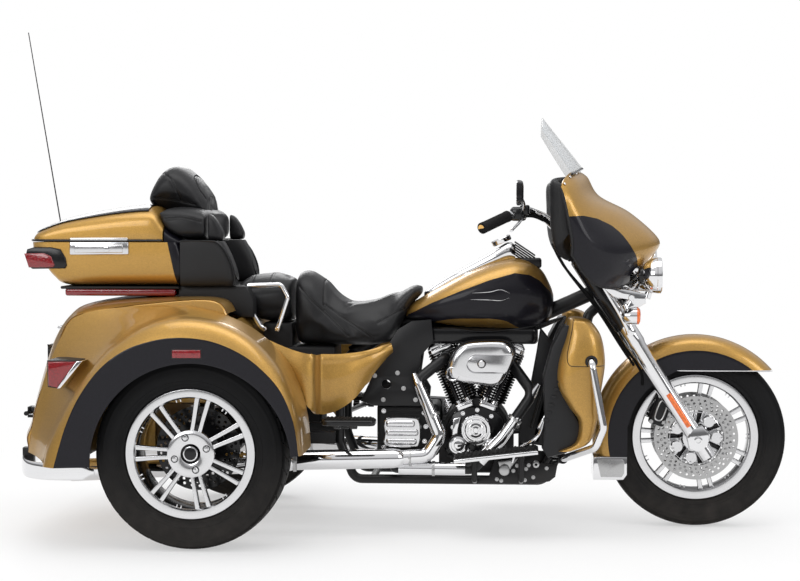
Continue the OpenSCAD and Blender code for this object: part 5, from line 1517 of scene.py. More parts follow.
class TRIKE_OT_tank(bpy.types.Operator):
    """Fuel tank in two paints, its chrome console, filler cap, badge strips and finned block"""
    bl_idname = "trike.tank"
    bl_label = "Fuel tank"

    def execute(self, context):
        form = tank_shape()
        x, z = form[0][:, 0], form[0][:, 2]
        upper = np.interp(x, *np.array([(664, 736), (686, 748), (760, 786), (860, 828), (960, 866),
                                        (1049, 891), (1100, 884), (1135, 864), (1173, 822),
                                        (1184, 800)]).T)
        lower = np.interp(x, *np.array([(700, 600), (760, 712), (777, 721), (820, 729), (860, 732),
                                        (964, 733), (1015, 726), (1067, 697), (1090, 600)]).T)
        zone = np.maximum(z - upper, lower - z)
        add_piece("fuel_tank_shell", (form[0], form[1], zone), "two_tone", "chassis", "fuel_tank",
                  angle=60)
        self.add_console()
        self.add_strips()
        return {"FINISHED"}

    @staticmethod
    def add_console():
        """Spine over the tank: a rounded section whose height above the tank follows a curve."""
        rows = curve([(728, 20, 796, 818), (760, 34, 812, 842), (830, 44, 850, 886),
                      (900, 50, 880, 924), (950, 54, 900, 952), (986, 56, 912, 974),
                      (1014, 54, 922, 992), (1034, 50, 926, 996), (1050, 44, 924, 984)], 6)
        r = rows[:, :, None]
        a = 2 * np.pi * (np.arange(56) + 0.5) / 56
        up = (r[:, 2] + r[:, 3]) / 2 + (r[:, 3] - r[:, 2]) / 2 * power(np.sin(a), 0.8)
        parts = [skin(np.stack([np.broadcast_to(r[:, 0], up.shape),
                                r[:, 1] * power(np.cos(a), 0.7), up], -1))]
        tilt = about("y", -24)
        parts.append(moved(turned([(0.5, 6), (24, 6), (30, 3), (32, 0), (32, -6), (0.5, -6)],
                                  axis="z", count=56), (884, -92, 874), about("x", 24) @ tilt))
        parts.append(moved(turned([(22, 0), (34, 0), (36, 4), (36, 16), (33, 20), (28, 20),
                                   (28, 14), (22, 12)], axis="z", count=56), (1004, 0, 992), tilt))
        for x, z in ((770, 846), (860, 902), (930, 941)):
            parts.append(moved(bolt(4.5, 4), (x, 0, z - 2), about("y", -26)))
        add_piece("tank_console_cover", join(*parts), "chrome", "chassis", "tank_console")
        dial = moved(turned([(0.5, 0), (27.5, 0), (27.5, 3), (0.5, 3)], axis="z", count=48),
                     (1004, 0, 992), tilt)
        dial = moved(dial, (-5, 0, 12))
        add_piece("fuel_gauge_face", dial, "dial", "chassis")
        fins = [round_box((1040, -46, 905), (1142, 46, 940), 8)]
        lean = about("y", 34)
        fins += [moved(round_box((-44, -44 + 2 * i, 0), (44, 44 - 2 * i, 5), 2, 2),
                       (1082, 0, 926 + 9 * i), lean) for i in range(6)]
        add_piece("console_finned_block", join(*fins), "black_metal", "chassis")

    @staticmethod
    def add_strips():
        """Two bright strips on each side of the tank, with no lettering."""
        piece = add_piece("strip_guide", tank_shape(), "dark", "chassis")
        strips = []
        for rows in ([(902, 0, 822), (960, 0, 826), (1000, 0, 834), (1030, 0, 822)],
                     [(896, 0, 800), (960, 0, 799), (1000, 0, 797), (1034, 0, 808)]):
            starts = evenly(curve(rows), 40) + (0, 400, 0)
            line, normal = traced(piece.data, starts, (0, -1, 0))
            width = np.sin(np.linspace(0.15, np.pi - 0.15, len(line))) * 3.4
            strips.append(tube(line + normal * 0.6, width, 12, 0.55))
        bpy.data.objects.remove(piece)
        add_piece("tank_strips", both(join(*strips)), "chrome", "chassis")


# ---------- engine ----------

CRANK = np.array([915.0, 0.0, 330.0])
BANK = 22.5


def on_bank(form, side):
    """The shape carried from a bank's own frame, with the crank at its origin, to that bank."""
    return moved(form, CRANK, about("y", side * BANK))


def side_bolts(places, y, head, tall):
    """Bolt heads that face the right side at rows of x and z."""
    return copies(bolt(head, tall), [(x, y, z) for x, z in places], [about("x", 90)] * len(places))


def scaled_rings(outline, rows):
    """Closed form from one outline in X and Z, repeated at each row's y and scale."""
    outline = np.asarray(outline, float)
    centre = outline.mean(0)
    rings = []
    for y, scale in rows:
        ring = centre + (outline - centre) * scale
        rings.append(np.stack([ring[:, 0], np.full(len(ring), y), ring[:, 1]], 1))
    return skin(np.array(rings))


class TRIKE_OT_cylinders(bpy.types.Operator):
    """Finned barrels and heads with bright fin edges, rocker covers and pushrod tubes"""
    bl_idname = "trike.cylinders"
    bl_label = "Cylinders"

    def execute(self, context):
        count = context.scene.trike_sizes.fin_count
        pitch = 138 / count
        black, rims, bright, tubes = [], [], [], []
        for side in LEFT, RIGHT:
            black.append(on_bank(turned([(48, 116), (48, 264)], axis="z", closed=False), side))
            black.append(on_bank(round_box((-50, -62, 260), (46, 62, 312), 4, 4, 20), side))
            for z in 122 + pitch * np.arange(count):
                thick = pitch * 0.42
                fin = [(47, z), (57, z), (57, z + thick), (47, z + thick)]
                rim = [(55, z + 0.5), (58, z + 0.5), (58, z + thick - 0.5), (55, z + thick - 0.5)]
                black.append(on_bank(turned(fin, axis="z"), side))
                rims.append(on_bank(turned(rim, axis="z"), side))
            for z in 264 + 9.5 * np.arange(5):
                black.append(on_bank(round_box((-57, -69, z), (53, 69, z + 4), 1.4, 5, 30), side))
                rim = round_box((-57.8, -69.8, z + 1), (53.8, 69.8, z + 3), 0.6, 5, 30)
                rims.append(on_bank(rim, side))
            bright.append(on_bank(round_box((-52, -76, 309), (48, 76, 325), 3, 4, 16), side))
            cover = plate([(-48, 323), (44, 323), (46, 332), (32, 345), (-36, 345), (-50, 332)],
                          -72, 72, 6, steps=3)
            bright.append(on_bank(cover, side))
            bright.append(on_bank(round_box((-40, -75, 331), (36, 75, 336), 2), side))
            corners = [(x, y, 325) for x in (-42, -2, 38) for y in (-69, 69)]
            bright.append(on_bank(copies(bolt(4.6, 5), corners), side))
            bright.append(on_bank(round_box((-30, -130, 95), (30, -94, 113), 3, 3, 6), side))
            bright.append(on_bank(round_box((-34, -124, 112), (34, -96, 116), 1.5, 3, 6), side))
            for x in (-17, 17):
                bright.append(on_bank(rod((x, -110, 114), (x, -107, 128), 11), side))
                tubes.append(on_bank(rod((x, -108, 124), (x * 0.9, -74, 300), 7.5), side))
        add_piece("cylinder_fins", join(*black), "wrinkle", "chassis", "cylinders", angle=30)
        add_piece("fin_edges", join(*rims), "alloy", "chassis", angle=30)
        add_piece("rocker_covers", join(*bright), "chrome", "chassis", angle=30)
        add_piece("pushrod_tubes", join(*tubes), "gloss_black", "chassis")
        return {"FINISHED"}


class TRIKE_OT_crankcase(bpy.types.Operator):
    """Crankcase, timing cover with its ringed cap, primary cover and gearbox with bolts"""
    bl_idname = "trike.crankcase"
    bl_label = "Crankcase"

    def execute(self, context):
        a = np.radians(np.linspace(8, 172, 40))
        arch = np.stack([915 + 118 * np.cos(a), 330 + 118 * np.sin(a)], 1)
        outline = [(784, 206), (800, 190), (1030, 190), (1046, 206), (1046, 344), *arch,
                   (784, 344)]
        case = [plate(outline, -104, -5, 7), plate(outline, 5, 104, 7),
                plate(outline, -6, 6, 1)]
        case += [round_box((790, -96, z), (1049, 96, z + 5), 2, 2) for z in (214, 232, 250)]
        add_piece("crankcase", join(*case), "wrinkle", "chassis", "engine_case", angle=30)
        back = ring_curve([(808, 268), (838, 242), (992, 242), (1016, 268), (1020, 330),
                           (1002, 394), (958, 418), (915, 424), (868, 416), (828, 392),
                           (806, 330)], 6)
        under = [scaled_rings(back, [(-106, 1), (-126, 1), (-132, 0.98), (-134, 0.95)])]
        caps = [disc(38, -164, -106, (853, 0, 294), edge=5), disc(34, -160, -106, (965, 0, 290),
                                                                edge=5)]
        add_piece("timing_case", join(*under, *caps), "gloss_black", "chassis", "engine_covers",
                  angle=40)
        rings = [(54, -120), (54, -160), (52, -166), (49, -168), (45, -168), (43.5, -164),
                 (40, -164), (39, -169), (35, -172), (30, -172), (29, -170.5), (26, -170.5),
                 (25, -173), (19, -173.6), (18, -172), (15, -172), (14, -174), (9, -174.4),
                 (8, -173.4), (3, -173.4)]
        shiny = [turned(rings, (915, 0, 346), closed=False, count=96)]
        screws = [(915 + 25 * s, 346) for s in (-1, 1)]
        shiny.append(side_bolts(screws, -170.5, 3.6, 3))
        round_edge = [(919, 413), (869, 401), (968, 392), (834, 352), (836, 286), (1004, 330),
                      (1004, 262), (900, 254)]
        shiny.append(side_bolts(round_edge, -133, 5.4, 6))
        shiny.append(plate([(837, 384), (862, 390), (852, 348), (850, 320), (862, 258),
                            (837, 256), (830, 320)], -150, -136, 3))
        shiny.append(plate([(862, 312), (904, 262), (864, 258)], -146, -138, 2))
        for centre, radius in (((853, 294), 30), ((965, 290), 27)):
            ring = [(radius, -162), (radius, -167), (radius - 5, -168), (radius - 8, -165),
                    (radius - 16, -165), (radius - 18, -168), (6, -169)]
            shiny.append(turned(ring, (centre[0], 0, centre[1]), closed=False, count=48))
        around = np.linspace(0, 2 * np.pi, 24, endpoint=False)
        hull = [(915 + 92 * math.cos(t), 330 + 92 * math.sin(t)) if math.cos(t) > 0 else
                (655 + 104 * math.cos(t), 335 + 104 * math.sin(t)) for t in around]
        hull = ring_curve(evenly(hull, 40), 2)
        shiny.append(scaled_rings(hull, [(106, 1), (176, 1), (190, 0.985), (197, 0.95),
                                         (200, 0.9)]))
        shiny.append(disc(56, 196, 206, (915, 0, 330), edge=4))
        shiny.append(disc(62, 196, 206, (660, 0, 335), edge=4))
        add_piece("engine_side_covers", join(*shiny), "chrome", "chassis", angle=30)
        box = [round_box((566, -98, 246), (784, 98, 428), 14, 5),
               round_box((688, -88, 187), (748, 88, 250), 8)]
        box += [round_box((574, -101, z), (776, 101, z + 5), 2, 2) for z in (268, 292, 396, 412)]
        add_piece("gearbox_shell", join(*box), "wrinkle", "chassis", "gearbox", angle=30)
        ends = ring_curve([(604, 290), (700, 287), (720, 300), (724, 338), (720, 376),
                           (700, 389), (604, 386), (599, 338)], 6)
        cover = [scaled_rings(ends, [(-98, 1), (-168, 1), (-176, 0.98), (-179, 0.94)])]
        cover += [round_box((602, -185, z - 13), (x, -160, z + 13), 11, 5)
                  for z, x in ((368, 706), (338, 718), (306, 712))]
        cover.append(side_bolts([(732, 398), (738, 350), (734, 298), (590, 404), (590, 276)],
                                -100, 6, 7))
        add_piece("gearbox_cover", join(*cover), "alloy", "chassis")
        return {"FINISHED"}


class TRIKE_OT_air_cleaner(bpy.types.Operator):
    """Air cleaner: domed outline with a sunk channel, a raised tongue and a round mouth"""
    bl_idname = "trike.air_cleaner"
    bl_label = "Air cleaner"

    def execute(self, context):
        rows = [[820, 545], [846, 522], [931, 508], [990, 506], [1022, 545], [1048, 610],
                [1040, 642], [1012, 660], [925, 660], [872, 650], [840, 622], [822, 580]]
        outline = ring_curve(rows)
        back = join(scaled_rings(outline, [(-172, 1.03), (-182, 1.03), (-186, 1.01)]),
                    turned([(33, -180), (33, 8)], (915, 0, 570), closed=False),
                    round_box((880, -100, 520), (950, -60, 600), 10, 4))
        add_piece("air_cleaner_back", back, "gloss_black", "chassis", "air_cleaner", angle=30)
        body = scaled_rings(outline, [(-180, 0.985), (-222, 0.98), (-232, 0.955), (-239, 0.91),
                                      (-243, 0.84), (-244.5, 0.7), (-245, 0.3)])

        def channel(grow):
            left = [(888 - grow + (29 + grow) * (1 - math.cos(t)),
                     584 + (29 + grow) * math.sin(t)) for t in np.linspace(-1.57, 1.57, 16)]
            return left + [(1100, 613 + grow), (1100, 555 - grow)]
        body = cut(body, plate(channel(5), -260, -238, 0.4))
        tongue = cut(plate(channel(0), -243, -228, 1.6),
                     scaled_rings(outline, [(-260, 0.94), (-200, 0.94)]), operation="INTERSECT")
        button = turned([(12, -238), (12, -246), (10, -248), (4, -248)], (936, 0, 583),
                        closed=False, count=40)
        mouth = turned([(25, -226), (25, -241), (22, -244), (19, -241), (19, -226)],
                       (838, 0, 548), count=48)
        add_piece("air_cleaner_cover", join(body, tongue, button, mouth), "alloy", "chassis",
                  angle=30)
        dark = join(disc(19.5, -232, -228, (838, 0, 548), edge=1),
                    disc(15, -244, -240, (936, 0, 583), edge=1, hole=11.5))
        add_piece("air_cleaner_mouth", dark, "gloss_black", "chassis")
        return {"FINISHED"}


def silencer(a, b, radius, mouth=60.0):
    """Round silencer between two points, whose far end is a rolled lip round a deep mouth."""
    a, b = np.asarray(a, float), np.asarray(b, float)
    long = float(np.linalg.norm(b - a))
    profile = [(radius * 0.62, 0), (radius * 0.9, 12), (radius, 34), (radius, long - 3),
               (radius - 1.5, long), (radius - 4.5, long), (radius - 6, long - 3),
               (radius - 6, long - mouth), (4, long - mouth)]
    return moved(turned(profile, axis="z", closed=False), a, towards(b - a))


class TRIKE_OT_exhausts(bpy.types.Operator):
    """Headers with heat shields and clamps, and a silencer low on each side"""
    bl_idname = "trike.exhausts"
    bl_label = "Exhausts"

    def execute(self, context):
        low = REAR_HUB[1] - 66
        tail = REAR_HUB[1] - 100
        rear = [(805.6, -72, 594.2), (805.6, -140, 594.2), (712, -196, 520), (792, -206, 330),
                (748, -214, low + 12), (600, -238, low + 5)]
        front = [(1024.4, -72, 594.2), (1024.4, -118, 594.2), (1112, -205, 480),
                 (1000, -206, 318), (905, -206, 217), (640, -200, 217), (600, 60, 217),
                 (550, 242, low - 9)]
        headers = join(tube(bend(rear, 30, 10), 19, 24), tube(bend(front, 40, 10), 19, 24))
        add_piece("exhaust_headers", headers, "black_metal", "chassis", "exhausts")
        shield = evenly(bend([(702, -199, 546), (792, -206, 330), (748, -214, low + 12),
                              (612, -236, low + 6)], 40, 12), 60)
        pipes = [tube(shield, np.interp(np.arange(60), [0, 5, 22], [8, 17, 24.5]), 28)]
        shield = evenly([(1132, -205, 512), (1100, -205, 462), (1004, -208, 322),
                         (930, -208, 244)], 40)
        pipes.append(tube(shield, np.interp(np.arange(40), [0, 5, 30], [6, 15, 22]), 24))
        pipes.append(tube([(880, -206, 217), (650, -201, 217)], 23, 24))
        for y, lead in ((RIGHT, (668, -233, low + 6)), (LEFT, (578, 228, low - 11))):
            pipes.append(silencer(lead, (262, y * 264, low - 1), 34, 10))
            pipes.append(silencer((300, y * 262, low), (-470, y * 320, tail), 38))
        add_piece("exhaust_pipes", join(*pipes), "chrome", "chassis", angle=30)
        bands = []
        for at, along in (((766, -202, 402), (64, -9, -168)), ((690, -222, low + 9), (1, 0, 0)),
                          ((1050, -206, 391), (-96, 0, -140)), ((970, -208, 284), (-74, 0, -78)),
                          ((770, -204, 217), (1, 0, 0)), ((296, -263, low), (1, 0.07, 0)),
                          ((296, 263, low), (1, -0.07, 0))):
            wide = 39.6 if abs(along[1]) == 0.07 else 26
            ring = turned([(wide - 3, -5), (wide, -5), (wide, 5), (wide - 3, 5)], axis="z")
            bands.append(moved(ring, at, towards(along)))
            bands.append(moved(bolt(4, 8), (at[0], at[1] - wide, at[2]), about("x", 90)))
        add_piece("exhaust_clamps", join(*bands), "steel", "chassis", angle=30)
        return {"FINISHED"}


# ---------- steered parts ----------


def leg_at(z, y=0.0, ahead=0.0):
    """Point on a fork leg's line at a height, with a shift forwards and square to the leg."""
    lean = np.array([math.cos(FORK_LEAN), 0, math.sin(FORK_LEAN)])
    return np.array([fork_x(z), y, z]) + lean * ahead


class TRIKE_OT_fork(bpy.types.Operator):
    """Fork sliders, upper covers, clamps, axle ends, calipers, side reflectors and hoses"""
    bl_idname = "trike.fork"
    bl_label = "Fork"

    def execute(self, context):
        lean = towards(leg_at(600) - leg_at(300))
        run = float(np.linalg.norm(leg_at(712) - leg_at(250)))
        profile = [(20, 0), (27, 5), (28.5, 60), (30, 150), (30, run - 90), (34, run - 76),
                   (34.5, run - 4), (31, run)]
        chrome = [moved(turned(profile, axis="z", closed=False, count=48),
                        leg_at(250, FORK_HALF), lean)]
        foot = plate([(-30, -30), (4, -42), (34, -18), (38, 22), (14, 52), (-22, 40), (-38, 6)],
                     FORK_HALF - 24, FORK_HALF + 30, 6)
        chrome.append(moved(foot, (FRONT_HUB[0], 0, FRONT_HUB[1])))
        chrome.append(turned([(14, 150), (14, 163), (11, 164), (8, 164), (7.5, 158), (2, 158)],
                             (FRONT_HUB[0], 0, FRONT_HUB[1]), closed=False, count=32))
        arm = [leg_at(z, FORK_HALF + 24, ahead) for z, ahead in
               ((902, 10), (890, 12), (820, 12), (740, 10), (700, 6), (672, 2))]
        chrome.append(tube(evenly(curve(arm, 5), 40), np.interp(np.arange(40), [0, 2, 20, 37, 39],
                                                                [8, 14, 17, 21, 15]),
                           20, 0.6, up=(0, 1, 0)))
        for z, ahead in ((896, 10), (690, 4)):
            chrome.append(moved(bolt(6, 6), leg_at(z, FORK_HALF + 33, ahead),
                                about("x", -90)))
        add_piece("fork_sliders", both(join(*chrome)), "chrome", "steering", "fork")
        upper = float(np.linalg.norm(leg_at(938) - leg_at(700)))
        black = moved(turned([(26, 0), (33, 4), (34, 10), (34, upper - 6), (30, upper)],
                             axis="z", closed=False, count=48), leg_at(700, FORK_HALF, -3), lean)
        yokes = []
        for z in (745, 925):
            tilt = about("y", -math.degrees(RAKE))
            near = round_box((-34, -38, -15), (34, 38, 15), 4, 4, 34)
            yokes.append(moved(near, (steer_x(z), 0, z), tilt))
            offset = (fork_x(z) - steer_x(z)) / 2
            wide = round_box((offset - 34, -FORK_HALF - 34, -14),
                             (offset + 38, FORK_HALF + 34, 14), 5, 5, 34)
            yokes.append(moved(wide, (steer_x(z), 0, z), tilt))
            yokes.append(moved(disc(22, 14, 24, (0, 0, 0), "z", 3, 6), (steer_x(z), 0, z), tilt))
        yokes.append(rod((steer_x(745), 0, 745), (steer_x(925), 0, 925), 17))
        add_piece("fork_covers", join(both(black), *yokes), "gloss_black", "steering")
        side = np.array([fork_x(440) - 92, 84.0, 372.0])
        turn = about("y", 20)
        caliper = [round_box((2, 1, 2), (60, 29, 108), 8, 4, 20),
                   round_box((8, 24, 14), (54, 33, 96), 4, 3, 18)]
        body = both(moved(join(*caliper), side, turn))
        add_piece("brake_calipers", body, "wrinkle", "steering")
        pins = copies(bolt(5.5, 6), [(x, 30, z) for x, z in ((12, 8), (12, 102), (52, 20),
                                                            (52, 90))],
                      [about("x", -90)] * 4)
        loop = ring_curve([(18, 30), (30, 20), (44, 30), (44, 80), (30, 92), (18, 80)], 6)
        rib = [(x, 33.5, z) for x, z in loop]
        bright = join(pins, tube(rib + rib[:1], 2.6, 8))
        add_piece("caliper_bolts", both(moved(bright, side, turn)), "steel", "steering")
        line = [leg_at(z, FORK_HALF + 27) for z in (362, 372, 420, 466, 476)]
        reflector = tube(curve(line, 4), [4] + [9.5] * 15 + [4], 16, 0.5, up=(0, 1, 0))
        add_piece("fork_reflectors", both(reflector), "amber", "steering", angle=50)
        hoses = []
        for y, sway in ((92, -36), (78, -46)):
            path = [(1180, y * 0.6, 990), (1230, y * 0.8, 900),
                    *[leg_at(z, y, sway) for z in (780, 660, 570)], (1494, 92, 500)]
            hoses.append(tube(curve(path), 4.6, 10))
        add_piece("brake_hoses", both(join(*hoses)), "rubber", "steering")
        return {"FINISHED"}


def fairing_grid(steps):
    """Smooth outer surface of the front fairing as a grid from the left edge to the right."""
    half = np.array([
        [[1262, 0, 1248], [1300, 0, 1226], [1342, 0, 1160], [1452, 0, 1100], [1552, 0, 1008],
         [1536, 0, 962], [1500, 0, 940]],
        [[1258, 110, 1246], [1296, 110, 1222], [1336, 110, 1158], [1436, 110, 1096],
         [1532, 112, 1004], [1516, 112, 940], [1476, 112, 888]],
        [[1246, 210, 1240], [1280, 212, 1212], [1316, 214, 1154], [1396, 216, 1086],
         [1466, 220, 992], [1452, 220, 906], [1408, 216, 846]],
        [[1228, 300, 1230], [1256, 306, 1200], [1284, 312, 1146], [1338, 318, 1066],
         [1380, 322, 980], [1374, 316, 900], [1338, 306, 850]],
        [[1210, 360, 1208], [1228, 370, 1180], [1246, 378, 1136], [1276, 382, 1060],
         [1298, 378, 988], [1298, 366, 930], [1286, 354, 888]],
        [[1200, 388, 1180], [1208, 393, 1160], [1216, 395, 1130], [1226, 395, 1082],
         [1236, 390, 1030], [1242, 380, 990], [1240, 370, 956]]], float)
    rows = np.concatenate([half[:0:-1] * (1, -1, 1), half])
    grid = curve(rows.reshape(len(rows), -1), steps).reshape(-1, half.shape[1], 3)
    return curve(grid.transpose(1, 0, 2).reshape(half.shape[1], -1),
                 steps).reshape(-1, len(grid), 3).transpose(1, 0, 2)


def fairing_zone(points):
    """Height above the painted line, whose own height falls with x: dark paint lies below it."""
    line = np.interp(points[:, 0], [1200, 1220, 1275, 1324, 1374, 1408, 1438, 1460, 1466, 1480],
                     [1084, 1086, 1089, 1079, 1056, 1028, 990, 953, 934, 800])
    return points[:, 2] - line


class TRIKE_OT_fairing(bpy.types.Operator):
    """Two-tone front fairing, its dark inner edge, dash with dials, and windshield with trim"""
    bl_idname = "trike.fairing"
    bl_label = "Front fairing"

    def execute(self, context):
        grid = fairing_grid(8)
        skin_ = cut(sheet(grid, -6),
                    disc(94, 1380, 1680, (0, 0, 905), "x", 0.5, 72),
                    *[disc(36, 1440, 1680, (0, s * 186, 884), "x", 0.5, 48) for s in (-1, 1)])
        painted = (skin_[0], skin_[1], fairing_zone(skin_[0]))
        add_piece("fairing_panel", painted, "two_tone", "steering", "fairing_shell", angle=40)
        edge = []
        for row in (grid[0], grid[-1]):
            edge.append(tube(evenly(row, 40) + (-3, 0, 0), 5, 12))
        edge.append(tube(evenly(grid[:, -1], 90) + (-2, 0, 1), 4, 12))
        add_piece("fairing_edging", join(*edge), "plastic", "steering")
        screws = []
        for u in np.linspace(-0.86, 0.86, 9):
            row = grid[int(round((u + 1) / 2 * (len(grid) - 1)))]
            screws.append(moved(turned([(5, -1), (5, 2.2), (3.6, 3.4), (1.5, 3.4)], axis="z",
                                       closed=False, count=16),
                                row[3] + (1, 0, 1), towards((0.6, 0, 0.8))))
        add_piece("windshield_screws", join(*screws), "chrome", "steering")
        self.dash()
        self.windshield()
        return {"FINISHED"}

    @staticmethod
    def dash():
        """Superellipse ribs across the dash, with two large and four small dials."""
        rows = curve([[-1, 40, 1196, 1030, 1190], [-0.93, 44, 1166, 990, 1206],
                      [-0.75, 44, 1176, 950, 1216], [-0.45, 30, 1214, 930, 1222],
                      [0, 24, 1226, 925, 1226], [0.45, 30, 1214, 930, 1222],
                      [0.75, 44, 1176, 950, 1216], [0.93, 44, 1166, 990, 1206],
                      [1, 40, 1196, 1030, 1190]], 6)
        a = 2 * np.pi * (np.arange(40) + 0.5) / 40
        u, wide, x, low, high = (rows[:, i:i + 1] for i in range(5))
        across = x + wide / 2 * (1 + power(np.cos(a), 0.7)) - (high - low) * 0.04 * np.sin(a)
        up = (low + high) / 2 + (high - low) / 2 * power(np.sin(a), 0.5)
        rings = np.stack([across, np.broadcast_to(u * 371, across.shape), up], -1)
        slot = [block((1000, 1420), (s * 120 - 100, s * 120 + 100), (900, 1030))
                for s in (-1, 1)]
        add_piece("dash_panel", cut(skin(rings), *slot), "plastic", "steering", "fairing_dash",
                  angle=40)
        faces, rims, hands = [], [], []
        for y, z, r in ((-62, 1128, 44), (62, 1128, 44), (-150, 1150, 24), (150, 1150, 24),
                        (-150, 1092, 24), (150, 1092, 24)):
            x = 1212 - abs(y) * 0.1
            faces.append(disc(r - 4, x - 6, x + 4, (0, y, z), "x", 1, 40))
            rims.append(turned([(r - 5, x + 6), (r, x + 6), (r, x - 10), (r - 2, x - 12),
                                (r - 5, x - 8)], (0, y, z), "x", 48))
            hands.append(rod((x - 8, y, z), (x - 8, y + r * 0.42, z + r * 0.42), 1.2, 6))
            hands.append(disc(3, x - 9, x - 5, (0, y, z), "x", 1, 16))
        add_piece("dial_faces", join(*faces), "dial", "steering")
        add_piece("dial_rims", join(*rims), "chrome", "steering")
        add_piece("dial_hands", join(*hands), "red", "steering")

    @staticmethod
    def windshield():
        """Screen that leans and bows back: x falls with height and with the square of width."""
        u = np.linspace(-1, 1, 49)[:, None]
        t = np.linspace(0, 1, 25)[None, :]
        back = 44 * u * u
        x = 1281 - back - (140 - back) * t
        y = u * (316 - 104 * t * t)
        z = (1256 - 26 * u * u) * (1 - t) + (1430 - 52 * np.abs(u)**3) * t
        grid = np.stack([x, y, z], -1)
        add_piece("windshield_screen", sheet(grid, -3), "screen", "steering", "windshield",
                  angle=60)
        foot = [p + (2, 0, -2) for p in grid[:, 0]]
        add_piece("windshield_trim", tube(foot, 5, 12, 0.7), "gloss_black", "steering")


def lamp_bucket(x, y, z, radius, deep, neck):
    """Lamp bucket turned round X: neck, bulging shell, seam and rolled rim, with a hollow front."""
    r = radius
    profile = [(neck, x), (r * 0.72, x + deep * 0.16), (r * 0.93, x + deep * 0.45),
               (r * 0.985, x + deep * 0.7), (r * 0.985, x + deep * 0.74), (r, x + deep * 0.76),
               (r, x + deep * 0.95), (r * 0.96, x + deep), (r * 0.86, x + deep),
               (r * 0.84, x + deep * 0.93), (r * 0.6, x + deep * 0.6), (r * 0.2, x + deep * 0.5)]
    return turned(profile, (0, y, z), "x", 64, closed=False)


def lamp_glass(x, y, z, radius, bulge):
    """Domed lens: its rim is flat and its middle stands forward by the bulge."""
    rows = [(radius * math.cos(t), x + bulge * math.sin(t)) for t in np.linspace(0, 1.5, 10)]
    return turned([(radius, x - 4), *rows, (1.0, x + bulge - 3), (radius - 3, x - 4)],
                  (0, y, z), "x", 48)


class TRIKE_OT_front_lamps(bpy.types.Operator):
    """Headlamp, passing lamps and turn signals with buckets, lenses, bulbs and brackets"""
    bl_idname = "trike.front_lamps"
    bl_label = "Front lamps"

    def execute(self, context):
        chrome = [lamp_bucket(1426, 0, 905, 90, 116, 52)]
        glass = [lamp_glass(1536, 0, 905, 80, 6)]
        bulbs = [disc(15, 1490, 1520, (0, 0, 905), "x", 8, 24)]
        amber, black = [], []
        for s in LEFT, RIGHT:
            chrome.append(lamp_bucket(1484, s * 186, 884, 62, 64, 30))
            glass.append(lamp_glass(1543, s * 186, 884, 54, 5))
            bulbs.append(disc(10, 1516, 1536, (0, s * 186, 884), "x", 5, 20))
            shell = [(8, 1414), (20, 1420), (28, 1434), (30, 1452), (30, 1464), (27, 1464),
                     (20, 1450), (4, 1450)]
            chrome.append(turned(shell, (0, s * 196, 746), "x", 40, closed=False))
            amber.append(turned([(27.5, 1460), (29, 1464), (28, 1472), (22, 1476), (8, 1478),
                                 (1, 1478)], (0, s * 196, 746), "x", 40, closed=False))
            bracket = plate([(1356, 862), (1378, 842), (1440, 834), (1490, 822), (1492, 790),
                             (1468, 776), (1450, 764), (1422, 762), (1428, 780), (1440, 800),
                             (1380, 812), (1352, 836)], s * 172 - 9, s * 172 + 9, 4)
            chrome.append(moved(bracket, (4, s * 14, 0)))
            chrome.append(rod((1422, s * 194, 786), (1432, s * 196, 762), 9))
            chrome.append(rod((1500, s * 186, 806), (1506, s * 186, 828), 12))
            chrome.append(rod((1392, s * 125, 808), (1450, s * 125, 808), 10))
            black.append(disc(30, 1470, 1490, (0, s * 186, 884), "x", 5, 32))
            black.append(round_box((1350, s * 74 - 16, 846), (1456, s * 74 + 16, 870), 6))
        chrome.append(rod((1446, -202, 808), (1446, 202, 808), 11))
        black.append(disc(58, 1404, 1436, (0, 0, 905), "x", 8, 48))
        add_piece("lamp_buckets", join(*chrome), "chrome", "steering", "front_lamps", angle=32)
        add_piece("lamp_mounts", join(*black), "gloss_black", "steering")
        add_piece("lamp_bulbs", join(*bulbs), "chrome", "steering")
        add_piece("lamp_glass", join(*glass), "clear", "steering", angle=50)
        add_piece("front_signal_lenses", join(*amber), "amber", "steering")
        return {"FINISHED"}


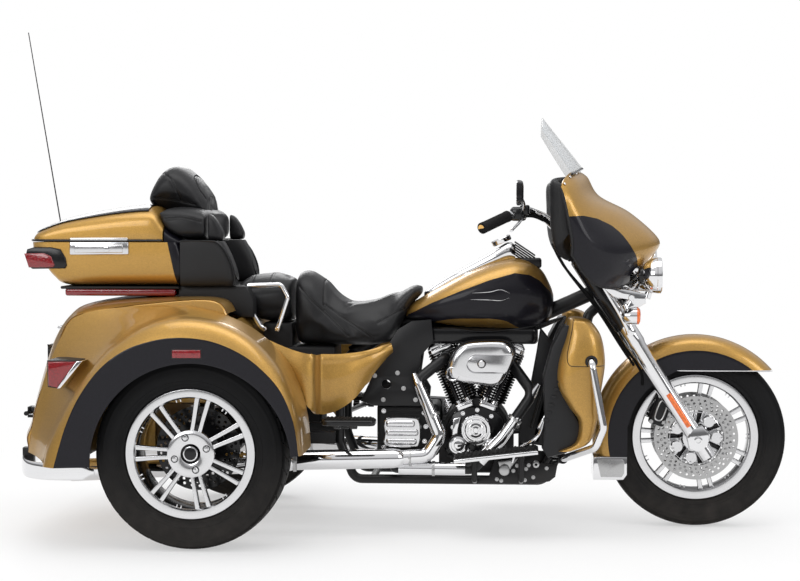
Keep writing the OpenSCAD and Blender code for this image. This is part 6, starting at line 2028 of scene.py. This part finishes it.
class TRIKE_OT_front_fender(bpy.types.Operator):
    """Front fender with a painted band over dark sides, bright trims and stays"""
    bl_idname = "trike.front_fender"
    bl_label = "Front fender"

    def execute(self, context):
        hub = (FRONT_HUB[0], 0, FRONT_HUB[1])
        out = curve([(238, -90), (280, -90), (308, -89), (334, -79), (349, -56), (356, -26),
                     (357, 0), (356, 26), (349, 56), (334, 79), (308, 89), (280, 90),
                     (238, 90)], 5)
        within = out[::-1] * (1, 0.955) - (4, 0)
        within[:, 0] = np.maximum(within[:, 0], 238)
        outline = np.vstack([out, within[np.abs(within[:, 1]) < 200]])
        band = turned(outline, hub, count=240)
        keep = np.array([[300, 236], [-66, 236], [-150, 190], [-238, 40], [-238, -66],
                         [-400, -66], [-400, 400], [300, 400]]) + (hub[0], hub[2])
        keep = [*keep[:1], *evenly(np.vstack([keep[0], keep[1]]), 3)[1:2], *keep[1:]]
        form = cut(band, plate(keep, -200, 200, 0.5), operation="INTERSECT")
        r = np.hypot(form[0][:, 0] - hub[0], form[0][:, 2] - hub[2])
        form = (form[0], form[1], r - 306)
        add_piece("front_fender_panel", form, "two_tone", "steering", "front_fender", angle=30)
        rim = plate([(-356, -67), (-239, -67), (-239, -130), (-252, -148), (-356, -148)],
                    -94, 94, 3)
        trims = [cut(moved(rim, hub), disc(340, -85, 85, hub, "y", 0.5, 120))]
        strip = [(1612, 91, 551), (1640, 92, 551), (1800, 92, 551), (1940, 91, 551)]
        trims.append(both(tube(evenly(strip, 30), [1.5] + [4.5] * 28 + [2.5], 12, 0.6)))
        stay = rod((fork_x(560), 84, 560), (fork_x(560), 97, 560), 14)
        trims.append(both(stay))
        add_piece("front_fender_trims", join(*trims), "chrome", "steering", angle=32)
        inset = plate(np.array([(-344, -76), (-256, -76), (-249, -84), (-249, -124), (-258, -138),
                                (-330, -138)]) + (hub[0], hub[2]), 93, 96, 1)
        add_piece("fender_trim_insets", both(inset), "steel", "steering")
        return {"FINISHED"}


class TRIKE_OT_handlebar(bpy.types.Operator):
    """Handlebar, grips, switch boxes, levers, mirrors and cables"""
    bl_idname = "trike.handlebar"
    bl_label = "Handlebar"

    def execute(self, context):
        path = [(1298, 0, 975), (1262, 70, 972), (1150, 130, 1086), (1096, 230, 1106),
                (1032, 330, 1091), (938, 447, 1046)]
        line = bend(path, 36, 10)
        chrome = [both(tube(line, 13, 24))]
        turn = about("y", -math.degrees(RAKE))
        for y in (-45, 45):
            riser = round_box((-47, -14, 15), (-9, 14, 60), 5, 4, 12)
            chrome.append(moved(moved(riser, (0, y, 0)), (steer_x(925), 0, 925), turn))
        lever = [(1080, 306, 1082), (1072, 330, 1080), (1060, 380, 1062), (1036, 430, 1038)]
        chrome.append(both(tube(curve(lever), np.interp(np.linspace(0, 1, 25), [0, 0.2, 0.9, 1],
                                                           [8, 6, 5, 7]), 12, 0.6)))
        stem = [(1070, 316, 1102), (1078, 340, 1126), (1068, 372, 1150)]
        chrome.append(both(tube(curve(stem), 5.5, 12)))
        add_piece("handlebar_tubes", join(*chrome), "chrome", "steering", "handlebar", angle=40)
        a, b = np.array([1024.0, 340, 1087]), np.array([938.0, 447, 1046])
        long = float(np.linalg.norm(b - a))
        places = np.linspace(0, long - 4, 34)
        radius = 17.4 + 1.4 * (np.arange(34) % 2)
        radius[:3], radius[-4:] = 19.4, 19.2
        grip = [(12, 0), *zip(radius, places), (14, long)]
        grip = moved(turned(grip, axis="z", closed=False, count=40), a, towards(b - a))
        add_piece("hand_grips", both(grip), "rubber", "steering", angle=50)
        turn = about("z", 10)
        boxes = [round_box((2, 2, 2), (54, 44, 50), 10, 4, 16),
                 round_box((8, 42, 6), (48, 60, 46), 8, 4, 14),
                 round_box((34, 6, 22), (66, 40, 56), 6, 4, 12)]
        boxes = [moved(box, (1036, 266, 1069), turn) for box in boxes]
        head = ring_curve([(346, 1140), (352, 1128), (400, 1128), (448, 1134), (454, 1148),
                           (452, 1186), (444, 1200), (400, 1206), (356, 1206), (345, 1192)], 6)
        rings = []
        for x, scale in ((1054, 0.94), (1056, 0.985), (1062, 1.0), (1070, 0.96), (1075, 0.84),
                         (1077, 0.5)):
            ring = head.mean(0) + (head - head.mean(0)) * scale
            rings.append(np.stack([np.full(len(ring), x), ring[:, 0], ring[:, 1]], 1))
        boxes.append(skin(np.array(rings)))
        add_piece("switch_boxes", both(join(*boxes)), "gloss_black", "steering")
        keys = copies(round_box((0, 0, 0), (3, 8, 8), 1, 2),
                      [(1032, 274 + 13 * i, 1080 + 11 * j) for i in range(3) for j in range(3)])
        add_piece("switch_keys", both(keys), "plastic", "steering")
        mirror = []
        for x, scale in ((1052.5, 0.90), (1054.5, 0.92)):
            ring = head.mean(0) + (head - head.mean(0)) * scale
            mirror.append(np.stack([np.full(len(ring), x), ring[:, 0], ring[:, 1]], 1))
        add_piece("mirror_glass", both(skin(np.array(mirror))), "chrome", "steering", angle=30)
        cables = []
        for i in range(3):
            cable = [(1066, 290 - 12 * i, 1084), (1120, 220 - 10 * i, 1084 + 6 * i),
                     (1176, 128 - 8 * i, 1050 + 5 * i), (1214, 70 - 6 * i, 980 + 8 * i),
                     (1240, 40 - 4 * i, 930 + 6 * i)]
            cables.append(tube(curve(cable), 3.6, 10))
        add_piece("bar_cables", both(join(*cables)), "rubber", "steering")
        return {"FINISHED"}


# ---------- frame, guards and boards ----------


class TRIKE_OT_frame_tubes(bpy.types.Operator):
    """Frame tubes with smooth bends, steering head, cross members, plates, cooler and wiring"""
    bl_idname = "trike.frame_tubes"
    bl_label = "Frame tubes"

    def execute(self, context):
        back = bend([(steer_x(835) - 12, 0, 835), (1150, 0, 742), (650, 0, 712), (470, 0, 600)],
                    90, 10)
        down = bend([(steer_x(800) - 20, 24, 800), (1306, 40, 738), (1296, 50, 640),
                     (1192, 112, 240), (1150, 140, 170), (490, 140, 170), (440, 140, 300),
                     (440, 140, 560), (470, 20, 600)], 40, 8)
        parts = [tube(back, 26, 28), both(tube(down, 16, 20)),
                 rod((steer_x(765), 0, 765), (steer_x(905), 0, 905), 30, 36)]
        parts += [round_box((x - 12, -140, 175), (x + 12, 140, 186), 2, 2)
                  for x in (560, 700, 840, 980, 1080)]
        parts.append(round_box((350, -140, 420), (446, 140, 429.7), 2, 2))
        pins = [rod((446, 140, 378), (480, 343, 378), 9), rod((471, 352, 378), (489, 352, 378), 9),
                rod((440, 352, 378), (520, 352, 378), 5)]
        parts.append(both(join(*pins)))
        gusset = plate([(758, 728), (690, 722), (640, 692), (596, 620), (552, 530), (510, 440),
                        (560, 424), (742, 424), (746, 470), (712, 530), (722, 600), (766, 650)],
                       112, 122, 3, holes=[circle((600, 500), 16)])
        low = plate([(980, 243), (1198, 231), (1190, 186), (1170, 170), (1114, 160),
                     (904, 160), (904, 176), (960, 186)], 158, 166, 3)
        parts += [both(gusset), both(low)]
        add_piece("frame_tubes", join(*parts), "black_metal", "chassis", "frame")
        heads = [side_bolts([(988, 176), (1003, 171), (1085, 174), (1114, 184), (1089, 213),
                             (1058, 224), (1098, 226), (1045, 206), (1160, 216)], -165, 5, 6),
                 side_bolts([(703, 446), (661, 486), (590, 446), (560, 530), (640, 540)], -121, 6,
                            6)]
        heads.append(disc(19, -200, -166, (1014, 0, 212), edge=4))
        heads.append(plate([(992, 240), (1060, 250), (1042, 226), (1028, 204), (1002, 200)],
                           -184, -168, 4))
        heads.append(disc(12, -186, -164, (1123, 0, 231), edge=3, hole=5))
        add_piece("frame_bolts", join(*heads), "steel", "chassis", angle=30)
        self.cooler()
        self.wiring()
        return {"FINISHED"}

    @staticmethod
    def cooler():
        """Oil cooler between the down tubes: a case with rows of thin fins, leaning with them."""
        box = [round_box((-20, -92, -110), (20, 92, 110), 6, 4, 10)]
        box += [round_box((-24, -84, z), (24, 84, z + 3), 1, 2) for z in np.arange(-96, 96, 9)]
        box = moved(join(*box), (1148, 0, 400), about("y", 14.6))
        shroud = plate([(1062, 296), (1150, 284), (1172, 470), (1180, 640), (1140, 690),
                        (1126, 600), (1104, 480), (1072, 380)], 84, 92, 3)
        add_piece("oil_cooler", join(box, both(shroud)), "wrinkle", "chassis")

    @staticmethod
    def wiring():
        """Intake body, coils and cables in the gap between the engine and the tank."""
        parts = [round_box((800, -44, 640), (1040, 44, 682), 10, 4, 14),
                 round_box((868, -60, 588), (962, 60, 644), 12, 4, 20),
                 round_box((700, -96, 640), (1130, 96, 700), 14, 4, 24)]
        for i, y in enumerate((-96, -84, -72)):
            path = [(1226, y + 20, 736), (1196, y, 690 - 14 * i), (1168, y - 16, 600),
                    (1140, y - 22, 470), (1106, y - 26, 350)]
            parts.append(tube(curve(path), 5, 10))
            over = [(700, y, 668), (800, y + 8, 694 - 6 * i), (940, y, 684 + 4 * i),
                    (1090, y + 6, 700 - 8 * i), (1226, y + 20, 736)]
            parts.append(tube(curve(over), 5, 10))
        add_piece("engine_wiring", join(*parts), "gloss_black", "chassis", angle=40)


class TRIKE_OT_lower_fairings(bpy.types.Operator):
    """Leg fairings with a glovebox seam and an inner duct, and the guard tube round them"""
    bl_idname = "trike.lower_fairings"
    bl_label = "Lower fairings and guard"

    def execute(self, context):
        rows = curve([[300, 1196, 1240, 300, 366], [330, 1252, 1300, 288, 372],
                      [400, 1262, 1326, 262, 380], [450, 1228, 1330, 244, 384],
                      [520, 1190, 1342, 226, 386], [600, 1190, 1352, 206, 384],
                      [680, 1212, 1340, 196, 376], [728, 1222, 1310, 204, 360],
                      [742, 1228, 1286, 214, 346], [746, 1236, 1268, 228, 330]])
        a = 2 * np.pi * (np.arange(64) + 0.5) / 64
        z, x0, x1, y0, y1 = (rows[:, i:i + 1] for i in range(5))
        rings = np.stack([(x0 + x1) / 2 + (x1 - x0) / 2 * power(np.cos(a), 0.72),
                          (y0 + y1) / 2 + (y1 - y0) / 2 * power(np.sin(a), 0.72),
                          np.broadcast_to(z, (len(rows), 64))], -1)
        shell = add_piece("leg_fairing_shells", both(skin(rings)), "gold", "chassis",
                          "lower_fairings", angle=50)
        seam = [(1244, -600, 742), (1240, -600, 708), (1226, -600, 640), (1224, -600, 610),
                (1230, -600, 593), (1248, -600, 588), (1348, -600, 588)]
        line, normal = traced(shell.data, evenly(curve(seam), 80), (0, 1, 0))
        groove_ = both(tube(line + normal * 0.2, 1.3, 8))
        collar = both(turned([(13, 380), (19, 380), (21, 384), (19, 388), (13, 388)],
                             (1303, 0, 604), count=32))
        duct = plate([(1240, 728), (1208, 716), (1172, 650), (1144, 547), (1148, 449),
                      (1150, 366), (1140, 309), (1160, 276), (1222, 292), (1262, 330),
                      (1272, 383), (1214, 490), (1204, 539), (1226, 640)], 214, 346, 10)
        slots = [round_box((1146 + 9 * i, 206, 400 + 26 * i), (1162 + 9 * i, 354, 408 + 26 * i),
                           2, 2) for i in range(6)]
        add_piece("leg_fairing_ducts", both(join(duct, *slots)), "plastic", "chassis", angle=40)
        add_piece("leg_fairing_seams", join(groove_, collar), "gloss_black", "chassis")
        guard = bend([(1276, 30, 628), (1296, 200, 640), (1303, 392, 604), (1343, 402, 385),
                      (1318, 384, 318), (1216, 250, 262), (1186, 60, 240)], 34, 10)
        clamp = rod((1214, 246, 261), (1196, 160, 251), 18, 24)
        add_piece("guard_tubes", both(tube(guard, 13, 24)), "chrome", "chassis", "engine_guard")
        add_piece("guard_clamps", both(clamp), "gloss_black", "chassis")
        return {"FINISHED"}


class TRIKE_OT_boards(bpy.types.Operator):
    """Rider's boards with rubber ribs and bright edges, pedal, and the passenger's boards"""
    bl_idname = "trike.boards"
    bl_label = "Footboards"

    def execute(self, context):
        lean = about("y", -6.84)
        at = (862, 0, 262)
        tray = round_box((-18, 240, 0), (270, 370, 13), 4, 5, 20)
        pads = [round_box((-12, 246, 12), (264, 364, 16), 2, 5, 16)]
        pads += [round_box((x, 250, 15), (x + 8, 360, 19), 3) for x in np.arange(-6, 252, 15)]
        edge = round_box((-16, 368, -3), (268, 374, 10), 3)
        struts = [rod((x, 158, 168), (x, 244, 186), 9) for x in (912, 1072)]
        struts += [rod((x, 244, 182), (x, 244, top), 10) for x, top in ((912, 270), (1072, 289))]
        black = join(moved(tray, at, lean), *struts)
        add_piece("rider_board_trays", both(black), "black_metal", "chassis", "rider_boards")
        add_piece("rider_board_pads", both(moved(join(*pads), at, lean)), "rubber", "chassis",
                  angle=40)
        pedal = [tube(curve([(1042, -236, 246), (1060, -256, 292), (1100, -300, 322),
                             (1132, -310, 352), (1146, -310, 396)]), 8, 16, 0.7)]
        pedal.append(moved(round_box((-34, -22, 0), (34, 22, 8), 3, 4, 14),
                           (1146, -310, 398), about("y", -62)))
        add_piece("rider_board_edges", join(both(moved(edge, at, lean)), *pedal), "chrome",
                  "chassis")
        for side, name in ((RIGHT, "passenger_board_right"), (LEFT, "passenger_board_left")):
            form = [round_box((407, 367, 391), (587, 461, 410), 6, 5, 22)]
            form += [rod((x, 352, 378), (x + 22, 352, 378), 9) for x in (441, 497)]
            form += [round_box((x, 355, 376), (x + 22, 384, 394), 3) for x in (441, 497)]
            pad = [round_box((413, 373, 408), (581, 455, 413), 2, 5, 18)]
            pad += [round_box((x, 377, 412), (x + 7, 451, 415.5), 2.5)
                    for x in np.arange(420, 572, 13)]
            form, pad = join(*form), join(*pad)
            if side == RIGHT:
                form, pad = mirrored(form), mirrored(pad)
            add_piece(name + "_tray", form, "gloss_black", name, name)
            add_piece(name + "_pad", pad, "rubber", name, angle=40)
        return {"FINISHED"}


class TRIKE_OT_small_fittings(bpy.types.Operator):
    """Aerial with its spring and bracket, and the number plate holder"""
    bl_idname = "trike.small_fittings"
    bl_label = "Aerial and plate holder"

    def execute(self, context):
        foot = np.array([-640, BOX_HALF + 24, 905.0])
        tip = np.array([-784, BOX_HALF + 24, 1782.0])
        way = unit(tip - foot)
        whip = tube([foot + way * d for d in (0, 60, 400, 886)], [3.2, 2.6, 2.3, 1.8], 12)
        mast = moved(turned([(5, -12), (7, -8), (7, 20), (6, 22), (6, 44), (7, 46), (7, 66),
                             (4, 70), (3, 72)], axis="z", closed=False, count=28),
                     foot, towards(way))
        coil = []
        for a in np.linspace(0, 14 * np.pi, 140):
            coil.append([5.6 * math.cos(a), 5.6 * math.sin(a), 23 + a * 20 / (14 * np.pi)])
        spring = moved(tube(coil, 1.3, 8), foot, towards(way))
        arm = round_box((foot[0] - 12, BOX_HALF - 18, foot[2] - 13),
                        (foot[0] + 100, foot[1] + 8, foot[2] - 3), 3, 4, 12)
        add_piece("aerial", join(whip, mast, spring, arm), "black_metal", "chassis", "antenna",
                  angle=40)
        outline = ring_curve([(-104, 538), (-104, 626), (-98, 630), (98, 630), (104, 626),
                              (104, 538), (98, 535), (-98, 535)], 3)
        flat = plate(outline, 600, 606, 1.2, holes=[circle((s * 89, 610), 3.5, 16)
                                                    for s in (-1, 1)])
        holder = [moved(flat, turn=about("z", 90))]
        holder += [rod((-604, y, 580), (-572, y, 580), 9) for y in (-60, 60)]
        add_piece("plate_holder", join(*holder), "black_metal", "trunk_door", "plate_bracket")
        return {"FINISHED"}


# ---------- frame parts that stay as they are ----------

KEPT = {
    "frame": "black_metal", "engine_case": "wrinkle", "cylinders": "wrinkle",
    "engine_covers": "chrome", "gearbox": "wrinkle", "air_cleaner": "chrome", "exhausts": "chrome",
    "fuel_tank": "two_tone", "tank_console": "chrome", "battery_case": "plastic",
    "rider_seat": "leather", "pillion_seat": "leather", "grab_rails": "chrome",
    "trunk_body": "gold", "trunk_door": "gold", "rear_fenders": "gold", "side_panels": "gold",
    "rear_axle": "black_metal", "rear_bumper": "chrome", "rear_lights": "red",
    "plate_bracket": "black_metal", "top_box": "gold", "top_box_lid": "gold",
    "backrest": "leather", "armrests": "leather", "speaker_pods": "plastic",
    "antenna": "black_metal", "lower_fairings": "gold", "engine_guard": "chrome",
    "rider_boards": "rubber", "passenger_board_right": "black_metal",
    "passenger_board_left": "black_metal", "fork": "chrome", "handlebar": "chrome",
    "fairing_shell": "gold", "fairing_dash": "plastic", "windshield": "screen",
    "front_lamps": "chrome", "front_fender": "gold", "front_wheel": "alloy",
    "front_tyre": "rubber", "rear_wheel_right": "alloy", "rear_tyre_right": "rubber",
    "rear_wheel_left": "alloy", "rear_tyre_left": "rubber",
}


class TRIKE_OT_kept_parts(bpy.types.Operator):
    """Give the frame parts that keep their own shape their finishes"""
    bl_idname = "trike.kept_parts"
    bl_label = "Kept parts"

    def execute(self, context):
        for name, finish in KEPT.items():
            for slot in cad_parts[name].material_slots:
                slot.material = FINISH[finish]
        return {"FINISHED"}


# ---------- stage ----------


def area_light(name, place, aim, size, watts):
    lamp = bpy.data.lights.new(name, "AREA")
    lamp.shape, lamp.size, lamp.size_y = "RECTANGLE", size[0], size[1]
    lamp.energy = watts
    holder = bpy.data.objects.new(name, lamp)
    bpy.context.scene.collection.objects.link(holder)
    holder.location = place
    holder.rotation_euler = (Vector(aim) - Vector(place)).to_track_quat("-Z", "Y").to_euler()


class TRIKE_OT_stage(bpy.types.Operator):
    """Pale floor, plain world, soft lamps and the camera"""
    bl_idname = "trike.stage"
    bl_label = "Stage"

    def execute(self, context):
        scene = context.scene
        scene.view_settings.view_transform = "Standard"
        self.make_world(scene)
        self.make_floor(scene)
        area_light("overhead softbox", (0.2, -0.6, 4.2), (0.1, 0.0, 0.4), (4.5, 2.6), 78)
        area_light("side softbox", (-2.6, -4.6, 2.6), (0.0, 0.0, 0.6), (2.6, 2.0), 64)
        area_light("front softbox", (4.2, -3.0, 2.4), (0.3, 0.0, 0.6), (1.8, 1.8), 46)
        area_light("back softbox", (-1.5, 4.6, 2.8), (0.0, 0.0, 0.6), (3.0, 1.6), 70)
        lens = bpy.data.cameras.new("camera")
        lens.lens, lens.sensor_width = 79.15, 36.0
        lens.clip_start, lens.clip_end = 0.1, 200.0
        camera = bpy.data.objects.new("camera", lens)
        scene.collection.objects.link(camera)
        camera.location = (0.4485, -6.240, 1.080)
        camera.rotation_euler = (math.radians(90 - 2.35), 0.0, math.radians(3.79))
        scene.camera = camera
        return {"FINISHED"}

    @staticmethod
    def make_world(scene):
        """White for the camera and through glass; elsewhere a pale dome, greyer at the horizon."""
        world = bpy.data.worlds.new("studio")
        scene.world = world
        world.use_nodes = True
        tree = world.node_tree
        tree.nodes.clear()
        ray = add(tree, "LightPath")
        seen = add(tree, "Math", {0: ray.outputs["Is Camera Ray"],
                                  1: ray.outputs["Is Transmission Ray"]}, operation="MAXIMUM")
        up = add(tree, "SeparateXYZ", {0: add(tree, "TexCoord").outputs["Generated"]})
        ramp = add(tree, "ValToRGB", {"Fac": add(tree, "MapRange", {
            "Value": up.outputs["Z"], "From Min": -1.0, "From Max": 1.0}).outputs[0]})
        stops = ramp.color_ramp.elements
        stops[0].position, stops[0].color = 0.4, (0.5, 0.5, 0.5, 1)
        stops[1].position, stops[1].color = 1.0, (0.95, 0.95, 0.95, 1)
        for place, level in ((0.5, 0.16), (0.56, 0.2), (0.66, 0.78)):
            stops.new(place).color = (level, level, level * 1.02, 1)
        dome = add(tree, "Background", {"Color": ramp.outputs[0], "Strength": 0.85})
        white = add(tree, "Background", {"Color": (1, 1, 1, 1), "Strength": 1.0})
        mixed = add(tree, "MixShader", {0: seen.outputs[0]})
        tree.links.new(dome.outputs[0], mixed.inputs[1])
        tree.links.new(white.outputs[0], mixed.inputs[2])
        add(tree, "OutputWorld", {"Surface": mixed.outputs[0]})

    @staticmethod
    def make_floor(scene):
        """Round floor, whose own shade turns to the background's white with distance."""
        mesh = bpy.data.meshes.new("floor")
        work = bmesh.new()
        bmesh.ops.create_circle(work, cap_ends=True, segments=96, radius=60.0)
        work.to_mesh(mesh)
        work.free()
        floor = bpy.data.objects.new("floor", mesh)
        scene.collection.objects.link(floor)
        floor.location.z = -0.0015
        material, tree, shader = blank_material("floor", Base_Color=(0.9, 0.9, 0.9, 1),
                                                Roughness=0.6)
        far = add(tree, "VectorMath", {0: texture_place(tree)}, operation="LENGTH")
        fade = add(tree, "MapRange", {"Value": far.outputs["Value"], "From Min": 0.9,
                                      "From Max": 2.6, "To Min": 0.5},
                   interpolation_type="SMOOTHSTEP")
        ray = add(tree, "LightPath")
        seen = add(tree, "Math", {0: ray.outputs["Is Camera Ray"],
                                  1: ray.outputs["Is Glossy Ray"]}, operation="MAXIMUM")
        through = add(tree, "Math", {0: seen.outputs[0], 1: ray.outputs["Is Transmission Ray"]},
                      operation="MAXIMUM")
        amount = add(tree, "Math", {0: fade.outputs[0], 1: through.outputs[0]},
                     operation="MULTIPLY")
        white = add(tree, "Emission", {"Color": (1, 1, 1, 1), "Strength": 1.0})
        mixed = add(tree, "MixShader", {0: amount.outputs[0]})
        tree.links.new(shader.outputs[0], mixed.inputs[1])
        tree.links.new(white.outputs[0], mixed.inputs[2])
        tree.links.new(mixed.outputs[0], tree.nodes["Material Output"].inputs[0])
        mesh.materials.append(material)


class TRIKE_OT_finishes(bpy.types.Operator):
    """Make every finish from the colour settings"""
    bl_idname = "trike.finishes"
    bl_label = "Finishes"

    def execute(self, context):
        FINISH.update(make_materials(context.scene.trike_colours, context.scene.trike_sizes))
        return {"FINISHED"}


# ---------- panel and registration ----------

STEPS = [TRIKE_OT_finishes, TRIKE_OT_kept_parts, TRIKE_OT_tyres, TRIKE_OT_rear_wheels,
         TRIKE_OT_front_wheel, TRIKE_OT_fenders, TRIKE_OT_rear_body, TRIKE_OT_side_panels,
         TRIKE_OT_bumper, TRIKE_OT_rear_lamps, TRIKE_OT_top_box, TRIKE_OT_seats,
         TRIKE_OT_backrest, TRIKE_OT_pods, TRIKE_OT_grab_rails, TRIKE_OT_tank,
         TRIKE_OT_cylinders, TRIKE_OT_crankcase, TRIKE_OT_air_cleaner, TRIKE_OT_exhausts,
         TRIKE_OT_fork, TRIKE_OT_fairing, TRIKE_OT_front_lamps, TRIKE_OT_front_fender,
         TRIKE_OT_handlebar, TRIKE_OT_frame_tubes, TRIKE_OT_lower_fairings, TRIKE_OT_boards,
         TRIKE_OT_small_fittings, TRIKE_OT_stage]


class TRIKE_PT_panel(bpy.types.Panel):
    """Steps that build the trike, and its sizes and colours"""
    bl_idname = "TRIKE_PT_panel"
    bl_label = "Touring trike"
    bl_space_type = "VIEW_3D"
    bl_region_type = "UI"
    bl_category = "Trike"

    def draw(self, context):
        for settings in (context.scene.trike_colours, context.scene.trike_sizes):
            for name in settings.__annotations__:
                self.layout.prop(settings, name)
        for step in STEPS:
            self.layout.operator(step.bl_idname)


CLASSES = [TrikeColours, TrikeSizes, *STEPS, TRIKE_PT_panel]


def register():
    for one in CLASSES:
        bpy.utils.register_class(one)
    bpy.types.Scene.trike_colours = PointerProperty(type=TrikeColours)
    bpy.types.Scene.trike_sizes = PointerProperty(type=TrikeSizes)


def unregister():
    del bpy.types.Scene.trike_sizes
    del bpy.types.Scene.trike_colours
    for one in reversed(CLASSES):
        bpy.utils.unregister_class(one)


def main():
    register()
    for step in STEPS:
        group, name = step.bl_idname.split(".")
        getattr(getattr(bpy.ops, group), name)()
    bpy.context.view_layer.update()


if __name__ == "__main__":
    main()
